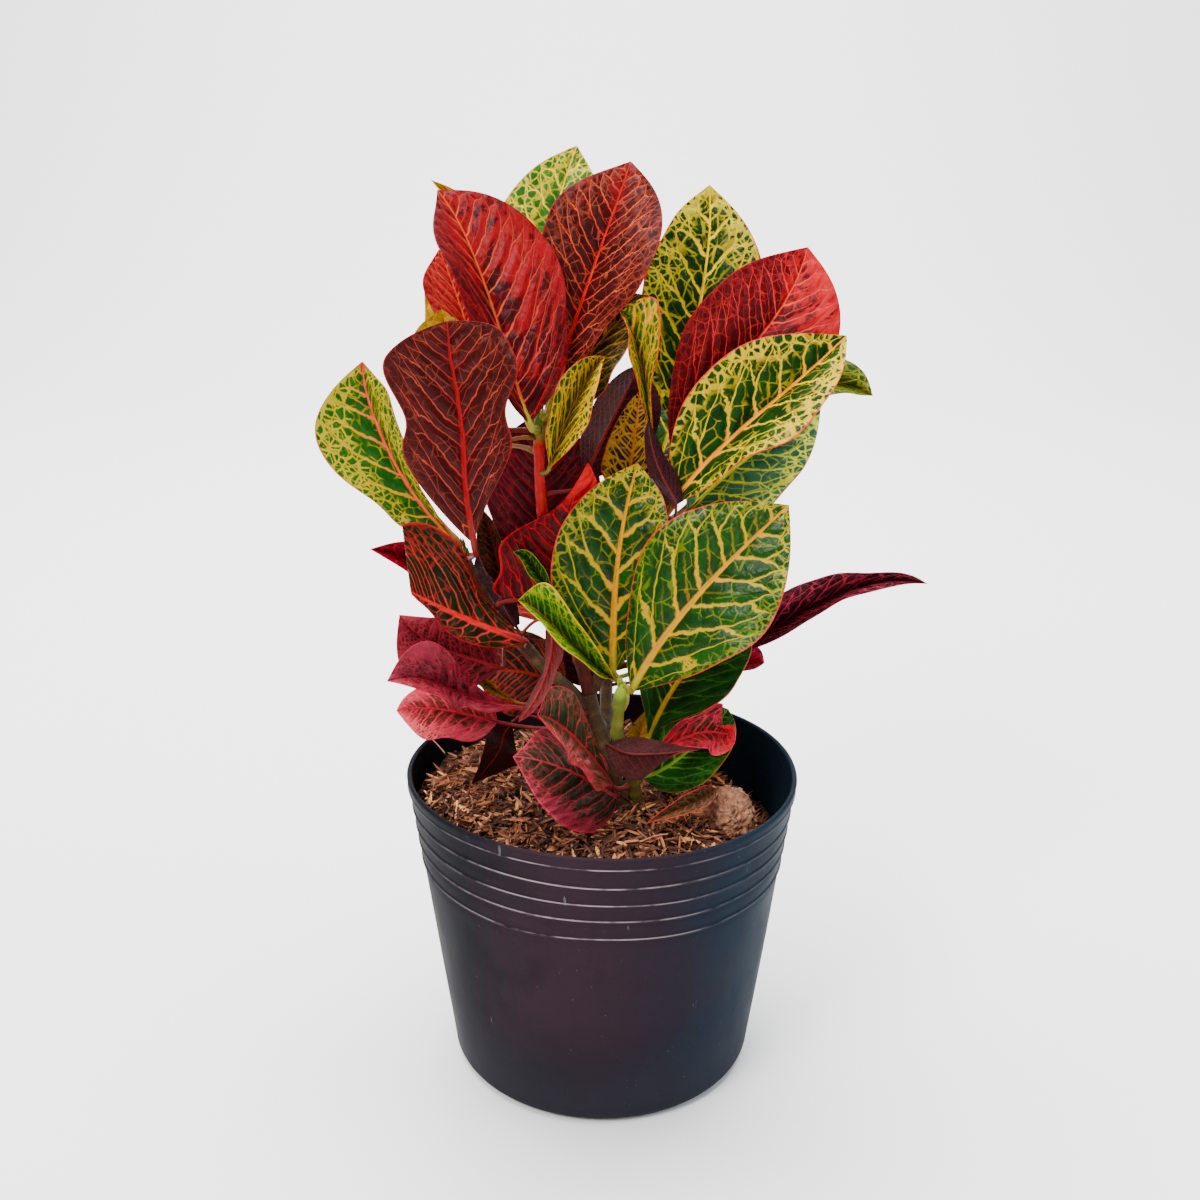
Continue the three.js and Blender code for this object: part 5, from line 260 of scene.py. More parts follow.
    ("L28", "leaf_38", "pinkred", 1, [[-48.1, -1.4, 229.1], [-52.6, -1.1, 225.6], [-47.8, 0.8, 212], [-52.3, -1.4, 214.7]],
     [[-52.3, -1.4, 214.7], [-58.3, -4.3, 218.2], [-65.1, -7.7, 222], [-72.3, -11.4, 226.1], [-78.8, -15.1, 230.3], [-84.8, -19, 235.1], [-90.1, -23, 240.9], [-94.2, -26.9, 247.1], [-97.3, -30.3, 253.2]],
     [[-52.4, -2, 214.1], [-58.9, -10.3, 212.2], [-65.8, -19.3, 210.2], [-73.4, -26.6, 210.5], [-80.9, -31.8, 213.2], [-88.8, -35.5, 218.3], [-95.7, -36.8, 227.4], [-98.6, -34.6, 240], [-97.3, -30.3, 253.2]],
     [[-51.8, -1.5, 215.3], [-53.8, -5.4, 225.3], [-56.4, -9.6, 235.9], [-60.3, -13.9, 244.1], [-64, -17.9, 248.8], [-67.8, -21.9, 251.2], [-73.9, -25.9, 251.6], [-84.2, -28.9, 251.7], [-97.3, -30.3, 253.2]]),
    ("L29", "leaf_39", "pinkred", 1, [[-9, -2.9, 190.7], [-21, -12.8, 193.5], [-26.8, -20.8, 198.8], [-40.7, -26.4, 203.8]],
     [[-40.7, -26.4, 203.8], [-51.9, -30.9, 207.8], [-62, -36.2, 212.8], [-70.4, -42.3, 218.9], [-76.4, -48.3, 224.6], [-81.3, -54.2, 229.5], [-86.5, -60.1, 233.2], [-92.1, -65, 235], [-98.3, -69.1, 235.4]],
     [[-40.5, -27.2, 203.8], [-49.4, -37, 207.1], [-56.3, -47.7, 210.6], [-64.4, -52.5, 215.5], [-66.9, -62.2, 218.5], [-69.3, -68.7, 223.4], [-74.7, -73.1, 230.3], [-84.9, -74.7, 234.6], [-98.3, -69.1, 235.4]],
     [[-40.7, -26.3, 204.3], [-51.3, -30, 210.1], [-60, -34.2, 218.1], [-66, -38.8, 227.5], [-70.2, -43.7, 235.6], [-75.2, -48.2, 244.3], [-84.3, -54.3, 249], [-92.9, -62.1, 244.2], [-98.3, -69.1, 235.4]]),
    ("L41", "leaf_40", "pinkred", -1, [[-41.8, -4.3, 232], [-39.6, -11.8, 240.1], [-28.5, -26.5, 256.1], [-25.6, -25, 245.4]],
     [[-25.6, -25, 245.4], [-24.6, -24.5, 241.6], [-24.3, -24.7, 236.3], [-25.3, -25.9, 229.4], [-27.3, -28.1, 222.3], [-30.3, -31.1, 215.5], [-34.1, -34.6, 209.5], [-37.7, -37.9, 205.4], [-41, -40.8, 202.9]],
     [[-25.3, -25.5, 245.4], [-20.7, -32.3, 241.8], [-19.9, -37, 237.4], [-21.3, -38.9, 231.8], [-23.6, -40.7, 225.6], [-26.5, -43, 219.5], [-30.4, -44.2, 213.4], [-35.3, -42.9, 207.6], [-41, -40.8, 202.9]],
     [[-25.9, -24.6, 245.4], [-28.7, -16.4, 241.4], [-28.8, -11.5, 235], [-28.9, -12.1, 226.7], [-30.3, -16.2, 219], [-33.6, -19.5, 211.5], [-37.9, -24.5, 205.4], [-40.4, -32.6, 203.1], [-41, -40.8, 202.9]]),
    ("L36", "leaf_41", "green", 1, [[10.7, -18.7, 180.6], [14.3, -13.8, 185], [20.7, -4.9, 172.1], [23.4, -3.9, 178.9]],
     [[23.4, -3.9, 178.9], [26.9, -2.7, 187.5], [31.5, -1.4, 197], [37.5, -0.2, 207.1], [44.1, 0.7, 216.3], [51.5, 1.5, 224.7], [59.6, 2.2, 232.5], [67, 2.7, 238.8], [73.7, 3.2, 243.9]],
     [[22.5, -4.1, 179.2], [21.2, -3.6, 190.1], [18, -3.2, 204.4], [18.5, -2.1, 219.8], [23.3, -0.8, 233.1], [31.6, 0.5, 243.7], [43.5, 1.7, 250.4], [57.8, 2.5, 250.3], [73.7, 3.2, 243.9]],
     [[24.1, -4.6, 178.7], [31, -6.9, 186.3], [41.4, -12.3, 193.1], [51.6, -17.4, 199.7], [58.9, -19.2, 206.5], [64.7, -18.6, 213.8], [69.9, -15.3, 222.4], [73.1, -8.4, 232.2], [73.7, 3.2, 243.9]]),
    ("L40", "leaf_42", "pinkred", 1, [[5.6, 27.2, 194.2], [19.2, 26.7, 197.9], [31.1, 22.6, 191.8], [42, 24.1, 200.6]],
     [[42, 24.1, 200.6], [45, 24.5, 203], [49.5, 24.8, 205.4], [55.5, 25.1, 207.6], [62, 25.2, 209.1], [68.7, 25.2, 209.8], [75.2, 25.3, 209.6], [80.3, 25.3, 208.8], [84, 25.4, 207.6]],
     [[41.7, 23.9, 200.9], [42.5, 23.2, 206.9], [45.7, 22.6, 213.9], [52.1, 22.2, 219.4], [59.9, 22, 222.3], [68.2, 22.1, 222.4], [76.2, 22.6, 219.7], [81.9, 23.4, 215.3], [84, 25.4, 207.6]],
     [[42.2, 23.6, 200.5], [46, 19.8, 202.3], [50.7, 15.6, 203.9], [56.4, 12.8, 205.6], [62.5, 11.7, 206.9], [68.9, 12, 207.7], [75.1, 14.5, 208], [80.1, 19.2, 207.8], [84, 25.4, 207.6]]),
    ("B06", "leaf_43", "pinkred", 1, [[-2.9, 18, 181.4], [-10.7, 18.9, 183.7], [-12.9, 25, 187.9], [-20, 26, 192]],
     [[-20, 26, 192], [-24.3, 26.6, 194.5], [-29.6, 27.4, 196.9], [-36, 28.3, 198.9], [-42.8, 29.5, 200], [-49.9, 30.9, 200.2], [-57.4, 32.6, 199.3], [-64.1, 34.3, 197.8], [-70, 36, 196]],
     [[-20.4, 25.7, 191.4], [-28.5, 22.9, 187.4], [-36.1, 20.2, 182.9], [-42, 18.9, 179.9], [-46.5, 19.2, 178.9], [-51, 20.8, 179.2], [-56.4, 24.3, 182], [-62.7, 29.6, 188.1], [-70, 36, 196]],
     [[-19.6, 26, 192.7], [-20.2, 26.7, 202.2], [-23.6, 27.7, 212.1], [-31.1, 29, 219.4], [-40.5, 30.3, 222.7], [-50.7, 31.8, 222.4], [-60.3, 33.3, 217.5], [-66.8, 34.7, 208], [-70, 36, 196]]),
    ("L31", "leaf_44", "greenyellow", 1, [[-22.4, 1.1, 201.6], [-30.2, 1.8, 196.8], [-37.8, 2.6, 190.6], [-45.7, 2, 195.3]],
     [[-45.7, 2, 195.3], [-49.3, 1.7, 197.4], [-53.1, 1, 200.2], [-56.9, -0.1, 203.5], [-60.2, -1.4, 206.7], [-63.2, -2.6, 209.7], [-66.3, -3.6, 212.3], [-69.1, -4.1, 214.1], [-71.6, -4.3, 215.2]],
     [[-45.7, 1.7, 195.3], [-49, -1, 197.4], [-52.1, -4.2, 199.9], [-55.3, -7, 202.6], [-58.3, -8.9, 205.6], [-61.4, -10.1, 208.7], [-64.9, -10, 211.9], [-68.6, -8, 214.2], [-71.6, -4.3, 215.2]],
     [[-45.6, 1.7, 195.4], [-48.3, -0.4, 198.6], [-50.5, -3.2, 202.1], [-53, -5.6, 205.6], [-55.7, -7.4, 208.8], [-58.8, -8.6, 212], [-63.1, -8.7, 214.8], [-67.7, -7.2, 216], [-71.6, -4.3, 215.2]]),
    ("L33", "leaf_45", "pinkred", 1, [[12.1, -18.8, 157.9], [8.8, -21.6, 157.4], [5.9, -24.1, 158.7], [4.2, -25.9, 162.2]],
     [[4.2, -25.9, 162.2], [-2.1, -32.6, 175.1], [-8.7, -39.6, 187.5], [-15.1, -46.5, 198.5], [-20.3, -52.4, 206.2], [-24.4, -57.5, 211.6], [-27.5, -62, 215.2], [-29.4, -65.7, 217.5], [-30.4, -68.8, 219.2]],
     [[4.5, -26.9, 161.9], [1, -44.7, 170.2], [-3.1, -61.8, 177.4], [-9.8, -65.7, 188.6], [-13.8, -70.8, 195.3], [-16, -74, 200.3], [-18.1, -74.2, 205.4], [-23, -71.9, 211.4], [-30.4, -68.8, 219.2]],
     [[4.5, -25.7, 162.5], [-0.1, -31, 177], [-4.5, -36.4, 191.7], [-8.3, -41.2, 206.4], [-12.5, -45.7, 217.5], [-17.5, -50.5, 224.8], [-23, -56, 227.8], [-27.1, -62, 225.7], [-30.4, -68.8, 219.2]]),
    ("B07", "leaf_46", "green", 1, [[5.1, 30.9, 195.9], [11.9, 35.5, 195.9], [18.1, 37.3, 197], [22, 44, 200]],
     [[22, 44, 200], [26.2, 51.2, 203.3], [31.2, 59.8, 205.6], [36.9, 69.7, 206.3], [42.5, 79.5, 205], [47.8, 89, 201.8], [52.9, 98.3, 196.8], [56.9, 105.9, 191.4], [60, 112, 186]],
     [[21.3, 44.3, 200.3], [18.4, 54.6, 206.4], [16.9, 67, 211.6], [19.2, 80.2, 214.2], [24, 92, 213.3], [30.3, 102.2, 209.6], [38.7, 109.7, 202.9], [48.9, 112.6, 194.6], [60, 112, 186]],
     [[22.7, 43.5, 200.1], [33.6, 46.2, 204.9], [45.4, 51, 208.9], [55.7, 59.1, 210.6], [63.3, 68.8, 209.5], [68.6, 79.3, 205.9], [70.3, 90.9, 200], [67, 102, 193], [60, 112, 186]]),
    ("L30", "leaf_47", "pinkred", 1, [[-8, -2, 182.6], [-25.5, -4.8, 181.8], [-43.3, 4.2, 179.6], [-54, -7.2, 187.8]],
     [[-54, -7.2, 187.8], [-58.8, -12.4, 191.5], [-64.6, -17.9, 195.6], [-71.3, -23.3, 199.8], [-77.9, -27.7, 203.2], [-84.3, -31.3, 205.7], [-90.5, -34.1, 207.1], [-95.6, -35.9, 207.3], [-99.8, -37.1, 206.7]],
     [[-53.7, -7.8, 187.4], [-56.1, -17.6, 188], [-59.8, -28.7, 188.6], [-65.8, -37.5, 191], [-72.9, -42.3, 194.5], [-79.3, -46.9, 196.5], [-85.4, -49.7, 197.8], [-92.1, -45.7, 201.3], [-99.8, -37.1, 206.7]],
     [[-53.4, -7.4, 188.3], [-53.9, -14, 196], [-54.8, -21.6, 205.2], [-59.1, -29, 213.5], [-65.9, -34.9, 219.5], [-74.7, -39.6, 223.2], [-85.2, -42.1, 222.8], [-94.5, -41, 216], [-99.8, -37.1, 206.7]]),
    ("L35", "leaf_48", "pinkred", 1, [[16.6, -18.8, 169], [19, -19.1, 170.4], [20.4, -19.6, 171.3], [22.5, -19.7, 173]],
     [[22.5, -19.7, 173], [32, -20.2, 180.7], [41.1, -20.9, 186.3], [49, -21.8, 189.3], [54.6, -23, 190], [58.4, -24.5, 190], [60.8, -26.3, 190.8], [62.4, -28.2, 193.3], [63.5, -30, 197.6]],
     [[22.1, -19.7, 173.4], [29.6, -20, 184.1], [37.2, -20.2, 194.2], [47, -20.9, 198.6], [54.8, -21.7, 204.5], [58.7, -22.8, 204.6], [54.4, -24.2, 200.6], [55.1, -28.1, 196], [63.5, -30, 197.6]],
     [[22.6, -20.2, 172.9], [32.2, -23.5, 180.1], [41.1, -28.9, 184.8], [47.7, -34.3, 186.7], [50.7, -36.8, 187], [51.3, -37.7, 186.7], [55.7, -37.3, 184.1], [63.8, -34.9, 189.2], [63.5, -30, 197.6]]),
    ("L35b", "leaf_49", "purple", -1, [[5.6, -25.7, 182], [4.1, -28.4, 181.9], [-0.3, -29.7, 187.2], [2.2, -31.3, 186.6]],
     [[2.2, -31.3, 186.6], [6.9, -34.5, 185.5], [12.5, -37, 184.7], [18.7, -37.9, 184.8], [25, -38.2, 185.2], [32, -38.2, 185.8], [38.3, -38.3, 186.6], [42.6, -38.7, 187.5], [45.7, -39.2, 188.5]],
     [[2.7, -30.4, 187.8], [8.7, -31.7, 190.2], [15.3, -33, 191.9], [21.6, -34.2, 191.6], [27.4, -35.3, 190.8], [33.6, -36.4, 189.7], [39.1, -37.5, 189.1], [43, -38.4, 189.1], [45.7, -39.2, 189.1]],
     [[1.2, -32.3, 185.5], [2.8, -36, 180], [5.8, -38.9, 175.5], [10.9, -39.9, 173.2], [17.9, -40.2, 172.2], [25.7, -40.2, 178.8], [33.8, -40.2, 185.3], [40.4, -39.8, 187.3], [45.7, -39.2, 188]]),
    ("L43", "leaf_50", "greenyellow", 1, [[8.9, -2.6, 157.9], [12.3, 1.3, 159.9], [15.4, 6.9, 159.2], [17.1, 7.4, 164.5]],
     [[17.1, 7.4, 164.5], [17.5, 7.5, 166], [17.9, 7.7, 167.7], [18.3, 7.7, 169.9], [18.8, 7.7, 172.6], [19.4, 7.5, 175.9], [20.5, 7.1, 180.3], [21.8, 6.7, 185.1], [23.3, 6.2, 190]],
     [[16.8, 7.2, 164.6], [15, 5.8, 166.8], [13, 4.1, 168.9], [11.8, 2.9, 171], [11.7, 2.4, 173.6], [12.5, 2.5, 177.1], [14.7, 3.1, 181.5], [18.4, 4.3, 185.9], [23.3, 6.2, 190]],
     [[17.3, 7.2, 164.4], [19.8, 5.3, 165.5], [22.6, 3.5, 167], [24.4, 2.3, 168.9], [25.3, 1.7, 171.1], [25.7, 1.4, 174.2], [25.5, 2, 178.6], [24.5, 3.7, 184], [23.3, 6.2, 190]]),
    ("L32", "leaf_51", "maroon", -1, [[-4.9, -2.3, 173.3], [-21.3, 0.6, 171.7], [-36.2, 11.9, 192.9], [-47.3, 6.9, 181.3]],
     [[-47.3, 6.9, 181.3], [-50, 5.7, 178.4], [-51.8, 4.1, 176.1], [-52.5, 2, 174.1], [-52.9, -0.4, 172.4], [-53.9, -3.2, 170.1], [-56.6, -6.4, 166.3], [-61.2, -9.6, 161.4], [-67, -12.6, 155.7]],
     [[-47, 7.4, 180.9], [-46.9, 10.6, 173.1], [-46.2, 12.6, 165.6], [-44.5, 11.4, 160.1], [-44.7, 9.7, 156.6], [-47.7, 7.7, 155.3], [-52.1, 3.2, 155.3], [-58.5, -3.9, 155.5], [-67, -12.6, 155.7]],
     [[-47.5, 6.4, 181.8], [-52.6, 0.2, 183.6], [-56.1, -5.1, 186.5], [-58.8, -8, 188.6], [-58.8, -10.9, 188.1], [-58.2, -15.5, 185.2], [-60, -18.4, 178], [-62.8, -15.8, 166.6], [-67, -12.6, 155.7]]),
    ("L37", "leaf_52", "green", 1, [[9.3, -4, 160.6], [13.3, -2.1, 162.9], [15.9, -1.2, 152.9], [20.6, -1.5, 154.5]],
     [[20.6, -1.5, 154.5], [25.4, -1.8, 156.1], [31.4, -2.3, 159.7], [38.4, -3, 165.5], [45.2, -3.6, 172.4], [51.5, -3.7, 179.4], [57.1, -3.3, 185.8], [61, -2.2, 190.1], [63.6, -0.7, 192.6]],
     [[20.5, -1.3, 155.2], [22.1, -0.3, 163.3], [22.7, -0, 172.1], [25.1, -0.6, 180], [29.7, -1.4, 187], [35.7, -1.9, 193.2], [43.9, -1.9, 197.1], [53.7, -1.3, 196.8], [63.6, -0.7, 192.6]],
     [[20.7, -2.1, 154.1], [26.8, -8.8, 152], [35.4, -15.3, 152.4], [44.9, -19.1, 156.9], [53.3, -20.9, 163.8], [60.2, -20.4, 172], [65, -16.9, 180.8], [66.4, -10.1, 188.1], [63.6, -0.7, 192.6]]),
    ("L34", "leaf_53", "pinkred", 1, [[7.5, -12.5, 149.4], [7.5, -13.2, 149.7], [7.6, -13.7, 149.5], [7.4, -14.3, 149.8]],
     [[7.4, -14.3, 149.8], [6.7, -18.8, 152.1], [4, -24.3, 156.5], [-1.1, -30.8, 163.2], [-8, -37.3, 170.8], [-16.4, -43.6, 178.6], [-26.1, -49.6, 185.5], [-35, -54.4, 190.3], [-42.7, -58.1, 193]],
     [[8.3, -14.3, 150], [5.1, -24.5, 142.7], [-2.1, -34.6, 141.2], [-9.3, -43.7, 144.8], [-16.5, -51.3, 150.9], [-23.3, -56.9, 159.1], [-29.9, -60.2, 169.6], [-36, -60.4, 181], [-42.7, -58.1, 193]],
     [[6.8, -14.5, 149.3], [3.4, -12.8, 159.5], [1.4, -11.6, 168.4], [-3.5, -13.6, 176.5], [-10.8, -18.2, 183.8], [-20.3, -22.9, 191], [-30.6, -31, 195.4], [-37.3, -46.9, 193.7], [-42.7, -58.1, 193]]),
    ("L38", "leaf_54", "pinkred", 1, None,
     [[58.1, -13.7, 154], [55.7, -16.3, 153.5], [52.9, -19.4, 153.3], [49.4, -23.1, 153.2], [45.4, -26.8, 153.1], [40.5, -30.7, 152.9], [34.5, -34.6, 152.1], [28.2, -38.2, 150.9], [22, -41.2, 149.4]],
     [[58.3, -13.9, 154.1], [57.9, -18.3, 154.2], [56.9, -23.1, 154.2], [54.2, -27.9, 154], [50.7, -33, 153.9], [45, -37, 153.5], [37.6, -39.8, 152.5], [29.8, -41.4, 151.1], [22, -41.2, 149.4]],
     [[58.1, -13.7, 154.3], [55.5, -16.5, 156.6], [53, -19.8, 159], [50, -23.7, 160.8], [46.1, -27.9, 161], [40.9, -32.1, 160.2], [34.5, -36.2, 158.1], [28, -39.2, 154.3], [22, -41.2, 149.4]]),
    ("B11", "leaf_55", "purple", 1, [[-0.3, 16.4, 174.3], [-3.5, 24.7, 167.6], [1.3, 41.6, 173.6], [-2, 44, 184]],
     [[-2, 44, 184], [-3.3, 44.9, 188], [-4.9, 46.1, 192.9], [-7, 47.6, 198.8], [-9.2, 49.2, 204.9], [-11.6, 51, 211.2], [-14.1, 52.8, 217.6], [-16.2, 54.5, 223.2], [-18, 56, 228]],
     [[-2.7, 43.8, 183.8], [-10.6, 42.6, 186.1], [-18.7, 41.8, 189.2], [-24.7, 42, 193.8], [-28.4, 43.1, 199.4], [-30.3, 44.9, 205.8], [-29.5, 47.9, 213.2], [-25, 51.7, 220.8], [-18, 56, 228]],
     [[-1.3, 43.9, 184.2], [3.8, 44, 190.5], [8.3, 44.5, 197.8], [10, 45.6, 205.4], [9.1, 47.2, 212.3], [6.2, 49, 218.5], [0.7, 51.2, 223.7], [-7.8, 53.6, 226.7], [-18, 56, 228]]),
]

STRAW_A = [[-84.9, -20.0, 183.4], [-82.2, -22.0, 181.6], [-78.4, -26.0, 179.2]]
STRAW_B = [[17.7, -62.0, 150.3], [24.9, -58.0, 151.3], [31.3, -56.0, 151.4]]


# ---- smooth repeatable noise for the meshes -------------------------------------
_LAT = np.random.default_rng(11).random((64, 64, 64)) * 2 - 1


def noise3(p):
    """Trilinear value noise of an (n, 3) array, in -1..1."""
    p = np.asarray(p, float)
    i = np.floor(p).astype(int)
    f = p - i
    f = f * f * (3 - 2 * f)
    out = 0
    for dx in (0, 1):
        for dy in (0, 1):
            for dz in (0, 1):
                w = ((f[..., 0] if dx else 1 - f[..., 0]) * (f[..., 1] if dy else 1 - f[..., 1])
                     * (f[..., 2] if dz else 1 - f[..., 2]))
                out = out + w * _LAT[(i[..., 0] + dx) & 63, (i[..., 1] + dy) & 63, (i[..., 2] + dz) & 63]
    return out


def fbm(p, octaves=3, gain=0.5):
    p = np.asarray(p, float)
    s, a, n = 0, 1.0, 0
    for k in range(octaves):
        s = s + a * noise3(p * 2 ** k + 17.3 * k)
        n += a
        a *= gain
    return s / n


# ---- mesh and material helpers -----------------------------------------------------
def srgb(h):
    return (*h, 1.0)


def make(name, verts, faces, mats, mat_index=None, uvs=None, smooth_faces=True, replaces=()):
    """verts in mm; uvs is name -> (n, 2) per vertex."""
    me = bpy.data.meshes.new(name)
    verts = np.asarray(verts, float)
    me.from_pydata((verts * MM).tolist(), [], faces if isinstance(faces, list) else faces.tolist())
    if mat_index is not None:
        me.polygons.foreach_set("material_index", np.asarray(mat_index, np.int32))
    me.polygons.foreach_set("use_smooth", np.full(len(me.polygons), bool(smooth_faces)))
    loops = np.empty(len(me.loops), np.int32)
    me.loops.foreach_get("vertex_index", loops)
    for k, v in (uvs or {}).items():
        layer = me.uv_layers.new(name=k)
        layer.data.foreach_set("uv", np.asarray(v, np.float32)[loops].ravel())
    for m in mats:
        me.materials.append(m)
    me.validate()
    me.update()
    o = bpy.data.objects.new(name, me)
    bpy.context.scene.collection.objects.link(o)
    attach(o, "root")
    if replaces:
        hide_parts(*replaces)
    return o


class X:
    """A node output with arithmetic."""
    def __init__(self, g, o):
        self.g, self.o = g, o

    def __add__(self, v): return self.g.m("ADD", self, v)
    def __radd__(self, v): return self.g.m("ADD", v, self)
    def __sub__(self, v): return self.g.m("SUBTRACT", self, v)
    def __rsub__(self, v): return self.g.m("SUBTRACT", v, self)
    def __mul__(self, v): return self.g.m("MULTIPLY", self, v)
    def __rmul__(self, v): return self.g.m("MULTIPLY", v, self)
    def __truediv__(self, v): return self.g.m("DIVIDE", self, v)
    def __neg__(self): return self.g.m("MULTIPLY", self, -1.0)


class G:
    """A small builder for a material's node graph."""
    def __init__(self, name):
        self.mat = bpy.data.materials.new(name)
        self.mat.use_nodes = True
        self.nt = self.mat.node_tree
        self.nt.nodes.clear()

    def n(self, kind, **kw):
        node = self.nt.nodes.new(kind)
        for k, v in kw.items():
            setattr(node, k, v)
        return node

    def put(self, sock, v):
        if isinstance(v, X):
            self.nt.links.new(v.o, sock)
        elif v is not None:
            sock.default_value = v

    def m(self, op, *a, clamp=False):
        node = self.n("ShaderNodeMath", operation=op, use_clamp=clamp)
        for i, v in enumerate(a):
            self.put(node.inputs[i], v)
        return X(self, node.outputs[0])

    def uv(self, name):
        node = self.n("ShaderNodeUVMap", uv_map=name)
        return self.split(X(self, node.outputs[0]))

    def obj(self):
        return X(self, self.n("ShaderNodeTexCoord").outputs["Object"])

    def normal(self):
        return X(self, self.n("ShaderNodeNewGeometry").outputs["Normal"])

    def split(self, v):
        node = self.n("ShaderNodeSeparateXYZ")
        self.put(node.inputs[0], v)
        return [X(self, node.outputs[i]) for i in range(3)]

    def vec(self, x, y, z=0.0):
        node = self.n("ShaderNodeCombineXYZ")
        for i, v in enumerate((x, y, z)):
            self.put(node.inputs[i], v)
        return X(self, node.outputs[0])

    def vscale(self, v, s):
        node = self.n("ShaderNodeVectorMath", operation="MULTIPLY")
        self.put(node.inputs[0], v)
        node.inputs[1].default_value = s if hasattr(s, "__len__") else (s, s, s)
        return X(self, node.outputs[0])

    def noise(self, v, scale, detail=2.0, rough=0.5, distort=0.0, colour=False):
        node = self.n("ShaderNodeTexNoise")
        self.put(node.inputs["Vector"], v)
        node.inputs["Scale"].default_value = scale
        node.inputs["Detail"].default_value = detail
        node.inputs["Roughness"].default_value = rough
        node.inputs["Distortion"].default_value = distort
        return X(self, node.outputs[1 if colour else 0])

    def cells(self, v, scale, feature="DISTANCE_TO_EDGE", random=1.0):
        node = self.n("ShaderNodeTexVoronoi", feature=feature)
        self.put(node.inputs["Vector"], v)
        node.inputs["Scale"].default_value = scale
        node.inputs["Randomness"].default_value = random
        return X(self, node.outputs["Distance"])

    def step(self, v, a, b, lo=0.0, hi=1.0):
        node = self.n("ShaderNodeMapRange", interpolation_type="SMOOTHSTEP")
        self.put(node.inputs[0], v)
        for i, w in enumerate((a, b, lo, hi)):
            self.put(node.inputs[i + 1], w)
        return X(self, node.outputs[0])

    def mix(self, f, a, b, blend="MIX"):
        node = self.n("ShaderNodeMix", data_type="RGBA", blend_type=blend)
        self.put(node.inputs[0], f)
        self.put(node.inputs[6], a)
        self.put(node.inputs[7], b)
        return X(self, node.outputs[2])

    def top(self, *a):
        v = a[0]
        for w in a[1:]:
            v = self.m("MAXIMUM", v, w)
        return v

    def bump(self, h, distance, strength=1.0, normal=None):
        node = self.n("ShaderNodeBump")
        node.inputs["Strength"].default_value = strength
        node.inputs["Distance"].default_value = distance
        self.put(node.inputs["Height"], h)
        if normal is not None:
            self.put(node.inputs["Normal"], normal)
        return X(self, node.outputs[0])

    def shade(self, colour, rough, normal=None, **fixed):
        b = self.n("ShaderNodeBsdfPrincipled")
        out = self.n("ShaderNodeOutputMaterial")
        self.nt.links.new(b.outputs[0], out.inputs[0])
        self.put(b.inputs["Base Color"], colour)
        self.put(b.inputs["Roughness"], rough)
        if normal is not None:
            self.put(b.inputs["Normal"], normal)
        for k, v in fixed.items():
            b.inputs[k.replace("_", " ")].default_value = v
        return self.mat


# ---- leaf materials --------------------------------------------------------------------
BASE_STYLE = dict(
    dark=(0.0026, 0.0097, 0.0017), mid=(0.0119, 0.0545, 0.0043), light=(0.2902, 0.1621, 0.0012), high=(0.3624, 0.2105, 0.0012),
    vein=(0.4545, 0.2359, 0.0012), vein_out=None, net=None, edge=(0.1898, 0.0214, 0.0109), tip=None, tip_at=(0.8, 1.0), side=None,
    b=0.3, bt=0.0, ba=0.0, bs=0.0, hl=0.2, hlw=1.6, hm=0.2, hmw=2.5, nb=0.5, nB=0.3,
    fb=0.42, fn=0.9, fh=0.25, isl=1.0, grow=1.5,
    wm=1.5, ms=1.0, wl=0.8, ls=0.95, fork=0.45, meet=0.88, half=0.6,
    nt=1.15, wt=0.34, ts=0.5, nf=2.4, wf=0.42, fs=0.8, fa=0.55, spark=0.0,
    ew=0.03, es=0.8, rough=0.34, spec=0.09, gloss=0.0, cut=0.11, puff=1.0,
    dash=0.0, dashes=9.0, dt=0.0, da=0.2)

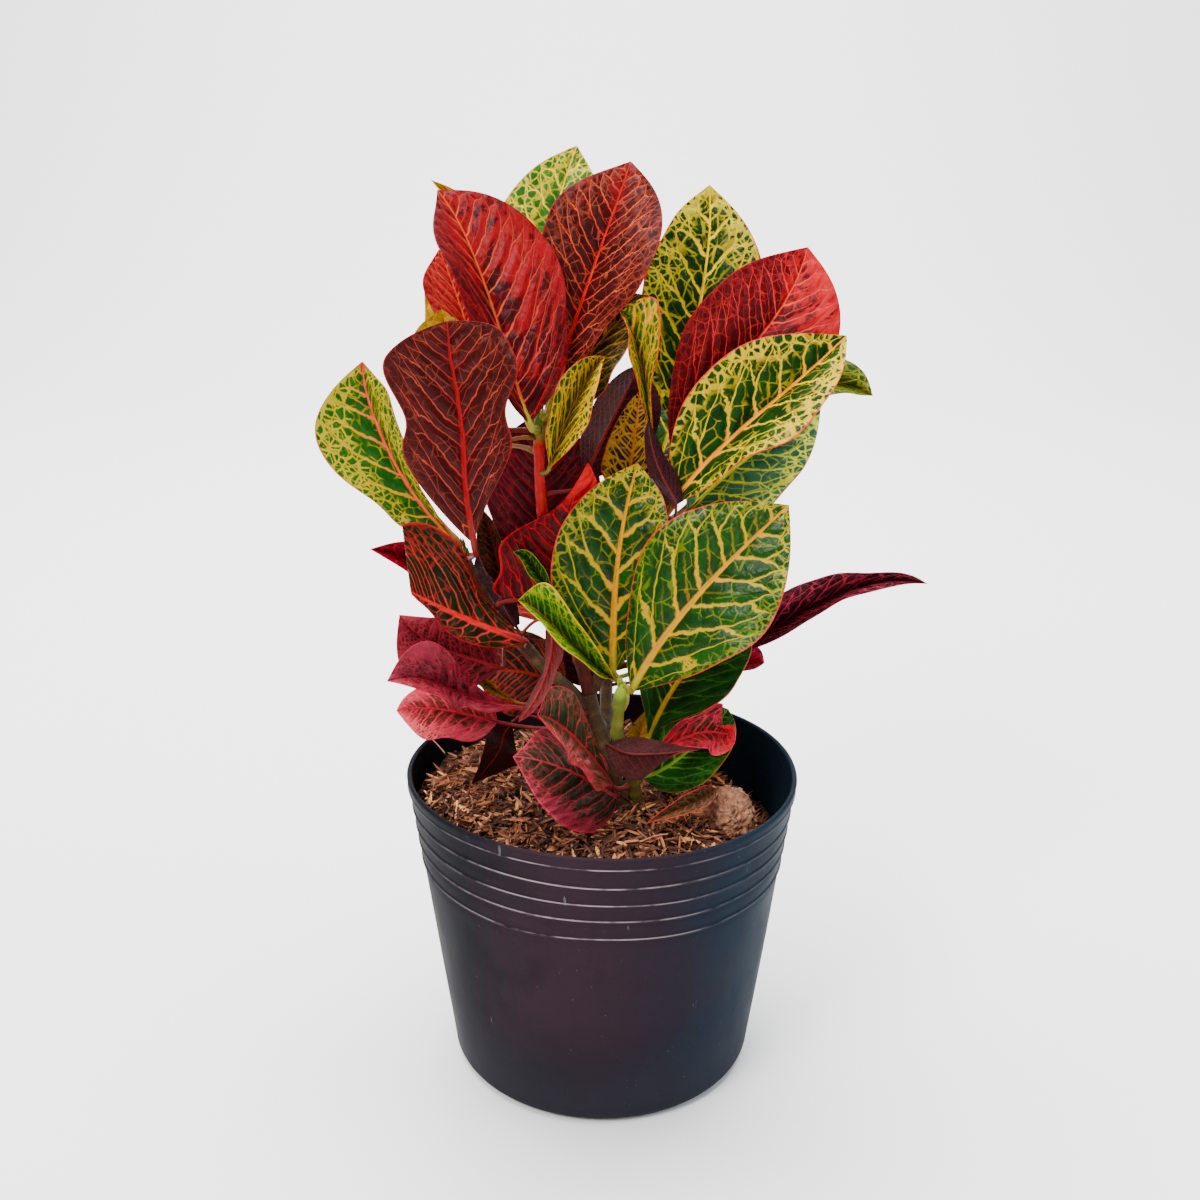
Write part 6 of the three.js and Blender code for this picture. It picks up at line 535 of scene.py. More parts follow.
CLASS_STYLE = {
    "green": dict(dark=(0.0032, 0.0223, 0.0021), mid=(0.0237, 0.1022, 0.0044), light=(0.2764, 0.2122, 0.0012), high=(0.3822, 0.2586, 0.0012), vein=(0.4964, 0.3208, 0.0012), net=(0.1558, 0.2433, 0.0012), edge=(0.2771, 0.0753, 0.0138), b=0.12, hl=0.15, hlw=1.2, hm=0.2, hmw=2.2, nb=0.5, nB=0.3, wm=1.5, wl=0.8, ts=0.4, fs=0.55, rows=8.0, widest=14.0, spark=0.25, stalk="cream"),
    "greenyellow": dict(dark=(0.0023, 0.0138, 0.0017), mid=(0.0119, 0.0814, 0.0038), light=(0.3405, 0.1744, 0.0012), high=(0.4173, 0.2332, 0.0012), vein=(0.5229, 0.2251, 0.0012), net=(0.3447, 0.2010, 0.0012), edge=(0.3064, 0.0393, 0.0071), b=0.36, bt=0.15, ba=0.3, hl=0.2, hlw=1.4, hm=0.25, hmw=2.5, nb=0.6, nB=0.35, wm=1.4, wl=0.85, ts=0.5, fs=0.9, fa=0.5, rows=8.0, widest=14.0, spark=0.3, stalk="orange"),
    "scarlet": dict(isl=0.0, rows=11.5, widest=10.0, fork=0.5, grow=1.0, dark=(0.0269, 0.0012, 0.0018), mid=(0.0806, 0.0020, 0.0034), light=(0.2004, 0.0015, 0.0045), high=(0.3014, 0.0012, 0.0048), vein=(0.5398, 0.0540, 0.0048), net=(0.4200, 0.0235, 0.0078), edge=(0.1644, 0.0015, 0.0043), b=0.5, hl=0.15, hlw=2.0, hm=0.1, nb=0.9, nB=0.4, wm=1.3, wl=0.6, ts=0.4, fs=0.2, fb=0.4, rough=0.36, stalk="red"),
    "maroon": dict(isl=0.0, rows=11.5, widest=10.0, fork=0.5, grow=1.0, dark=(0.0073, 0.0012, 0.0014), mid=(0.0337, 0.0019, 0.0021), light=(0.0804, 0.0031, 0.0036), high=(0.1541, 0.0039, 0.0049), vein=(0.2815, 0.0303, 0.0102), net=(0.1913, 0.0209, 0.0103), edge=(0.1875, 0.0039, 0.0057), b=0.3, hl=0.15, hlw=1.8, hm=0.15, nb=0.6, nB=0.4, wm=1.3, wl=0.5, ts=0.45, fs=0.12, wt=0.3, fb=0.4, rough=0.38, stalk="red"),
    "pinkred": dict(isl=0.65, rows=9.0, widest=10.0, fork=0.5, grow=1.0, dark=(0.0041, 0.0054, 0.0018), mid=(0.0422, 0.0027, 0.0045), light=(0.1878, 0.0035, 0.0131), high=(0.3532, 0.0012, 0.0203), vein=(0.4065, 0.0013, 0.0242), net=(0.2707, 0.0042, 0.0208), edge=(0.3453, 0.0039, 0.0274), b=0.5, ba=0.3, hl=0.3, hlw=1.8, hm=0.25, nb=0.8, nB=0.4, wm=1.4, wl=0.75, ts=0.5, fs=0.6, stalk="pink"),
    "purple": dict(isl=0.0, rows=11.5, widest=10.0, fork=0.5, grow=1.0, dark=(0.0054, 0.0012, 0.0027), mid=(0.0185, 0.0018, 0.0039), light=(0.0503, 0.0032, 0.0065), high=(0.0945, 0.0054, 0.0117), vein=(0.1651, 0.0074, 0.0184), net=(0.0945, 0.0064, 0.0117), edge=(0.1355, 0.0055, 0.0116), b=0.3, hl=0.15, hlw=1.6, hm=0.15, nb=0.5, nB=0.35, wm=1.1, wl=0.5, ts=0.5, fs=0.3, fb=0.45, rough=0.38, stalk="dark"),
}

STYLES = {
    "L01": dict(b=0.5, bt=0.5, bs=0.1, hl=0.1, hlw=2.2, nb=2.3, nB=0.6, cut=0.09, dark=(0.0206, 0.0012, 0.0024), mid=(0.0599, 0.0018, 0.0043), light=(0.1644, 0.0019, 0.0049), high=(0.2292, 0.0014, 0.0055), vein=(0.5253, 0.0774, 0.0189), vein_out=(0.3645, 0.0313, 0.0165), net=(0.2547, 0.0197, 0.0112), wm=1.4, wl=0.5, ls=1.0, ts=0.55, fs=0.1, wt=0.24, side=((0.0263, 0.0017, 0.0030), -0.15, -0.7, 0.5), stalk="cream", rough=0.34, spec=0.07, puff=0.7, rows=10.5),
    "L02": dict(rows=9.5, dark=(0.0151, 0.0013, 0.0015), mid=(0.0434, 0.0026, 0.0028), light=(0.1069, 0.0034, 0.0045), high=(0.1890, 0.0042, 0.0067), vein=(0.3907, 0.0085, 0.0071), net=(0.3251, 0.0406, 0.0152), edge=(0.2154, 0.0044, 0.0065), b=0.28, hl=0.05, nb=0.9, wm=1.6, wl=0.5, ts=0.6, fs=0.25, wt=0.24, stalk="cream", bt=0.5, vein_out=(0.4581, 0.0494, 0.0126), ls=1.0, nt=1.5, spec=0.07, puff=0.8),
    "L03": dict(dark=(0.0068, 0.0607, 0.0058), mid=(0.0420, 0.1674, 0.0133), light=(0.4722, 0.3699, 0.0012), high=(0.6546, 0.4917, 0.0012), vein=(0.8500, 0.5308, 0.0012), net=(0.4911, 0.3844, 0.0012), edge=(0.4811, 0.1070, 0.0071), b=0.1, bt=0.4, ba=0.25, wm=1.3, wl=0.8, ts=0.75, fs=0.9, fa=0.45, rows=6.5, widest=15.0, wt=0.45),
    "L04": dict(b=0.75),
    "L05b": dict(b=0.72),
    "L06": dict(b=0.72),
    "L05": dict(dark=(0.0340, 0.0012, 0.0022), mid=(0.0984, 0.0023, 0.0041), light=(0.1989, 0.0026, 0.0059), high=(0.3198, 0.0019, 0.0067), vein=(0.5341, 0.0538, 0.0176), net=(0.3957, 0.0316, 0.0214), edge=(0.1989, 0.0018, 0.0052), b=0.55, nb=1.4, ts=0.6, wt=0.26, cut=0.07),
    "L07": dict(rows=10.0, dark=(0.0163, 0.0017, 0.0017), mid=(0.0431, 0.0029, 0.0030), light=(0.0750, 0.0039, 0.0040), high=(0.1416, 0.0060, 0.0065), vein=(0.2303, 0.0044, 0.0067), net=(0.1674, 0.0255, 0.0130), edge=(0.1890, 0.0055, 0.0071), b=0.3, wm=2.0, wl=0.46, ts=0.5, fs=0.1, wt=0.24, rough=0.32, bt=0.1, vein_out=(0.2746, 0.0340, 0.0157), ls=1.0, nt=1.6, tip=(0.1204, 0.0052, 0.0060), tip_at=(0.9, 1.1), ew=0.035, spec=0.07, puff=0.8),
    "L08": dict(dark=(0.0034, 0.0338, 0.0031), mid=(0.0124, 0.0907, 0.0057), light=(0.2720, 0.2720, 0.0012), high=(0.4976, 0.3459, 0.0012), vein=(0.6941, 0.1015, 0.0390), net=(0.3459, 0.2856, 0.0012), edge=(0.5323, 0.0268, 0.0130), b=0.04, bt=0.5, ba=0.45, wm=2.2, wl=0.9, ts=0.6, fa=0.5, vein_out=(0.4635, 0.2653, 0.0012), tip=(0.4074, 0.0228, 0.0217), tip_at=(0.94, 1.0), bs=-0.12, spec=0.07),
    "L09": dict(dark=(0.0026, 0.0178, 0.0021), mid=(0.0114, 0.0763, 0.0047), light=(0.5519, 0.3486, 0.0012), high=(0.7695, 0.4607, 0.0012), vein=(0.5641, 0.3015, 0.0012), net=(0.5212, 0.3057, 0.0012), edge=(0.4638, 0.0632, 0.0131), b=0.12, ba=0.15, nb=0.8, wl=1.1, stalk="olive", bs=0.35, grow=1.2, nf=2.3),
    "L10": dict(dark=(0.0055, 0.0072, 0.0024), mid=(0.0175, 0.0273, 0.0046), light=(0.2343, 0.1099, 0.0109), high=(0.4761, 0.2230, 0.0013), vein=(0.4928, 0.1531, 0.0067), net=(0.1878, 0.0963, 0.0136), edge=(0.4113, 0.0552, 0.0107), b=-0.1, wl=0.8, ts=0.7, fs=0.3),
    "L11": dict(dark=(0.0072, 0.0022, 0.0027), mid=(0.0154, 0.0034, 0.0039), light=(0.0303, 0.0048, 0.0052), high=(0.0492, 0.0074, 0.0079), vein=(0.1389, 0.0525, 0.0296), net=(0.1195, 0.0440, 0.0257), wl=0.45, ts=0.8, wt=0.4, fs=0.15),
    "L12": dict(dark=(0.0012, 0.0016, 0.0012), mid=(0.0023, 0.0030, 0.0012), light=(0.1645, 0.0902, 0.0033), high=(0.2362, 0.1278, 0.0012), vein=(0.2657, 0.0852, 0.0042), net=(0.2531, 0.1161, 0.0012), edge=(0.2295, 0.0056, 0.0039), b=-0.3, wl=0.8, ts=0.95, fs=0.8, vein_out=(0.2679, 0.1130, 0.0012), ew=0.06, fa=0.6, wt=0.45, nt=1.7),
    "L13": dict(dark=(0.0031, 0.0211, 0.0022), mid=(0.0186, 0.1113, 0.0050), light=(0.4370, 0.2602, 0.0012), high=(0.5335, 0.3123, 0.0012), vein=(0.5757, 0.2164, 0.0012), net=(0.4624, 0.2708, 0.0012), edge=(0.4572, 0.0113, 0.0083), b=0.2, nb=0.8, wl=1.15, fs=0.6, rows=5.0, ew=0.07, grow=1.2, nf=2.6, wf=0.5),
    "L14": dict(dark=(0.0021, 0.0124, 0.0020), mid=(0.0048, 0.0406, 0.0045), light=(0.5162, 0.3763, 0.0012), high=(0.7961, 0.5395, 0.0012), vein=(0.8500, 0.5745, 0.0012), net=(0.4399, 0.3595, 0.0012), edge=(0.5100, 0.0237, 0.0168), b=0.14, bt=0.5, ba=0.35, nb=0.7, wm=1.6, wl=1.15, ts=0.65, fs=0.75, fa=0.55, rows=6.5, widest=16.0, vein_out=(0.5366, 0.3695, 0.0012), ew=0.035, wt=0.42, nt=1.2, nf=2.0, wf=0.5, tip=(0.5279, 0.3842, 0.0012), tip_at=(0.93, 1.0), half=0.3, spec=0.06),
    "L15": dict(rows=9.0, dark=(0.0379, 0.0016, 0.0028), mid=(0.0919, 0.0025, 0.0047), light=(0.2765, 0.0012, 0.0055), high=(0.3786, 0.0012, 0.0069), vein=(0.6644, 0.0462, 0.0242), net=(0.4332, 0.0163, 0.0151), edge=(0.2285, 0.0021, 0.0060), b=0.05, nb=1.7, wl=0.5, ts=0.6, fs=0.2, rough=0.34, bt=1.3, bs=0.3, cut=0.08, vein_out=(0.4758, 0.0187, 0.0176), ls=1.0, wt=0.26, nt=1.6, puff=0.7, spec=0.05),
    "L16": dict(dark=(0.0018, 0.0117, 0.0015), mid=(0.0054, 0.0550, 0.0035), light=(0.5145, 0.4026, 0.0012), high=(0.7701, 0.5218, 0.0012), vein=(0.8500, 0.3640, 0.0012), net=(0.4752, 0.3226, 0.0012), edge=(0.5800, 0.0146, 0.0114), b=0.08, bt=0.4, ba=0.4, nb=0.9, wm=2.0, wl=1.05, ts=0.5, fs=0.95, fa=0.66, rows=6.6, widest=17.0, spark=0.3, bs=0.12, vein_out=(0.5524, 0.3488, 0.0012), ew=0.03, nf=1.9, wf=0.6, half=0.3, grow=1.5, fork=0.38, meet=0.8, rough=0.36, spec=0.06),
    "L17": dict(b=0.1, dark=(0.0111, 0.0404, 0.0070), mid=(0.0481, 0.1091, 0.0174), light=(0.3627, 0.3260, 0.0012), vein=(0.4989, 0.4009, 0.0012), net=(0.2248, 0.2551, 0.0157), edge=(0.0997, 0.0229, 0.0097)),
    "L18": dict(dark=(0.0213, 0.0794, 0.0401), mid=(0.0636, 0.2359, 0.1187), light=(0.8500, 0.8500, 0.0725), high=(0.8500, 0.8500, 0.0205), vein=(0.8500, 0.8500, 0.0396), net=(0.8500, 0.8500, 0.0318), edge=(0.4638, 0.0360, 0.0484), b=0.02, ba=0.1, hm=0.1, wl=0.8, ts=0.5, fs=0.85, fa=0.7, rows=7.0, spark=0.1, vein_out=(0.8500, 0.8500, 0.0012), nf=2.1, wf=0.5, half=0.3),
    "L20": dict(dark=(0.0217, 0.0012, 0.0033), mid=(0.0541, 0.0023, 0.0055), light=(0.1060, 0.0034, 0.0075), high=(0.1889, 0.0041, 0.0105), vein=(0.2434, 0.0034, 0.0131), net=(0.1772, 0.0042, 0.0117), edge=(0.2602, 0.0053, 0.0078), wl=0.55, ts=0.7, wt=0.35, nt=1.6),
    "L21": dict(dark=(0.0313, 0.0015, 0.0030), mid=(0.0870, 0.0029, 0.0057), light=(0.2083, 0.0045, 0.0084), high=(0.4213, 0.0012, 0.0080), vein=(0.4559, 0.0012, 0.0086), net=(0.2680, 0.0042, 0.0105), edge=(0.5380, 0.0012, 0.0077), b=0.36, wl=0.7, ba=0.1, tip=(0.6204, 0.0012, 0.0051), tip_at=(0.72, 0.9), ew=0.07),
    "L22": dict(dark=(0.0023, 0.0147, 0.0017), mid=(0.0087, 0.0801, 0.0031), light=(0.3668, 0.2743, 0.0012), high=(0.4574, 0.3292, 0.0012), vein=(0.4861, 0.2212, 0.0012), net=(0.2607, 0.2335, 0.0012), edge=(0.4932, 0.0272, 0.0137), b=0.0, nb=0.8, nB=0.3, wm=2.4, wl=1.35, ts=0.36, fs=0.6, rows=6.4, widest=17.0, spark=0.35, bt=0.85, ba=0.3, fb=0.36, vein_out=(0.3729, 0.2396, 0.0012), fa=0.72, nt=1.2, wt=0.36, half=0.3, es=0.8, rough=0.3, spec=0.12),
    "L22b": dict(dark=(0.0044, 0.0368, 0.0029), mid=(0.0155, 0.1154, 0.0061), light=(0.3806, 0.3055, 0.0012), high=(0.4419, 0.3455, 0.0012), vein=(0.4786, 0.3341, 0.0012), net=(0.2458, 0.3181, 0.0012), edge=(0.5343, 0.3194, 0.0012), b=0.2, wl=0.5, fs=0.6, rows=12.0, ba=0.4, vein_out=(0.1945, 0.3078, 0.0019), half=0.6, ew=0.06, fa=0.6),
    "L23": dict(dark=(0.0027, 0.0198, 0.0018), mid=(0.0083, 0.0760, 0.0033), light=(0.3569, 0.2833, 0.0012), high=(0.4691, 0.3376, 0.0012), vein=(0.4985, 0.2270, 0.0012), net=(0.2272, 0.2491, 0.0012), edge=(0.5009, 0.0226, 0.0151), b=-0.02, nb=0.75, nB=0.3, wm=2.4, wl=1.35, ts=0.36, fs=0.5, rows=6.6, widest=17.0, spark=0.35, bt=0.7, ba=0.3, fb=0.36, vein_out=(0.3824, 0.2458, 0.0012), fa=0.8, nt=1.2, wt=0.36, half=0.3, es=0.8, rough=0.3, spec=0.12),
    "L24": dict(b=0.05, ba=0.3, vein=(0.1439, 0.2285, 0.0048), light=(0.1823, 0.2365, 0.0012), net=(0.0203, 0.0843, 0.0056), edge=(0.1855, 0.2115, 0.0067), dark=(0.0033, 0.0255, 0.0022), mid=(0.0067, 0.0617, 0.0044)),
    "L25": dict(isl=1.0, rows=8.0, dark=(0.0036, 0.0076, 0.0012), mid=(0.0071, 0.0141, 0.0023), light=(0.3723, 0.0075, 0.0101), high=(0.5074, 0.0161, 0.0207), vein=(0.5361, 0.0069, 0.0087), net=(0.3459, 0.0117, 0.0142), edge=(0.4055, 0.0012, 0.0089), b=-0.3, ba=0.2, hl=0.1, wm=2.4, wl=0.6, ts=0.45, fs=0.35, vein_out=(0.4523, 0.0132, 0.0171), bt=0.0, bs=-0.3, ew=0.05, half=0.8, wt=0.4, fa=0.7, ls=0.9),
    "L26": dict(dark=(0.0247, 0.0017, 0.0033), mid=(0.0599, 0.0022, 0.0043), light=(0.1046, 0.0032, 0.0060), high=(0.1644, 0.0035, 0.0070)),
    "L28": dict(isl=0.25, grow=1.4, dark=(0.0069, 0.0091, 0.0023), mid=(0.0256, 0.0109, 0.0045), light=(0.1998, 0.0094, 0.0237), high=(0.3131, 0.0195, 0.0383), vein=(0.4020, 0.0240, 0.0430), net=(0.3116, 0.0206, 0.0339), edge=(0.4160, 0.0046, 0.0346), b=0.6, ba=0.1, nb=1.9, wl=0.5, ts=0.4, bt=0.3, cut=0.06, nf=2.6, tip=(0.4609, 0.0369, 0.0685), tip_at=(0.85, 1.1), dash=0.95, dashes=9.0, da=0.3, ls=0.8, dt=-0.1),
    "L29": dict(isl=0.15, dark=(0.0142, 0.0044, 0.0029), mid=(0.0389, 0.0075, 0.0044), light=(0.1582, 0.0065, 0.0173), high=(0.2292, 0.0123, 0.0301), vein=(0.2668, 0.0130, 0.0247), net=(0.1961, 0.0107, 0.0188), edge=(0.3311, 0.0037, 0.0260), b=0.62, ba=0.3, nb=2.0, nB=0.5, wl=0.45, ts=0.35, bt=0.2, cut=0.07, tip=(0.4185, 0.0378, 0.0699), tip_at=(0.85, 1.1), dash=0.9, dashes=11.0, ls=0.7, dt=0.1),
    "L30": dict(isl=0.3, dark=(0.0271, 0.0295, 0.0060), mid=(0.0678, 0.0370, 0.0112), light=(0.3345, 0.0265, 0.0464), high=(0.5659, 0.0594, 0.0871), vein=(0.8500, 0.0483, 0.0953), net=(0.6416, 0.0282, 0.0692), edge=(0.5575, 0.0062, 0.0489), b=0.6, ba=0.6, nb=1.8, wl=0.55, ts=0.35, cut=0.06, wt=0.3, tip=(0.7786, 0.0731, 0.1161), tip_at=(0.8, 1.1), dash=0.95, dashes=9.0, dt=0.1),
    "L31": dict(b=0.5),
    "L32": dict(dash=0.6, dashes=8.0, da=0.0),
    "L33": dict(isl=0.4, dark=(0.0068, 0.0168, 0.0046), mid=(0.0259, 0.0281, 0.0082), light=(0.1860, 0.0151, 0.0193), high=(0.3207, 0.0253, 0.0288), vein=(0.3470, 0.0227, 0.0275), net=(0.2316, 0.0218, 0.0201), edge=(0.3607, 0.0040, 0.0290), b=0.3, ba=0.45, nb=1.6, wl=0.5, ts=0.35, bs=-0.5, cut=0.06, dash=0.95, dashes=7.0, da=0.3),
    "L34": dict(isl=0.35, dark=(0.0079, 0.0180, 0.0081), mid=(0.0354, 0.0290, 0.0153), light=(0.2488, 0.0178, 0.0327), high=(0.4609, 0.0369, 0.0685), vein=(0.4028, 0.0301, 0.0421), net=(0.3454, 0.0354, 0.0446), edge=(0.7056, 0.0354, 0.0883), b=0.35, ba=0.7, nb=1.0, wl=0.5, ts=0.3, fs=0.2, cut=0.06, fa=0.5, nt=1.4, wt=0.36, ew=0.07, dash=0.95, dashes=7.0, da=0.5),
    "L35": dict(isl=0.35, grow=1.7, dark=(0.0047, 0.0148, 0.0023), mid=(0.0189, 0.0111, 0.0037), light=(0.2442, 0.0101, 0.0195), high=(0.4168, 0.0077, 0.0252), vein=(0.4302, 0.0188, 0.0320), net=(0.3265, 0.0050, 0.0266), edge=(0.5755, 0.0129, 0.0495), b=0.42, nb=1.7, wl=0.55, ts=0.35, bs=0.15, cut=0.06, ew=0.05, wt=0.34, tip=(0.5659, 0.0012, 0.0167), tip_at=(0.75, 1.0), dash=0.9, dashes=8.0, da=0.0, dt=0.1),
    "L35b": dict(dark=(0.0400, 0.0023, 0.0040), mid=(0.0889, 0.0037, 0.0062), light=(0.1955, 0.0050, 0.0130), high=(0.3837, 0.0031, 0.0158), vein=(0.2915, 0.0050, 0.0226), net=(0.1834, 0.0062, 0.0156), edge=(0.4621, 0.0063, 0.0294), b=0.25, nb=0.8, wl=0.5, ts=0.5, bt=1.1, under="maroon"),
    "L36": dict(dark=(0.0027, 0.0149, 0.0017), mid=(0.0065, 0.0609, 0.0038), light=(0.3655, 0.2646, 0.0012), high=(0.5124, 0.3476, 0.0012), vein=(0.6340, 0.4064, 0.0012), net=(0.0183, 0.0717, 0.0064), edge=(0.3722, 0.1032, 0.0211), b=-0.1, wm=2.0, wl=0.6, ts=0.2, fs=0.15, spark=0.3, stalk="cream", vein_out=(0.0481, 0.1239, 0.0128), ls=0.7, half=0.2),
    "L37": dict(dark=(0.0037, 0.0292, 0.0036), mid=(0.0117, 0.1083, 0.0081), light=(0.4413, 0.4081, 0.0012), high=(0.6050, 0.4627, 0.0012), vein=(0.2018, 0.3388, 0.0276), net=(0.0443, 0.1963, 0.0218), edge=(0.5397, 0.1523, 0.0341), b=0.02, nb=1.0, wl=0.6, ts=0.4, fs=0.4, spark=0.4, ba=0.3, vein_out=(0.0682, 0.2283, 0.0236)),
    "L38": dict(isl=0.9, dark=(0.0133, 0.0234, 0.0052), mid=(0.0449, 0.0548, 0.0217), light=(0.3685, 0.0273, 0.0260), high=(0.5633, 0.0446, 0.0372), vein=(0.2273, 0.0605, 0.0270), net=(0.1270, 0.0745, 0.0193), edge=(0.6490, 0.0282, 0.0392), b=0.1, ba=0.3, nb=1.2, ts=0.3, ew=0.08),
    "L39": dict(dark=(0.0155, 0.0042, 0.0063), mid=(0.0425, 0.0063, 0.0111), light=(0.1171, 0.0085, 0.0263), high=(0.2080, 0.0135, 0.0345), vein=(0.5019, 0.0294, 0.0668), net=(0.3275, 0.0331, 0.0596), edge=(0.2678, 0.0127, 0.0300), b=0.35, wl=0.8, ts=0.9),
    "L40": dict(b=0.3),
    "L41": dict(dark=(0.0380, 0.0017, 0.0029), mid=(0.0840, 0.0026, 0.0044), light=(0.1530, 0.0036, 0.0062), high=(0.2554, 0.0033, 0.0074), vein=(0.2730, 0.0055, 0.0123), net=(0.3441, 0.0053, 0.0285), edge=(0.4383, 0.0049, 0.0368), b=0.35, under="scarlet"),
    "L42a": dict(dark=(0.0027, 0.0060, 0.0018), mid=(0.0052, 0.0130, 0.0033), light=(0.0799, 0.0047, 0.0055), edge=(0.1644, 0.0051, 0.0079), vein=(0.1355, 0.0094, 0.0080)),
    "L43": dict(b=0.6, dark=(0.0018, 0.0021, 0.0012), mid=(0.0035, 0.0045, 0.0019)),
    "B01": dict(b=0.7, bt=0.3),
    "B02": dict(b=0.25, bt=0.3),
    "B04": dict(b=0.5),
    "B05": dict(b=0.25, bt=0.3),
    "B06": dict(b=0.02, ba=0.3, dark=(0.0027, 0.0055, 0.0015), mid=(0.0151, 0.0051, 0.0030), light=(0.1644, 0.0055, 0.0159), high=(0.2724, 0.0067, 0.0236), vein=(0.2744, 0.0186, 0.0091), net=(0.2046, 0.0184, 0.0100), isl=1.0, ts=0.8),
    "B11": dict(dark=(0.0046, 0.0012, 0.0021), mid=(0.0132, 0.0016, 0.0033), light=(0.0277, 0.0023, 0.0043), high=(0.0418, 0.0032, 0.0060), vein=(0.0798, 0.0052, 0.0086), net=(0.0503, 0.0036, 0.0061)),
    "B07": dict(b=0.14),
    "B09": dict(b=0.35, bt=0.4),
}


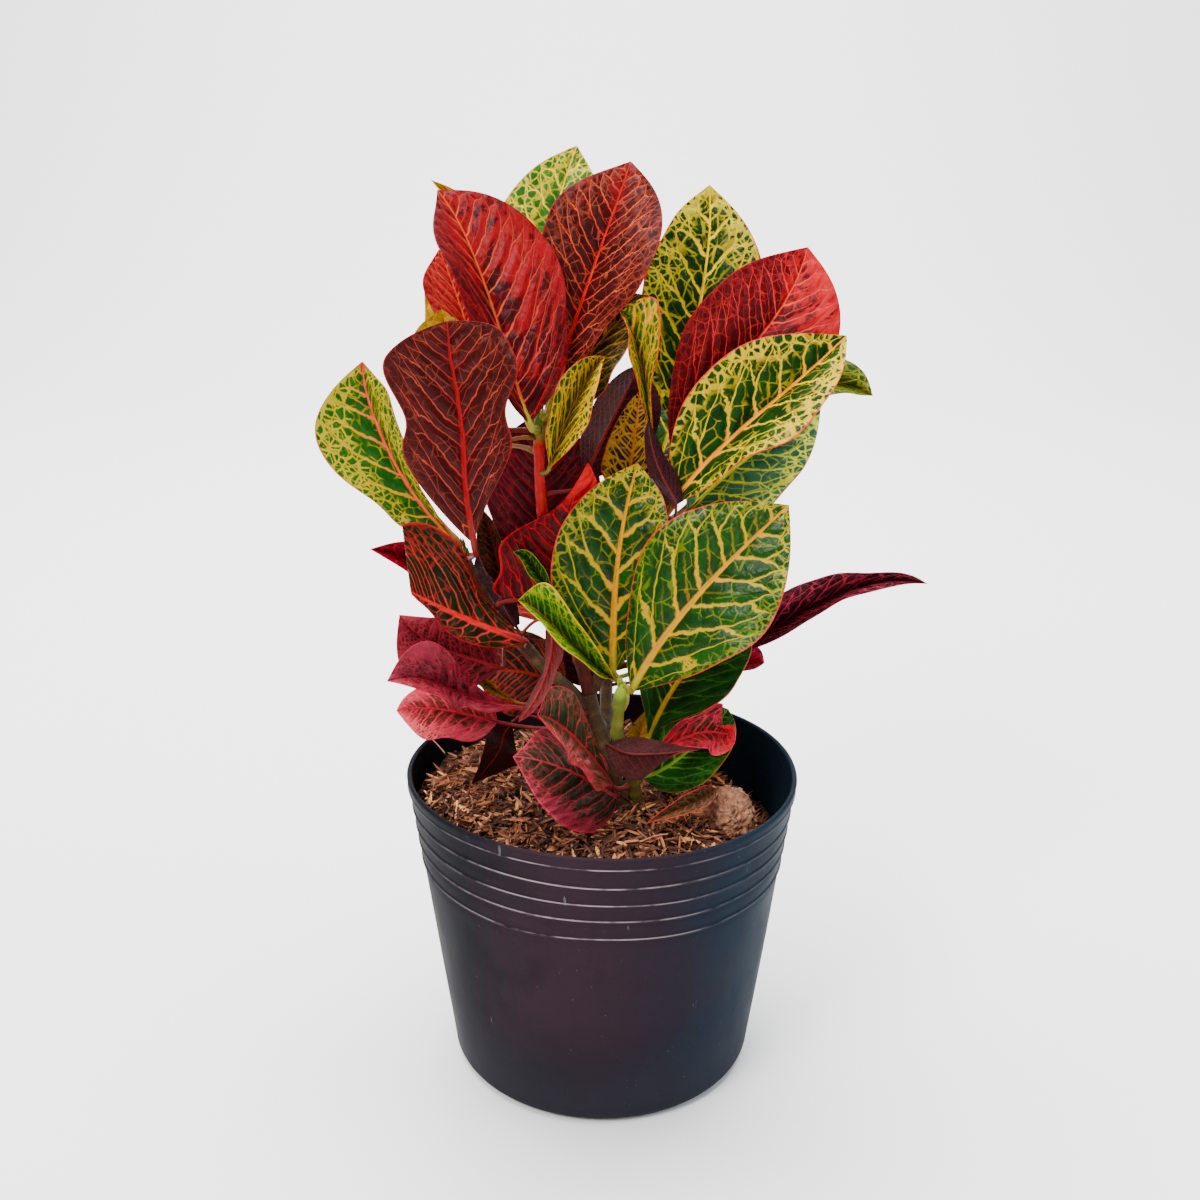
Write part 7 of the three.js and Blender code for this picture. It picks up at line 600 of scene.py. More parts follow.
def leaf_top(name, st, seed, spacing):
    """Distances in millimetres to midrib, laterals and two sizes of network; colour grows out from them."""
    g = G(name)
    t, a, _ = g.uv("ts")
    p, q, _ = g.uv("cm")
    c, sa, _ = g.uv("vein")
    o = (seed * 7.31) % 50
    base = g.vec(p + o, q + o * 0.37, 0.11 * o)
    warp = g.noise(base, 1.5, 2.0) - 0.5
    warp2 = g.noise(base, 6.0, 2.0) - 0.5
    grain = g.noise(base, 17.0, 2.0) - 0.5
    cw = c + warp * 0.40 + warp2 * 0.035
    k = g.m("ROUND", cw)
    e = g.m("ABSOLUTE", cw - k)
    flip = g.step(sa, -0.01, 0.01) * 4.7
    each = g.noise(g.vec(k * 3.71 + o, flip, 0.5), 1.0, 0.0) - 0.5
    arm = g.step(a + warp2 * 0.06, each * 0.6 + st["fork"], st["meet"]) * 0.5
    dl = g.m("ABSOLUTE", e - arm) * (spacing * 0.82)
    gap = g.noise(g.vec(g.m("FLOOR", cw) * 2.93 + o, flip, 7.5), 1.0, 0.0)
    dh = (0.5 - e) * (spacing * 0.82)
    qm = g.m("ABSOLUTE", q * 10.0 + warp2 * 0.5)
    wobble = g.vec(p + o + warp2 * 0.16, q + warp * 0.12, 0.3 * o)
    dt = g.cells(wobble, st["nt"]) * (10.0 / st["nt"])
    df = g.cells(wobble, st["nf"]) * (10.0 / st["nf"])
    blotch = g.noise(g.vec(cw * 2.0 + o, sa * 3.6 + warp * 0.6, 0.2 * o), 1.0, 3.5, 0.62) - 0.5
    big = g.noise(base, 0.5, 2.0) - 0.5
    near = g.m("EXPONENT", dl * (-1.0 / st["hlw"]))
    Z = (t - 0.5) * st["bt"] + (a - 0.5) * st["ba"] + sa * st["bs"] + st["b"]
    Z = Z + near * st["hl"] + g.m("EXPONENT", qm * (-1.0 / st["hmw"])) * st["hm"]
    Z = Z + blotch * st["nb"] + big * st["nB"]
    # Field under the veins: dark to mid, paler beside a vein.
    F = blotch * (st["fn"] * 0.7) + big * (st["fn"] * 0.5) + grain * 0.25 + near * st["fh"] + st["fb"]
    col = g.mix(g.step(F, 0.2, 0.75), srgb(st["dark"]), srgb(st["mid"]))
    # Second colour: either soft, or growing out of the network so that dark cells are left.
    soft = g.step(Z + grain * st["cut"] * 0.5, 0.55 - st["cut"], 0.55 + st["cut"])
    small = g.m("MINIMUM", df, dt * 1.1)
    wide = g.step(Z, 0.3, 1.05) * st["grow"]
    ring = (1.0 - g.step(small - wide + grain * 0.25, -0.06, 0.16)) * g.step(Z, 0.28, 0.40)
    m = ring * st["isl"] + soft * (1.0 - st["isl"])
    hue = g.mix(g.step(Z + grain * 0.4, 0.55, 0.95), srgb(st["light"]), srgb(st["high"]))
    ground = col
    col = g.mix(m, col, hue)
    if st["dash"]:
        # Short dark dashes lying along the laterals.
        island = g.cells(g.vec(cw * 2.6 + warp2 * 0.3 + o, sa * st["dashes"] + warp * 0.8, o * 0.7), 1.0)
        some = g.step(g.noise(base, 0.9, 1.0) + (t - 0.5) * st["dt"] - (a - 0.5) * st["da"], 0.35, 0.45)
        col = g.mix(g.step(island + grain * 0.08, 0.10, 0.18) * some * st["dash"], col, ground)
    # Veins.
    wm = t * (-0.78 * st["wm"]) + (st["wm"] + 0.1)
    midm = (1.0 - g.step(qm / wm, 0.55, 1.05)) * st["ms"]
    wl = a * (-0.35 * st["wl"]) + (st["wl"] * 1.05) + warp2 * 0.12 - arm * (0.7 * st["wl"])
    lat = 1.0 - g.step(dl / wl, 0.45, 1.15)
    mid_gap = (1.0 - g.step(dh / wl, 0.1, 0.75)) * g.step(gap, 0.42, 0.5) * (1.0 - g.step(a, 0.3, 0.62)) * st["half"]
    lat = g.top(lat * (1.0 - g.step(a, 0.82, 0.93) * 0.7), mid_gap) * st["ls"]
    part = g.step(g.noise(base, 1.3, 1.0), 0.36, 0.56)
    tert = (1.0 - g.step(dt, st["wt"] * 0.5, st["wt"] * 1.25)) * part * st["ts"]
    zone = g.step(a + (t - 0.5) * 0.5 + warp * 0.5, st["fa"] - 0.12, st["fa"] + 0.15)
    fine = (1.0 - g.step(df, st["wf"] * 0.45, st["wf"] * 1.25)) * zone * st["fs"]
    vein = srgb(st["vein"])
    if st["vein_out"] is not None:
        vein = g.mix(g.step(a, 0.03, 0.4), vein, srgb(st["vein_out"]))
    netc = srgb(st["net"]) if st["net"] is not None else vein
    col = g.mix(g.top(tert, fine), col, netc)
    if st["spark"]:
        fleck = g.step(g.noise(base, 9.0, 1.0), 0.60, 0.66) * g.step(Z, 0.18, 0.4) * st["spark"]
        col = g.mix(fleck, col, hue)
    col = g.mix(g.top(midm, lat), col, vein)
    if st["tip"] is not None:
        col = g.mix(g.step(t + warp * 0.1, *st["tip_at"]) * 0.9, col, srgb(st["tip"]))
    # Painted shade: one half of the blade darkened towards its margin (the left half on L01).
    if st["side"] is not None:
        half_shade_tint, lo, hi, kk = st["side"]
        col = g.mix(g.step(sa + warp * 0.15, lo, hi) * kk, col, srgb(half_shade_tint))
    em = g.step(a + warp2 * 0.012, 1.0 - st["ew"], 1.0 - 0.35 * st["ew"]) * st["es"]
    col = g.mix(em, col, srgb(st["edge"]))
    # Duller, darker patches.
    col = g.mix(g.step(big, 0.02, 0.3) * 0.25, col, g.mix(1.0, col, (0.55, 0.5, 0.5, 1), "MULTIPLY"))
    rough = st["rough"] + (g.noise(base, 2.2, 2.0) - 0.5) * 0.16 - g.step(big, -0.02, -0.2) * st["gloss"]
    pillow = g.step(df, 0.0, 1.1) * 0.12 + g.step(dt, 0.0, 2.6) * 0.35 + g.step(dl, 0.0, 4.5) * 1.1
    h = pillow - g.top(midm, lat) * 0.5 + grain * 0.1
    nrm = g.bump(h * st["puff"], 0.0007, 0.75)
    return g.shade(col, rough, nrm, Specular_IOR_Level=st["spec"])


UNDER = {
    "green": ((0.0361, 0.0593, 0.0074), (0.0175, 0.0356, 0.0042), (0.1246, 0.1248, 0.0099)), "greenyellow": ((0.1000, 0.1121, 0.0098), (0.0492, 0.0659, 0.0059), (0.2960, 0.2292, 0.0026)),
    "scarlet": ((0.0932, 0.0052, 0.0066), (0.0526, 0.0030, 0.0049), (0.2072, 0.0281, 0.0170)), "maroon": ((0.0380, 0.0056, 0.0056), (0.0183, 0.0028, 0.0036), (0.0930, 0.0153, 0.0108)),
    "pinkred": ((0.0995, 0.0070, 0.0151), (0.0526, 0.0045, 0.0079), (0.1796, 0.0204, 0.0321)), "purple": ((0.0263, 0.0046, 0.0072), (0.0118, 0.0028, 0.0047), (0.0729, 0.0101, 0.0175)),
}


def leaf_under(cls):
    pale, deep, vein = UNDER[cls]
    g = G("underside_" + cls)
    t, a, _ = g.uv("ts")
    p, q, _ = g.uv("cm")
    c, sa, _ = g.uv("vein")
    base = g.vec(p, q, t * 3.0)
    warp = g.noise(base, 1.5, 2.0) - 0.5
    f = g.m("ABSOLUTE", g.m("FRACT", c + warp * 0.3) - 0.5)
    dl = (0.5 - f) * 7.5
    lat = (1.0 - g.step(dl / (a * -0.5 + 0.75), 0.3, 1.0)) * (1.0 - g.step(a, 0.8, 1.0) * 0.8)
    cells = g.cells(base, 3.4)
    nm = 1.0 - g.step(cells, 0.02, 0.1)
    col = g.mix(g.step(g.noise(base, 1.3, 4.0, 0.6), 0.35, 0.65), srgb(pale), srgb(deep))
    col = g.mix(nm * 0.35, col, srgb(vein))
    col = g.mix(lat * 0.85, col, srgb(vein))
    h = lat * 0.8 + nm * 0.35 + g.noise(base, 25.0, 2.0) * 0.12
    rough = 0.56 + (g.noise(base, 2.0, 2.0) - 0.5) * 0.14
    return g.shade(col, rough, g.bump(h, 0.0005, 0.6), Specular_IOR_Level=0.1)


def stalk_material(name, tones):
    near, far, blush = tones
    g = G(name)
    t, a, _ = g.uv("ts")
    p, q, _ = g.uv("cm")
    base = g.vec(p * 0.6, q, t)
    n = g.noise(base, 5.0, 3.0, 0.6)
    col = g.mix(g.step(t, -0.25, 0.45), srgb(near), srgb(far))
    col = g.mix(g.step(n, 0.48, 0.66) * 0.55, col, srgb(blush))
    h = g.noise(g.vec(p * 0.4, q * 4.0, 0), 12.0, 3.0) + n * 0.4
    return g.shade(col, 0.42 + (n - 0.5) * 0.2, g.bump(h, 0.00025, 0.5), Specular_IOR_Level=0.15)


STALKS = {
    "cream": stalk_material("stalk_cream", ((0.2486, 0.2376, 0.0221), (0.4850, 0.3516, 0.0012), (0.2555, 0.0700, 0.0113))),
    "olive": stalk_material("stalk_olive", ((0.1000, 0.1243, 0.0108), (0.2906, 0.2047, 0.0045), (0.1787, 0.0315, 0.0111))),
    "red": stalk_material("stalk_red", ((0.1334, 0.0066, 0.0055), (0.2002, 0.0073, 0.0062), (0.0706, 0.0060, 0.0044))),
    "dark": stalk_material("stalk_dark", ((0.0519, 0.0056, 0.0053), (0.0932, 0.0062, 0.0062), (0.0229, 0.0060, 0.0035))),
    "pink": stalk_material("stalk_pink", ((0.1773, 0.0208, 0.0183), (0.2754, 0.0120, 0.0201), (0.0932, 0.0106, 0.0074))),
    "orange": stalk_material("stalk_orange", ((0.1868, 0.0723, 0.0126), (0.3719, 0.1008, 0.0063), (0.1539, 0.0236, 0.0110))),
}
UNDERS = {k: leaf_under(k) for k in UNDER}


# ---- leaf shape ------------------------------------------------------------------------
KNOTS = np.array([0, .1, .22, .36, .5, .64, .78, .9, 1.0])


def spline(y, t):
    """Natural cubic spline through (KNOTS, y) at t."""
    x = KNOTS
    n = len(x)
    h = np.diff(x)
    A = np.zeros((n, n))
    b = np.zeros((n, y.shape[1]))
    A[0, 0] = A[-1, -1] = 1
    for i in range(1, n - 1):
        A[i, i - 1], A[i, i], A[i, i + 1] = h[i - 1], 2 * (h[i - 1] + h[i]), h[i]
        b[i] = 6 * ((y[i + 1] - y[i]) / h[i] - (y[i] - y[i - 1]) / h[i - 1])
    m = np.linalg.solve(A, b)
    k = np.clip(np.searchsorted(x, t) - 1, 0, n - 2)
    d = (t - x[k])[:, None]
    hk = h[k][:, None]
    e = hk - d
    return (m[k] * e ** 3 + m[k + 1] * d ** 3) / (6 * hk) + (y[k] / hk - m[k] * hk / 6) * e + (y[k + 1] / hk - m[k + 1] * hk / 6) * d


def unit(v):
    return v / np.maximum(np.linalg.norm(v, axis=-1, keepdims=True), 1e-9)


def bezier(P, t):
    P = np.asarray(P, float)
    t = np.asarray(t, float)[:, None]
    return (1 - t) ** 3 * P[0] + 3 * (1 - t) ** 2 * t * P[1] + 3 * (1 - t) * t * t * P[2] + t ** 3 * P[3]


def sweep(path, radii, sides, first=None, flat=1.0):
    """A closed tube along path with a radius at each point. Returns verts, faces, along (mm), around (mm)."""
    path = np.asarray(path, float)
    T = unit(np.gradient(path, axis=0))
    ref = np.array(first if first is not None else (0.3, 1, 0.1), float)
    n = unit(ref - T[0] * (ref @ T[0]))
    N = []
    for k in range(len(path)):
        n = unit(n - T[k] * (n @ T[k]))
        N.append(n)
    N = np.array(N)
    B = np.cross(T, N)
    ang = np.arange(sides) / sides * 2 * math.pi
    r = np.asarray(radii, float)
    if r.ndim == 1:
        r = np.repeat(r[:, None], sides, 1)
    ring = path[:, None] + r[..., None] * (np.cos(ang)[None, :, None] * N[:, None] + flat * np.sin(ang)[None, :, None] * B[:, None])
    m = len(path)
    verts = np.vstack([ring.reshape(-1, 3), path[:1], path[-1:]])
    faces = []
    for i in range(m - 1):
        for j in range(sides):
            k = (j + 1) % sides
            faces.append([i * sides + j, i * sides + k, (i + 1) * sides + k, (i + 1) * sides + j])
    e0, e1 = m * sides, m * sides + 1
    for j in range(sides):
        k = (j + 1) % sides
        faces.append([e0, k, j])
        faces.append([e1, (m - 1) * sides + j, (m - 1) * sides + k])
    s = np.concatenate([[0], np.cumsum(np.linalg.norm(np.diff(path, axis=0), axis=1))])
    along = np.concatenate([np.repeat(s, sides), s[:1], s[-1:]])
    around = np.concatenate([(r * ang[None, :]).ravel(), [0, 0]])
    # Flip so that faces look out.
    c = verts[np.array([f[:3] for f in faces])]
    vol = np.einsum("ij,ij->i", c[:, 0], np.cross(c[:, 1], c[:, 2])).sum()
    if vol < 0:
        faces = [f[::-1] for f in faces]
    return verts, faces, along, around


SIDE = np.array([0, .012, .035, .07, .115, .17, .23, .3, .37, .44, .51, .58, .65, .72, .79, .855, .91, .955, .985, 1.0])


def frac_edge(c):
    f = c - np.floor(c)
    return 0.5 - np.abs(f - 0.5)


def leaf(lname, node, cls, up, stalk, mid, left, right):
    """One leaf: blade with two faces, its rim, and the stalk that runs on as the midrib below."""
    st = dict(BASE_STYLE)
    st.update(CLASS_STYLE[cls])
    st.update(STYLES.get(lname, {}))
    seed = int(node[-2:])
    rng = np.random.default_rng(100 + seed)
    M, A, B = (np.array(v, float) for v in (mid, left, right))
    L = np.linalg.norm(np.diff(M, axis=0), axis=1).sum()
    nu = int(np.clip(L / 1.5, 22, 92))
    t = np.linspace(0, 1, nu + 1)
    t = 0.75 * t + 0.25 * (0.5 - 0.5 * np.cos(np.pi * t))
    Mt, At, Bt = spline(M, t), spline(A, t), spline(B, t)
    T = unit(np.gradient(Mt, axis=0))
    p = np.concatenate([[0], np.cumsum(np.linalg.norm(np.diff(Mt, axis=0), axis=1))])
    wa, wb = np.linalg.norm(At - Mt, axis=1), np.linalg.norm(Bt - Mt, axis=1)
    # Normals of each half of the blade; at base and tip they are copied from the neighbouring row so that they never
    # pinch, then smoothed along the leaf.
    na = unit(np.cross(unit(Mt - At), T))
    nb = unit(np.cross(unit(Bt - Mt), T))
    for arr in (na, nb):
        arr[0], arr[-1] = arr[1], arr[-2]
    k = 5
    ker = np.ones(k) / k
    for arr in (na, nb):
        pad = np.vstack([np.repeat(arr[:1], k // 2, 0), arr, np.repeat(arr[-1:], k // 2, 0)])
        arr[:] = unit(np.stack([np.convolve(pad[:, i], ker, "valid") for i in range(3)], 1))
    nc = unit(na + nb)
    spacing = float(np.clip(L / st.get("rows", 10.0), 4.5, st.get("widest", 11.0)))
    N = L / spacing
    cols, uvv, uvm, uvt = [], [], [], []
    s_all = np.concatenate([-SIDE[::-1][:-1], SIDE])
    size = np.clip(L / 100.0, 0.35, 1.2)
    phase = rng.random(4) * 6.28
    waves = st.get("waves", 1.0) * 0.9 * size
    endfade = np.sin(np.pi * np.clip(t, 0, 1)) ** 0.6
    P = np.zeros((nu + 1, len(s_all), 3))
    NR = np.zeros_like(P)
    C = np.zeros((nu + 1, len(s_all)))
    Q = np.zeros_like(C)
    for j, s in enumerate(s_all):
        a = abs(s)
        E, w, n1 = (At, wa, na) if s < 0 else (Bt, wb, nb)
        n = unit(nc * (1 - smooth(0, .22, a)) + n1 * smooth(0, .22, a)) * up
        q = a * w
        c = N * (t - (0.74 + 0.42 * a) * q / L) + (0.5 if s < 0 else 0.0) + 0.12 * np.sin(3.1 * t * N / 3 + phase[0])
        base = Mt + a * (E - Mt)
        dl = frac_edge(c) * spacing * 0.8
        h = 0.16 * st.get("camber", 1.0) * w * a * (1 - a) * endfade
        h = h + st.get("quilt", 1.0) * 0.62 * size * ((1 - np.exp(-(dl / 1.7) ** 2)) - 0.5) * np.minimum(1, a * 7) * (1 - smooth(.8, 1, a)) * endfade
        h = h + waves * a ** 3 * np.sin(6.283 * (t * st.get("wave_n", 2.6) + (0.0 if s < 0 else 0.37)) + phase[1]) * endfade
        h = h + 0.85 * size * a * noise3(base / 15.0 + seed * 1.7) * endfade
        h = h - 0.35 * np.exp(-(q / 1.1) ** 2) * size * endfade
        P[:, j] = base + n * h[:, None]
        NR[:, j] = n
        C[:, j] = c
        Q[:, j] = q * (1 if s > 0 else -1)
    m = len(s_all)
    thick = (0.24 - 0.10 * np.abs(s_all))[None, :, None]
    top = (P + NR * thick).reshape(-1, 3)
    bot = (P - NR * thick).reshape(-1, 3)
    vein = np.stack([C, np.repeat(s_all[None], nu + 1, 0)], -1).reshape(-1, 2)
    cm = np.stack([np.repeat(p[:, None], m, 1), Q], -1).reshape(-1, 2) / 10
    ts = np.stack([np.repeat(t[:, None], m, 1), np.repeat(np.abs(s_all)[None], nu + 1, 0)], -1).reshape(-1, 2)
    nv = (nu + 1) * m
    idx = np.arange(nv).reshape(nu + 1, m)
    quad = np.stack([idx[:-1, :-1], idx[1:, :-1], idx[1:, 1:], idx[:-1, 1:]], -1).reshape(-1, 4)
    i0, j0 = nu // 2, m // 2 + 4
    e1, e2 = P[i0 + 1, j0] - P[i0, j0], P[i0, j0 + 1] - P[i0, j0]
    facing = np.dot(np.cross(e1, e2), NR[i0, j0]) > 0
    qt = quad if facing else quad[:, ::-1]
    qb = (quad[:, ::-1] if facing else quad) + nv
    loop = np.concatenate([idx[:, 0], idx[-1, 1:], idx[::-1, -1][1:], idx[0, ::-1][1:-1]])
    nxt = np.roll(loop, -1)
    rim = np.stack([loop, nxt, nxt + nv, loop + nv], -1)
    # Orient the rim outwards.
    k0 = len(idx[:, 0]) // 2
    f = rim[k0]
    allv = np.vstack([top, bot])
    fn = np.cross(allv[f[1]] - allv[f[0]], allv[f[3]] - allv[f[0]])
    if np.dot(fn, At[k0] - Mt[k0]) < 0:
        rim = rim[:, ::-1]
    faces = qt.tolist() + qb.tolist() + rim.tolist()
    mi = [0] * len(qt) + [1] * len(qb) + [0] * len(rim)
    verts = allv
    uv_vein, uv_cm, uv_ts = np.vstack([vein, vein]), np.vstack([cm, cm]), np.vstack([ts, ts])
    # Stalk and midrib: one tapering tube.
    rib = 1.35 * size * st.get("rib", 1.0)
    kt = t < 0.965
    rr = (rib * (1 - t) ** 0.75 + 0.18)[kt]
    off = (1.0 * smooth(0.0, 0.16, t[kt]) * rr + 0.12)[:, None]
    path = Mt[kt] - (nc * up)[kt] * off
    tk = t[kt]
    if stalk is not None:
        u = np.linspace(0, 1, 13)
        S = bezier(stalk, u)
        S[0] = S[0] - unit(S[1] - S[0]) * 1.4
        blend = path[0] - S[-1]
        S = S + blend * (u ** 2)[:, None]
        rs = rib * (1.0 + 0.45 * np.exp(-(u / 0.12) ** 2)) + 0.18
        rs = rs * (1 - 0.08 * np.sin(np.pi * u))
        path = np.vstack([S[:-1], path])
        rr = np.concatenate([rs[:-1], rr])
        tk = np.concatenate([(u[:-1] - 1) * 0.3, tk])
    tv, tf, along, around = sweep(path, rr, 10, first=nc[0] * up, flat=1.0)
    n0 = len(verts)
    verts = np.vstack([verts, tv])
    faces += [[i + n0 for i in f] for f in tf]
    mi += [2] * len(tf)
    ring_t = np.concatenate([np.repeat(tk, 10), tk[:1], tk[-1:]])
    uv_ts = np.vstack([uv_ts, np.stack([ring_t, np.zeros(len(tv))], 1)])
    uv_cm = np.vstack([uv_cm, np.stack([along, around], 1) / 10])
    uv_vein = np.vstack([uv_vein, np.zeros((len(tv), 2))])
    mats = [leaf_top("leaf_face_" + node[-2:], st, seed, spacing), UNDERS[st.get("under", cls)], STALKS[st.get("stalk", "red")]]
    return make(node, verts, faces, mats, mi, {"ts": uv_ts, "cm": uv_cm, "vein": uv_vein}, replaces=(node,))


for row in LEAVES:
    leaf(*row)


# ---- stems -----------------------------------------------------------------------------
def stem_material(name, low, high, tip, blush, scar, tip_at=0.93, gloss=0.5):
    g = G(name)
    s, ring, _ = g.uv("ts")
    p, q, _ = g.uv("cm")
    base = g.vec(p, q, s)
    n = g.noise(base, 3.5, 4.0, 0.62)
    n2 = g.noise(g.vec(p * 0.35, q * 3.0, s), 9.0, 3.0)
    col = g.mix(g.step(s + (n - 0.5) * 0.3, 0.1, 0.6), srgb(low), srgb(high))
    col = g.mix(g.step(n, 0.5, 0.68) * 0.6, col, srgb(blush))
    col = g.mix(g.step(s + (n - 0.5) * 0.06, tip_at, tip_at + 0.05), col, srgb(tip))
    col = g.mix(ring * g.step(n2, 0.3, 0.6) * 0.45, col, srgb(scar))
    flecks = g.step(g.noise(base, 16.0, 1.0), 0.66, 0.74)
    col = g.mix(flecks * 0.55, col, srgb(scar))
    h = n2 * 0.6 + n * 0.5 + flecks * 0.5 - ring * 0.4
    return g.shade(col, gloss + (n - 0.5) * 0.25, g.bump(h, 0.0005, 0.7), Specular_IOR_Level=0.12)


def smooth_path(rows, per=9):
    R = np.array(rows, float)
    n = len(R)
    ext = np.vstack([2 * R[0] - R[1], R, 2 * R[-1] - R[-2]])
    out = []
    for i in range(n - 1):
        p0, p1, p2, p3 = ext[i:i + 4]
        for u in np.arange(per) / per:
            out.append(0.5 * (2 * p1 + (p2 - p0) * u + (2 * p0 - 5 * p1 + 4 * p2 - p3) * u * u + (3 * p1 - p0 - 3 * p2 + p3) * u ** 3))
    out.append(R[-1])
    return np.array(out)


def stem_mesh(rows, seed, cap=True):
    Q = smooth_path(rows)
    rng = np.random.default_rng(seed)
    path, rad = Q[:, :3], Q[:, 3]
    s = np.concatenate([[0], np.cumsum(np.linalg.norm(np.diff(path, axis=0), axis=1))])
    # Resample evenly, 1.4 mm a step.
    n = int(s[-1] / 1.4) + 2
    u = np.linspace(0, s[-1], n)
    path = np.stack([np.interp(u, s, path[:, i]) for i in range(3)], 1)
    rad = np.interp(u, s, rad)
    ring = np.zeros(n)
    side = np.zeros((n, 14))
    at, ang = 5.0 + 4 * rng.random(), 0.0
    az = np.arange(14) / 14 * 2 * np.pi
    while at < s[-1] - 3:
        g = np.exp(-((u - at) / 1.1) ** 2)
        ring = np.maximum(ring, g)
        lobe = np.exp(-((np.angle(np.exp(1j * (az - ang)))) / 0.75) ** 2)
        side = np.maximum(side, np.exp(-((u[:, None] - at) / 1.7) ** 2) * lobe[None])
        ang += 2.4
        at += 6.0 + 5.5 * rng.random()
    if cap:
        rad = rad * np.sqrt(np.clip((s[-1] - u) / 2.2 + 0.12, 0, 1))
    r = rad[:, None] * (1 + 0.04 * ring[:, None] + 0.20 * side)
    r = r * (1 + 0.05 * noise3(np.stack(np.broadcast_arrays(u[:, None] / 3.0, np.cos(az)[None] * 2 + seed, np.sin(az)[None] * 2), -1)))
    v, f, along, around = sweep(path, r, 14)
    ts = np.stack([np.concatenate([np.repeat(u / s[-1], 14), [0, 1]]), np.concatenate([np.maximum(side, 0.4 * ring[:, None]).ravel(), [0, 0]])], 1)
    return v, f, ts, np.stack([along, around], 1) / 10


def cone_bud(base, direction, length, radius, bend_to, seed):
    """A pointed scale or folded young leaf."""
    u = np.linspace(0, 1, 12)
    d = unit(np.asarray(direction, float))
    b = np.asarray(bend_to, float)
    path = np.asarray(base, float) + d * (u * length)[:, None] + b * (u ** 2)[:, None]
    r = radius * np.sin(np.pi * np.clip(u * 0.86 + 0.14, 0, 1)) ** 0.8 + 0.08
    v, f, along, around = sweep(path, r, 10, flat=0.55)
    ts = np.stack([np.concatenate([np.repeat(u, 10), [0, 1]]), np.zeros(len(v))], 1)
    return v, f, ts, np.stack([along, around], 1) / 10


def joined(name, parts, mats, replaces):
    V, F, TS, CM, MI, n = [], [], [], [], [], 0
    for (v, f, ts, cm), k in parts:
        V.append(v); TS.append(ts); CM.append(cm)
        F += [[i + n for i in q] for q in f]
        MI += [k] * len(f)
        n += len(v)
    return make(name, np.vstack(V), F, mats, MI, {"ts": np.vstack(TS), "cm": np.vstack(CM)}, replaces=replaces)


BARK = {
    "trunk": stem_material("bark_trunk", (0.1135, 0.0641, 0.0278), (0.0683, 0.0379, 0.0164), (0.0683, 0.0379, 0.0164), (0.0394, 0.0233, 0.0096), (0.2454, 0.1698, 0.0601), 2.0, 0.62),
    "A": stem_material("bark_a", (0.0681, 0.0120, 0.0072), (0.3920, 0.0012, 0.0030), (0.1202, 0.1711, 0.0210), (0.2090, 0.0049, 0.0058), (0.4621, 0.0293, 0.0142), 0.90, 0.40),
    "R": stem_material("bark_r", (0.0660, 0.0306, 0.0151), (0.1142, 0.0244, 0.0151), (0.0898, 0.1239, 0.0177), (0.0461, 0.0173, 0.0087), (0.2844, 0.1501, 0.0506), 0.93, 0.48),
    "B": stem_material("bark_b", (0.0631, 0.0359, 0.0174), (0.0454, 0.0228, 0.0127), (0.0535, 0.1021, 0.0180), (0.0853, 0.0461, 0.0175), (0.2889, 0.1712, 0.0540), 0.90, 0.52),
    "K": stem_material("bark_k", (0.0706, 0.0460, 0.0199), (0.0865, 0.0284, 0.0151), (0.0898, 0.1239, 0.0177), (0.0475, 0.0232, 0.0088), (0.2855, 0.1572, 0.0497), 0.93, 0.5),
    "D": stem_material("bark_d", (0.0839, 0.0687, 0.0197), (0.1115, 0.1513, 0.0203), (0.2097, 0.3092, 0.0152), (0.2191, 0.0601, 0.0151), (0.4450, 0.3252, 0.0363), 0.9, 0.42),
    "bud": stem_material("bud_scales", (0.1225, 0.1935, 0.0203), (0.2104, 0.3391, 0.0152), (0.2917, 0.2385, 0.0245), (0.1666, 0.0637, 0.0235), (0.4594, 0.4386, 0.0358), 0.8, 0.4),
    "bud_red": stem_material("bud_scales_red", (0.0898, 0.1237, 0.0230), (0.1527, 0.0284, 0.0150), (0.1839, 0.0148, 0.0107), (0.0880, 0.0096, 0.0066), (0.2792, 0.1404, 0.0369), 0.8, 0.4),
}


def tip_buds(stem, seed, count=4, size=1.0):
    R = np.array(STEMS[stem], float)
    d = unit(R[-1, :3] - R[-3, :3])
    end = R[-1, :3] - d * 2.0
    rng = np.random.default_rng(seed)
    side = unit(np.cross(d, [0.2, 0.9, 0.1]))
    other = np.cross(d, side)
    out = []
    for i in range(count):
        a = i * 2.4 + 0.4 * rng.random()
        o = side * math.cos(a) + other * math.sin(a)
        ln = (6.5 + 4.5 * rng.random()) * size
        out.append(cone_bud(end + o * 0.9 * size, d + o * (0.25 + 0.2 * rng.random()), ln, 1.0 * size, o * -0.8 * size, seed + i))
    return out


main = [(stem_mesh(STEMS["trunk"], 3, cap=False), 0)]
for i, k in enumerate("ARBK"):
    main.append((stem_mesh(STEMS[k], 5 + i), i + 1))
for i, k in enumerate("ARBK"):
    for b in tip_buds(k, 40 + 7 * i, 4, 0.95):
        main.append((b, 6 if k in "RB" else 5))
joined("stem_main_bark", main, [BARK[k] for k in ("trunk", "A", "R", "B", "K", "bud", "bud_red")], ("stem_main",))
front = [(stem_mesh(STEMS["D"], 12), 0)] + [(b, 1) for b in tip_buds("D", 77, 3, 0.8)]
joined("stem_front_bark", front, [BARK["D"], BARK["bud"]], ("stem_front",))


# ---- pot --------------------------------------------------------------------------------
def dents(theta, z):
    """Slight hollows and swells of a thin moulded wall."""
    theta, z = np.broadcast_arrays(theta, z)
    p = np.stack([np.cos(theta) * 1.6 + 5, np.sin(theta) * 1.6 + 5, z / 60.0 + 3], -1)
    return 0.8 * noise3(p) * smooth(4, 40, z) * (1 - 0.5 * smooth(150, 160, z))


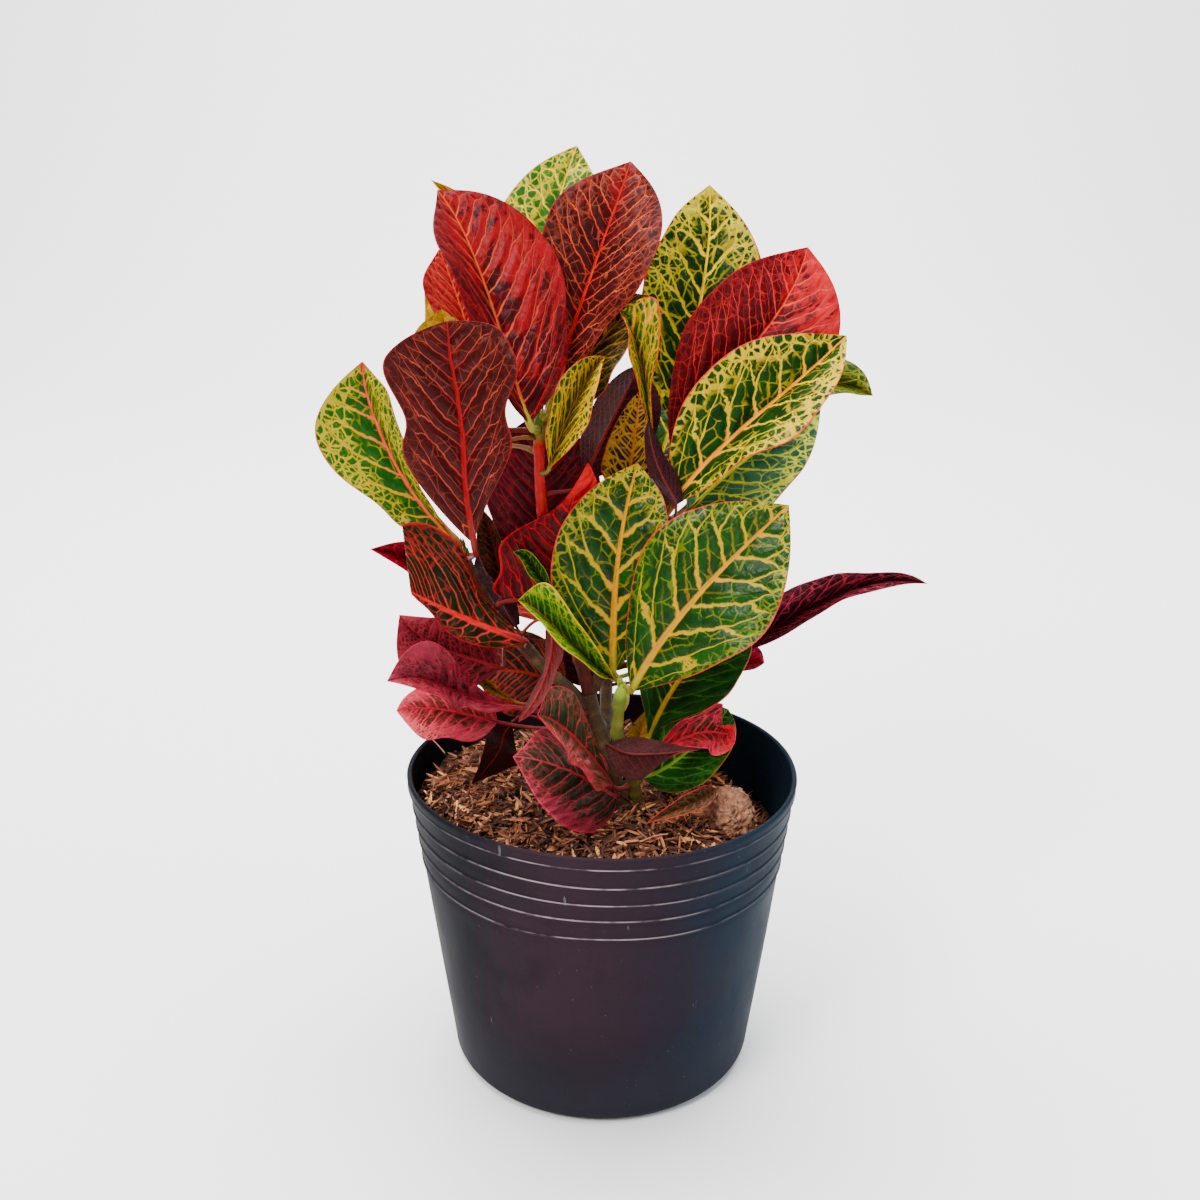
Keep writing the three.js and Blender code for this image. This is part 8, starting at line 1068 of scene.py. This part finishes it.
def pot_mesh():
    def outer(z):
        r = wall_radius(z)
        if z < EDGE_ROUND:
            a = math.acos(1 - z / EDGE_ROUND) if z > 0 else 0
            r = BASE_RADIUS - EDGE_ROUND + (EDGE_ROUND + (wall_radius(EDGE_ROUND) - BASE_RADIUS)) * math.sin(a)
        for b in BEADS[1:]:
            r += 0.75 * math.exp(-((z - b) / 0.85) ** 2) - 0.28 * math.exp(-((z - b + 1.9) / 0.7) ** 2)
        lip = POT_HEIGHT - LIP_DEPTH
        r += LIP_EXTRA * float(smooth(lip - 1.0, lip + 0.5, z))
        r += 0.35 * math.exp(-((z - (lip + 0.8)) / 0.7) ** 2)
        return r
    prof = [(0.0, 0.0)]
    for r in np.linspace(6, BASE_RADIUS - EDGE_ROUND, 12):
        prof.append((r, 0.0))
    for a in np.linspace(0.12, 1.45, 9):
        prof.append((BASE_RADIUS - EDGE_ROUND + (EDGE_ROUND + 0.9) * math.sin(a), EDGE_ROUND * (1 - math.cos(a))))
    z = 7.5
    while z < 159.2:
        prof.append((outer(z), z))
        near = min(abs(z - b) for b in BEADS[1:] + [POT_HEIGHT - LIP_DEPTH, POT_HEIGHT - LIP_DEPTH + 1])
        z += 0.36 if near < 3.0 else 2.2
    ro = outer(159.2)
    for a in np.linspace(0.15, math.pi - 0.15, 8):
        prof.append((ro - 1.35 + 1.35 * math.cos(a), 159.2 + 1.3 * math.sin(a)))
    z = 158.6
    while z > 152.5:
        prof.append((ro - 2.7 - 0.5 * float(smooth(158.6, 152.5, z)), z))
        z -= 1.0
    for z in np.linspace(151.5, 9, 46):
        prof.append((float(wall_radius(z)) - WALL, z))
    prof.append((BASE_RADIUS - EDGE_ROUND + 2.0, FLOOR + 1.2))
    prof.append((BASE_RADIUS - EDGE_ROUND - 1.5, FLOOR))
    for r in np.linspace(BASE_RADIUS - EDGE_ROUND - 5, 6, 8):
        prof.append((r, FLOOR))
    prof.append((0.0, FLOOR))
    seg = 200
    th = np.arange(seg) / seg * 2 * np.pi
    prof = np.array(prof)
    body = prof[1:-1]
    R = body[:, 0][:, None] + dents(th[None, :], np.repeat(body[:, 1][:, None], seg, 1)) * smooth(70, 80, body[:, 0])[:, None]
    V = np.stack([R * np.cos(th), R * np.sin(th), np.repeat(body[:, 1][:, None], seg, 1)], -1).reshape(-1, 3)
    V = np.vstack([V, [[0, 0, 0.0]], [[0, 0, FLOOR]]])
    n = len(body)
    F = []
    for i in range(n - 1):
        for j in range(seg):
            k = (j + 1) % seg
            F.append([i * seg + j, i * seg + k, (i + 1) * seg + k, (i + 1) * seg + j])
    c0, c1 = n * seg, n * seg + 1
    for j in range(seg):
        k = (j + 1) % seg
        F.append([c0, k, j])
        F.append([c1, (n - 1) * seg + j, (n - 1) * seg + k])
    V[:, 2] += (0.8 * noise3(np.stack([V[:, 0] / 45.0 + 9, V[:, 1] / 45.0, V[:, 2] / 22.0], -1))
                * smooth(96, 116, V[:, 2]) * (1 - smooth(148, 156, V[:, 2])) * (np.hypot(V[:, 0], V[:, 1]) > wall_radius(V[:, 2]) - 0.7))
    V = bend(V)
    s = np.concatenate([[0], np.cumsum(np.linalg.norm(np.diff(body, axis=0), axis=1))])
    ts = np.stack([np.repeat(th[None] / (2 * np.pi), n, 0).ravel(), np.repeat(s[:, None] / s[-1], seg, 1).ravel()], 1)
    ts = np.vstack([ts, [[0, 0], [0, 1]]])
    out = np.arange(n) < np.argmax(body[:, 1])
    tops = [b + 0.25 for b in BEADS[1:]] + [POT_HEIGHT - LIP_DEPTH + 0.9]
    peak = np.max([np.exp(-((body[:, 1] - b) / 0.34) ** 2) for b in tops], axis=0) * out
    crest = np.stack([np.repeat(peak[:, None], seg, 1).ravel(), np.tile(th, n)], 1)
    return V, F, ts, np.vstack([crest, [[0, 0], [0, 0]]])


def pot_material():
    g = G("pot_plastic")
    o = g.obj()
    x, y, z = g.split(o)
    cm = g.vscale(o, 100.0)
    haze = g.noise(cm, 0.22, 3.0, 0.6)
    dust = g.noise(cm, 0.9, 6.0, 0.7)
    streak = g.noise(g.vscale(o, (60.0, 60.0, 9.0)), 1.2, 4.0, 0.65)
    # Soot black, with a little painted blue reflection towards the right and a painted brown reflection just left of
    # the middle.
    crest, round_at, _ = g.uv("crest")
    blue_reflection_zone = g.step(x + (haze - 0.5) * 0.05, -0.01, 0.075)
    brown_reflection_zone = g.step(x + (haze - 0.5) * 0.06, -0.07, -0.025) * (1.0 - blue_reflection_zone)
    col = g.mix(g.step(haze, 0.35, 0.7), srgb((0.0045, 0.0049, 0.0073)), srgb((0.0084, 0.0078, 0.0112)))
    col = g.mix(blue_reflection_zone * 0.85, col, srgb((0.0074, 0.0162, 0.0271)))
    col = g.mix(brown_reflection_zone * g.step(z, 0.02, 0.07, 0.3, 0.85), col, srgb((0.0232, 0.0122, 0.0182)))
    col = g.mix(g.step(streak, 0.5, 0.8) * 0.3, col, srgb((0.0127, 0.0098, 0.0133)))
    # Paler and bluer towards the foot: a painted reflection of the floor.
    col = g.mix(g.step(z, 0.06, 0.0) * 0.6, col, srgb((0.0211, 0.0211, 0.0282)))
    # Pale lines on the bead crests: a painted highlight, strongest in a band just left of the middle.
    painted_ridge_highlight = g.step(crest, 0.2, 0.75) * g.step(g.noise(g.vec(round_at * 5.0, z * 40.0, 0.0), 1.0, 3.0, 0.6), 0.32, 0.60)
    front = (1.0 - g.step(x, 0.0, 0.07)) * g.step(x, -0.085, -0.03)
    col = g.mix(painted_ridge_highlight * (front * 0.62 + 0.16), col, srgb((0.2857, 0.2310, 0.2448)))
    # Dry soil dust near the rim and the foot.
    low = 1.0 - g.step(z, 0.0, 0.035)
    high = g.step(z, 0.135, 0.162)
    grime = g.top(low * 0.6, high * 0.45) * g.step(dust, 0.5, 0.8)
    col = g.mix(grime * 0.5, col, srgb((0.0304, 0.0239, 0.0224)))
    # Scuffs: short pale scratches and chips.
    sc = g.noise(g.vscale(o, (300.0, 300.0, 55.0)), 1.0, 2.0, 0.5)
    scm = g.step(sc, 0.735, 0.765) * g.step(g.noise(cm, 0.5, 2.0), 0.48, 0.6)
    chips = g.step(g.noise(cm, 9.0, 2.0), 0.735, 0.77) * g.step(g.noise(cm, 0.7, 2.0), 0.46, 0.58)
    marks = g.top(scm * 0.35, chips * 0.5)
    col = g.mix(marks, col, srgb((0.1572, 0.1654, 0.1875)))
    rough = g.step(haze, 0.3, 0.75) * 0.10 + 0.42 + grime * 0.2 + marks * 0.2 + (streak - 0.5) * 0.12
    h = g.noise(cm, 14.0, 3.0) * 0.25 + g.noise(cm, 1.3, 3.0) * 0.9 + streak * 0.3 - marks * 0.4
    return g.shade(col, rough, g.bump(h, 0.00025, 0.5), Specular_IOR_Level=0.05, IOR=1.25)


V, F, ts, crest = pot_mesh()
pot = make("pot_wall", V, F, [pot_material()], None, {"ts": ts, "crest": crest}, replaces=("pot",))
_c = []
_f = []
for i in range(HOLES):
    a = (i + 0.5) / HOLES * 2 * math.pi
    v, f, _, _ = sweep([[HOLE_CIRCLE * math.cos(a), HOLE_CIRCLE * math.sin(a), z] for z in (-2.0, 0.4, 1.2, 3.6)],
                       [HOLE_RADIUS] * 4, 28)
    _f += [[k + 28 * 4 * i + 2 * i for k in q] for q in f]
    _c.append(v)
cutter = make("hole_cutter", np.vstack(_c), _f, [])
mod = pot.modifiers.new("holes", "BOOLEAN")
mod.object = cutter
mod.operation = "DIFFERENCE"
mod.solver = "EXACT"
dg = bpy.context.evaluated_depsgraph_get()
cut = bpy.data.meshes.new_from_object(pot.evaluated_get(dg))
pot.modifiers.clear()
if len(cut.polygons) > 1000:
    old = pot.data
    pot.data = cut
    bpy.data.meshes.remove(old)
bpy.data.objects.remove(cutter, do_unlink=True)
pot.data.polygons.foreach_set("use_smooth", np.ones(len(pot.data.polygons), bool))
pot.data.update()


# ---- soil -----------------------------------------------------------------------------
def soil_radius(th):
    r, zt = np.full_like(th, 90.0), np.full_like(th, 140.0)
    for _ in range(6):
        q = wall_radius(zt) - WALL - GAP - 0.1
        e = bend(np.stack([np.cos(th) * q, np.sin(th) * q, zt], -1))
        r = np.hypot(e[..., 0], e[..., 1])
        zt = soil_top(np.cos(th) * r, np.sin(th) * r)
    return r


def soil_mesh():
    seg, rings = 240, 74
    th = np.arange(seg) / seg * 2 * np.pi
    r1 = soil_radius(th)
    f = np.linspace(0.012, 1, rings)[::-1]
    X, Y = (f[:, None] * (r1 * np.cos(th))[None]), (f[:, None] * (r1 * np.sin(th))[None])
    Z = soil_top(X, Y)
    P = np.stack([X, Y, Z], -1)
    rough = 1.7 * fbm(P[..., :3] / 5.5, 3, 0.6) + 0.5 * noise3(P / 1.3)
    P[..., 2] += (rough - 0.5) * (1 - 0.6 * smooth(0.95, 1, f))[:, None]
    rows = [np.stack([np.cos(th) * (BASE_RADIUS - EDGE_ROUND - 2), np.sin(th) * (BASE_RADIUS - EDGE_ROUND - 2), np.full(seg, FLOOR + GAP)], -1)]
    for z in (11.0, 40.0, 80.0, 115.0):
        q = wall_radius(z) - WALL - GAP - 0.5
        rows.append(bend(np.stack([np.cos(th) * q, np.sin(th) * q, np.full(seg, z)], -1)))
    V = np.vstack([np.vstack(rows), P.reshape(-1, 3), [[0, 0, FLOOR + GAP]], [[0, 0, float(soil_top(0, 0)) - 0.5]]])
    n = len(rows) + rings
    F = []
    for i in range(n - 1):
        for j in range(seg):
            k = (j + 1) % seg
            F.append([i * seg + j, i * seg + k, (i + 1) * seg + k, (i + 1) * seg + j])
    for j in range(seg):
        k = (j + 1) % seg
        F.append([n * seg, k, j])
        F.append([n * seg + 1, (n - 1) * seg + j, (n - 1) * seg + k])
    return V, F


def soil_material():
    g = G("soil_mix")
    cm = g.vscale(g.obj(), 100.0)
    n = g.noise(cm, 3.0, 6.0, 0.7)
    chips = g.cells(cm, 4.5, "F1")
    col = g.mix(g.step(n, 0.35, 0.65), srgb((0.0065, 0.0031, 0.0019)), srgb((0.0475, 0.0232, 0.0088)))
    col = g.mix(g.step(chips, 0.5, 0.2) * 0.45, col, srgb((0.1135, 0.0646, 0.0248)))
    h = n * 1.0 + g.noise(cm, 14.0, 4.0) * 0.5
    return g.shade(col, 0.92, g.bump(h, 0.0015, 0.9), Specular_IOR_Level=0.08)


V, F = soil_mesh()
make("soil_bed", V, F, [soil_material()], replaces=("soil",))


def litter_material(name, tones, rough=0.75):
    """Colour varies from piece to piece, and along each piece."""
    g = G(name)
    r1, r2, _ = g.uv("ts")
    u, v, _ = g.uv("cm")
    col = g.mix(g.step(r1, 0.0, 0.45), srgb(tones[0]), srgb(tones[1]))
    col = g.mix(g.step(r1, 0.5, 0.8), col, srgb(tones[2]))
    col = g.mix(g.step(r1, 0.86, 1.0), col, srgb(tones[3]))
    fib = g.noise(g.vec(u * 1.2 + r2 * 9.0, v * 9.0, r1 * 7.0), 3.0, 3.0, 0.6)
    col = g.mix(g.step(fib, 0.42, 0.7) * 0.5, col, g.mix(1.0, col, (0.42, 0.36, 0.32, 1), "MULTIPLY"))
    return g.shade(col, (fib - 0.5) * 0.2 + rough, g.bump(fib, 0.0003, 0.6), Specular_IOR_Level=0.12)


def rotations(n, rng, tilt):
    yaw, pit, rol = rng.random(n) * 2 * np.pi, (rng.random(n) - 0.5) * 2 * tilt, rng.random(n) * 2 * np.pi
    cy, sy, cp, sp, cr, sr = np.cos(yaw), np.sin(yaw), np.cos(pit), np.sin(pit), np.cos(rol), np.sin(rol)
    Rz = np.zeros((n, 3, 3)); Rz[:, 0, 0] = cy; Rz[:, 0, 1] = -sy; Rz[:, 1, 0] = sy; Rz[:, 1, 1] = cy; Rz[:, 2, 2] = 1
    Ry = np.zeros((n, 3, 3)); Ry[:, 0, 0] = cp; Ry[:, 0, 2] = sp; Ry[:, 2, 0] = -sp; Ry[:, 2, 2] = cp; Ry[:, 1, 1] = 1
    Rx = np.zeros((n, 3, 3)); Rx[:, 0, 0] = 1; Rx[:, 1, 1] = cr; Rx[:, 1, 2] = -sr; Rx[:, 2, 1] = sr; Rx[:, 2, 2] = cr
    return Rz @ Ry @ Rx


def scatter_points(n, rng, margin):
    out = []
    while len(out) < n:
        th = rng.random() * 2 * np.pi
        r = math.sqrt(rng.random())
        lim = float(soil_radius(np.array([th]))[0]) - margin
        x, y = r * lim * math.cos(th), r * lim * math.sin(th)
        if math.hypot((x - STONE_CENTRE[0]) / (STONE_RADII[0] - 1), (y - STONE_CENTRE[1]) / (STONE_RADII[1] - 1)) < 1:
            continue
        if math.hypot(x - 10.5, y + 8) < 5 or math.hypot(x - 19.5, y + 10) < 4:
            continue
        out.append((x, y))
    return np.array(out)


def litter(name, n, seed, template, faces, uv, scale, tilt, lift, mat, margin=3.0, bow=0.0):
    """n copies of a template (k verts, unit size), each turned, sized and bent its own way."""
    rng = np.random.default_rng(seed)
    pts = scatter_points(n, rng, margin)
    R = rotations(n, rng, tilt)
    sc = np.array([[s[0] + (s[1] - s[0]) * v for s, v in zip(scale, rng.random(3))] for _ in range(n)])
    k = len(template)
    T = template[None] * sc[:, None, :]
    T = T * (1 + 0.10 * (rng.random((n, k, 1)) - 0.5))
    if bow:
        b = (rng.random(n) - 0.5) * 2 * bow
        T[..., 1] += b[:, None] * (template[None, :, 0] ** 2) * sc[:, 0:1]
        b = (rng.random(n) - 0.5) * bow
        T[..., 2] += b[:, None] * (template[None, :, 0] ** 2 - 0.3) * sc[:, 0:1]
    W = np.einsum("nij,nkj->nki", R, T)
    z = soil_top(pts[:, 0], pts[:, 1]) + lift[0] + (lift[1] - lift[0]) * rng.random(n)
    W = W + np.stack([pts[:, 0], pts[:, 1], z], -1)[:, None]
    F = (np.arange(n)[:, None, None] * k + np.asarray(faces)[None]).reshape(-1, np.asarray(faces).shape[1])
    col = rng.random((n, 2))
    ts = np.repeat(col[:, None], k, 1).reshape(-1, 2)
    cm = (uv[None] * sc[:, None, :2] * 0.1 + rng.random((n, 1, 2)) * 5).reshape(-1, 2)
    return make(name, W.reshape(-1, 3), F, [mat], None, {"ts": ts, "cm": cm})


def hull_template():
    """A boat-shaped husk with a keel and pointed ends, closed."""
    xs = np.array([-1, -0.82, -0.45, 0.0, 0.45, 0.82, 1.0]) * 0.5
    w = np.array([0.06, 0.52, 0.9, 1.0, 0.86, 0.45, 0.05]) * 0.5
    ang = np.array([-2.6, -1.9, -1.2, -0.5, 0.5, 1.2, 1.9, 2.6]) / 2.6
    V = []
    for x, r in zip(xs, w):
        for a in ang:
            V.append([x, r * math.sin(a * 1.45), -r * math.cos(a * 1.45) * 0.9 + 0.25])
    n = len(ang)
    inner = [[x, v[1] * 0.82, v[2] * 0.82 + 0.05] for x, v in ((q[0] * 0.95, q) for q in V)]
    V = V + inner
    m = len(xs) * n
    F = []
    for i in range(len(xs) - 1):
        for j in range(n - 1):
            a, b, c, d = i * n + j, i * n + j + 1, (i + 1) * n + j + 1, (i + 1) * n + j
            F.append([a, b, c, d])
            F.append([a + m, d + m, c + m, b + m])
        for j in (0, n - 1):
            a, d = i * n + j, (i + 1) * n + j
            F.append([a, d, d + m, a + m] if j == 0 else [d, a, a + m, d + m])
    for i, flip in ((0, False), (len(xs) - 1, True)):
        for j in range(n - 1):
            a, b = i * n + j, i * n + j + 1
            F.append([a, a + m, b + m, b] if not flip else [b, b + m, a + m, a])
    V = np.array(V)
    return V, np.array(F), np.stack([V[:, 0], V[:, 1]], 1)


def strip_template(rings=7, sides=5):
    xs = np.linspace(-0.5, 0.5, rings)
    V = []
    for x in xs:
        k = (1 - (2 * x) ** 4) * 0.5 + 0.12
        for j in range(sides):
            a = j / sides * 2 * math.pi
            V.append([x, k * math.cos(a), k * math.sin(a)])
    V += [[-0.52, 0, 0], [0.52, 0, 0]]
    F = []
    for i in range(rings - 1):
        for j in range(sides):
            k = (j + 1) % sides
            F.append([i * sides + j, i * sides + k, (i + 1) * sides + k, (i + 1) * sides + j])
    e = rings * sides
    for j in range(sides):
        k = (j + 1) % sides
        F.append([e, k, j, j])
        F.append([e + 1, (rings - 1) * sides + j, (rings - 1) * sides + k, (rings - 1) * sides + k])
    V = np.array(V)
    return V, F, np.stack([V[:, 0], V[:, 1]], 1)


def split_faces(F):
    """Quads with a doubled corner become triangles."""
    return [list(dict.fromkeys(f)) for f in F]


HUSK = litter_material("husk", ((0.0472, 0.0173, 0.0120), (0.2006, 0.0735, 0.0382), (0.4975, 0.1738, 0.0752), (0.8500, 0.4197, 0.1381)), 0.6)
FIBRE = litter_material("fibre", ((0.0225, 0.0096, 0.0070), (0.0695, 0.0341, 0.0216), (0.1318, 0.0630, 0.0405), (0.2959, 0.1469, 0.0903)), 0.8)
CRUMB = litter_material("crumb", ((0.0063, 0.0022, 0.0016), (0.0170, 0.0061, 0.0032), (0.0371, 0.0140, 0.0080), (0.0756, 0.0305, 0.0179)), 0.92)
PITH = litter_material("pith", ((0.0470, 0.0185, 0.0142), (0.0939, 0.0406, 0.0302), (0.1696, 0.0789, 0.0561), (0.3268, 0.1631, 0.1214)), 0.85)

hv, hf, hu = hull_template()
litter("soil_husks", 3300, 21, hv, hf, hu, ((7.4, 12.0), (1.6, 2.4), (1.2, 1.9)), 0.72, (0.0, 3.2), HUSK, 5.5)
sv, sf, su = strip_template()


def strips(name, n, seed, scale, tilt, lift, mat, margin, bow):
    rng = np.random.default_rng(seed)
    k = len(sv)
    pts = scatter_points(n, rng, margin)
    R = rotations(n, rng, tilt)
    sc = np.array([[s[0] + (s[1] - s[0]) * v for s, v in zip(scale, rng.random(3))] for _ in range(n)])
    T = sv[None] * sc[:, None, :]
    T = T * (1 + 0.25 * (rng.random((n, k, 1)) - 0.5) * np.array([0.0, 1.0, 1.0]))
    b = (rng.random((n, 2)) - 0.5) * bow
    T[..., 1] += b[:, 0:1] * sv[None, :, 0] ** 2 * sc[:, 0:1]
    T[..., 2] += b[:, 1:2] * (sv[None, :, 0] ** 2 - 0.1) * sc[:, 0:1] * 0.6
    W = np.einsum("nij,nkj->nki", R, T)
    z = soil_top(pts[:, 0], pts[:, 1]) + lift[0] + (lift[1] - lift[0]) * rng.random(n)
    W = W + np.stack([pts[:, 0], pts[:, 1], z], -1)[:, None]
    base = split_faces(sf)
    F = [[q + i * k for q in f] for i in range(n) for f in base]
    col = rng.random((n, 2))
    ts = np.repeat(col[:, None], k, 1).reshape(-1, 2)
    cm = (su[None] * sc[:, None, :2] * 0.1 + rng.random((n, 1, 2)) * 5).reshape(-1, 2)
    return make(name, W.reshape(-1, 3), F, [mat], None, {"ts": ts, "cm": cm})


strips("soil_fibres", 900, 31, ((7, 22), (0.5, 1.1), (0.35, 0.8)), 0.28, (0.2, 1.9), FIBRE, 9.0, 1.6)
strips("soil_chips", 700, 33, ((4, 10), (1.2, 2.8), (0.9, 1.8)), 0.5, (-0.2, 1.4), PITH, 5.0, 0.7)
strips("soil_crumbs", 2600, 35, ((1.4, 3.6), (1.2, 3.0), (1.0, 2.4)), 1.2, (-0.3, 1.1), CRUMB, 2.0, 0.4)


# ---- the rough lump on the soil ------------------------------------------------------------
def lump_mesh():
    bm = bmesh.new()
    bmesh.ops.create_icosphere(bm, subdivisions=6, radius=1.0)
    P = np.array([v.co[:] for v in bm.verts])
    F = [[v.index for v in f.verts] for f in bm.faces]
    bm.free()
    x, y, z = P.T
    n = (1 + 0.07 * np.sin(3.1 * x + 1.3 * y + 0.4) * np.cos(2.3 * z - 1.1 * y)
         + 0.05 * np.sin(5.2 * z + 4.1 * x) + 0.04 * np.sin(6.3 * y - 3.7 * x + 1.2))
    W = P * n[:, None] * (np.array(STONE_RADII) + np.array([3.0, 1.4, 2.0]))
    d = 2.6 * (1 - np.abs(fbm(P * 2.6 + 4, 4, 0.55)) * 2) - 1.8 + 1.8 * fbm(P * 7.0, 3, 0.65) + 0.9 * noise3(P * 20)
    W = W + P * d[:, None]
    return W + np.array(STONE_CENTRE), F


def lump_material():
    g = G("lump")
    cm = g.vscale(g.obj(), 100.0)
    n = g.noise(cm, 2.2, 5.0, 0.65)
    f = g.noise(cm, 9.0, 4.0, 0.7)
    col = g.mix(g.step(n, 0.32, 0.66), srgb((0.2247, 0.1071, 0.0688)), srgb((0.6094, 0.2666, 0.1507)))
    col = g.mix(g.step(f, 0.55, 0.7) * 0.5, col, srgb((0.8500, 0.6528, 0.3618)))
    col = g.mix(g.step(f, 0.42, 0.3) * 0.6, col, srgb((0.0548, 0.0273, 0.0191)))
    return g.shade(col, 0.9, g.bump(n + f * 0.8, 0.0012, 0.8), Specular_IOR_Level=0.1)


V, F = lump_mesh()
make("soil_lump", V, F, [lump_material()], replaces=("stone",))


# ---- a dry straw against the wall ------------------------------------------------------------
def straw(name, pts, radius, seed):
    P = smooth_path([[*q, radius] for q in pts], 10)
    r = P[:, 3] * (1 + 0.12 * noise3(P[:, :3] / 2.0 + seed))
    v, f, along, around = sweep(P[:, :3], r, 8)
    ts = np.stack([np.full(len(v), 0.72), np.full(len(v), 0.4)], 1)
    make(name, v, f, [HUSK], None, {"ts": ts, "cm": np.stack([along, around], 1) / 10})


straw("straw_a", STRAW_A, 0.28, 3)
straw("straw_b", STRAW_B, 0.35, 8)


# ---- floor, lights -----------------------------------------------------------------------------
def stage_floor():
    """A floor that curves up into a wall far behind."""
    prof = [(-4.0, 0.0), (0.0, 0.0), (1.0, 0.0)]
    for a in np.linspace(0, math.pi / 2, 16)[1:]:
        prof.append((1.6 + 1.2 * math.sin(a), 1.2 - 1.2 * math.cos(a)))
    prof.append((2.8, 4.0))
    xs = np.linspace(-5, 5, 21)
    V = [[x * 1000, y * 1000, z * 1000 - 0.15] for y, z in prof for x in xs]
    n = len(xs)
    F = [[i * n + j, i * n + j + 1, (i + 1) * n + j + 1, (i + 1) * n + j] for i in range(len(prof) - 1) for j in range(n - 1)]
    me = bpy.data.meshes.new("backdrop")
    me.from_pydata([[c * MM for c in v] for v in V], [], F)
    me.polygons.foreach_set("use_smooth", np.ones(len(me.polygons), bool))
    g = G("backdrop")
    n1 = g.noise(g.obj(), 1.2, 2.0)
    me.materials.append(g.shade(g.mix(n1 * 0.05, (0.90, 0.90, 0.90, 1), (0.87, 0.87, 0.875, 1)), 0.85, Specular_IOR_Level=0.1))
    o = bpy.data.objects.new("backdrop", me)
    bpy.context.scene.collection.objects.link(o)


stage_floor()


def area(name, loc, aim, size, power, colour, spread=None):
    d = bpy.data.lights.new(name, "AREA")
    d.shape = "RECTANGLE"
    d.size, d.size_y = size
    d.energy = power
    d.color = colour
    o = bpy.data.objects.new(name, d)
    o.location = loc
    o.rotation_euler = (Vector(aim) - Vector(loc)).to_track_quat("-Z", "Y").to_euler()
    bpy.context.scene.collection.objects.link(o)


area("top", (-0.2, 0.4, 2.3), (0, 0.25, 0), (2.2, 2.2), 155, (1.0, 1.0, 1.0))
area("key", (-1.1, -1.4, 1.9), (0, 0, 0.3), (0.8, 0.8), 60, (1.0, 0.985, 0.96))
area("side", (1.7, -0.4, 0.9), (0, 0, 0.2), (0.8, 1.5), 16, (0.66, 0.84, 1.0))
area("front", (0.1, -2.2, 0.9), (0, 0, 0.12), (0.4, 1.4), 14, (1.0, 0.82, 0.80))
area("back", (0.0, 1.1, 2.3), (0, 2.5, 0.4), (3.0, 1.0), 110, (1.0, 1.0, 1.0))
world = bpy.data.worlds.new("studio")
world.use_nodes = True
bpy.context.scene.world = world
bg = world.node_tree.nodes["Background"]
bg.inputs[0].default_value = (0.93, 0.95, 1.0, 1)
bg.inputs[1].default_value = 0.4
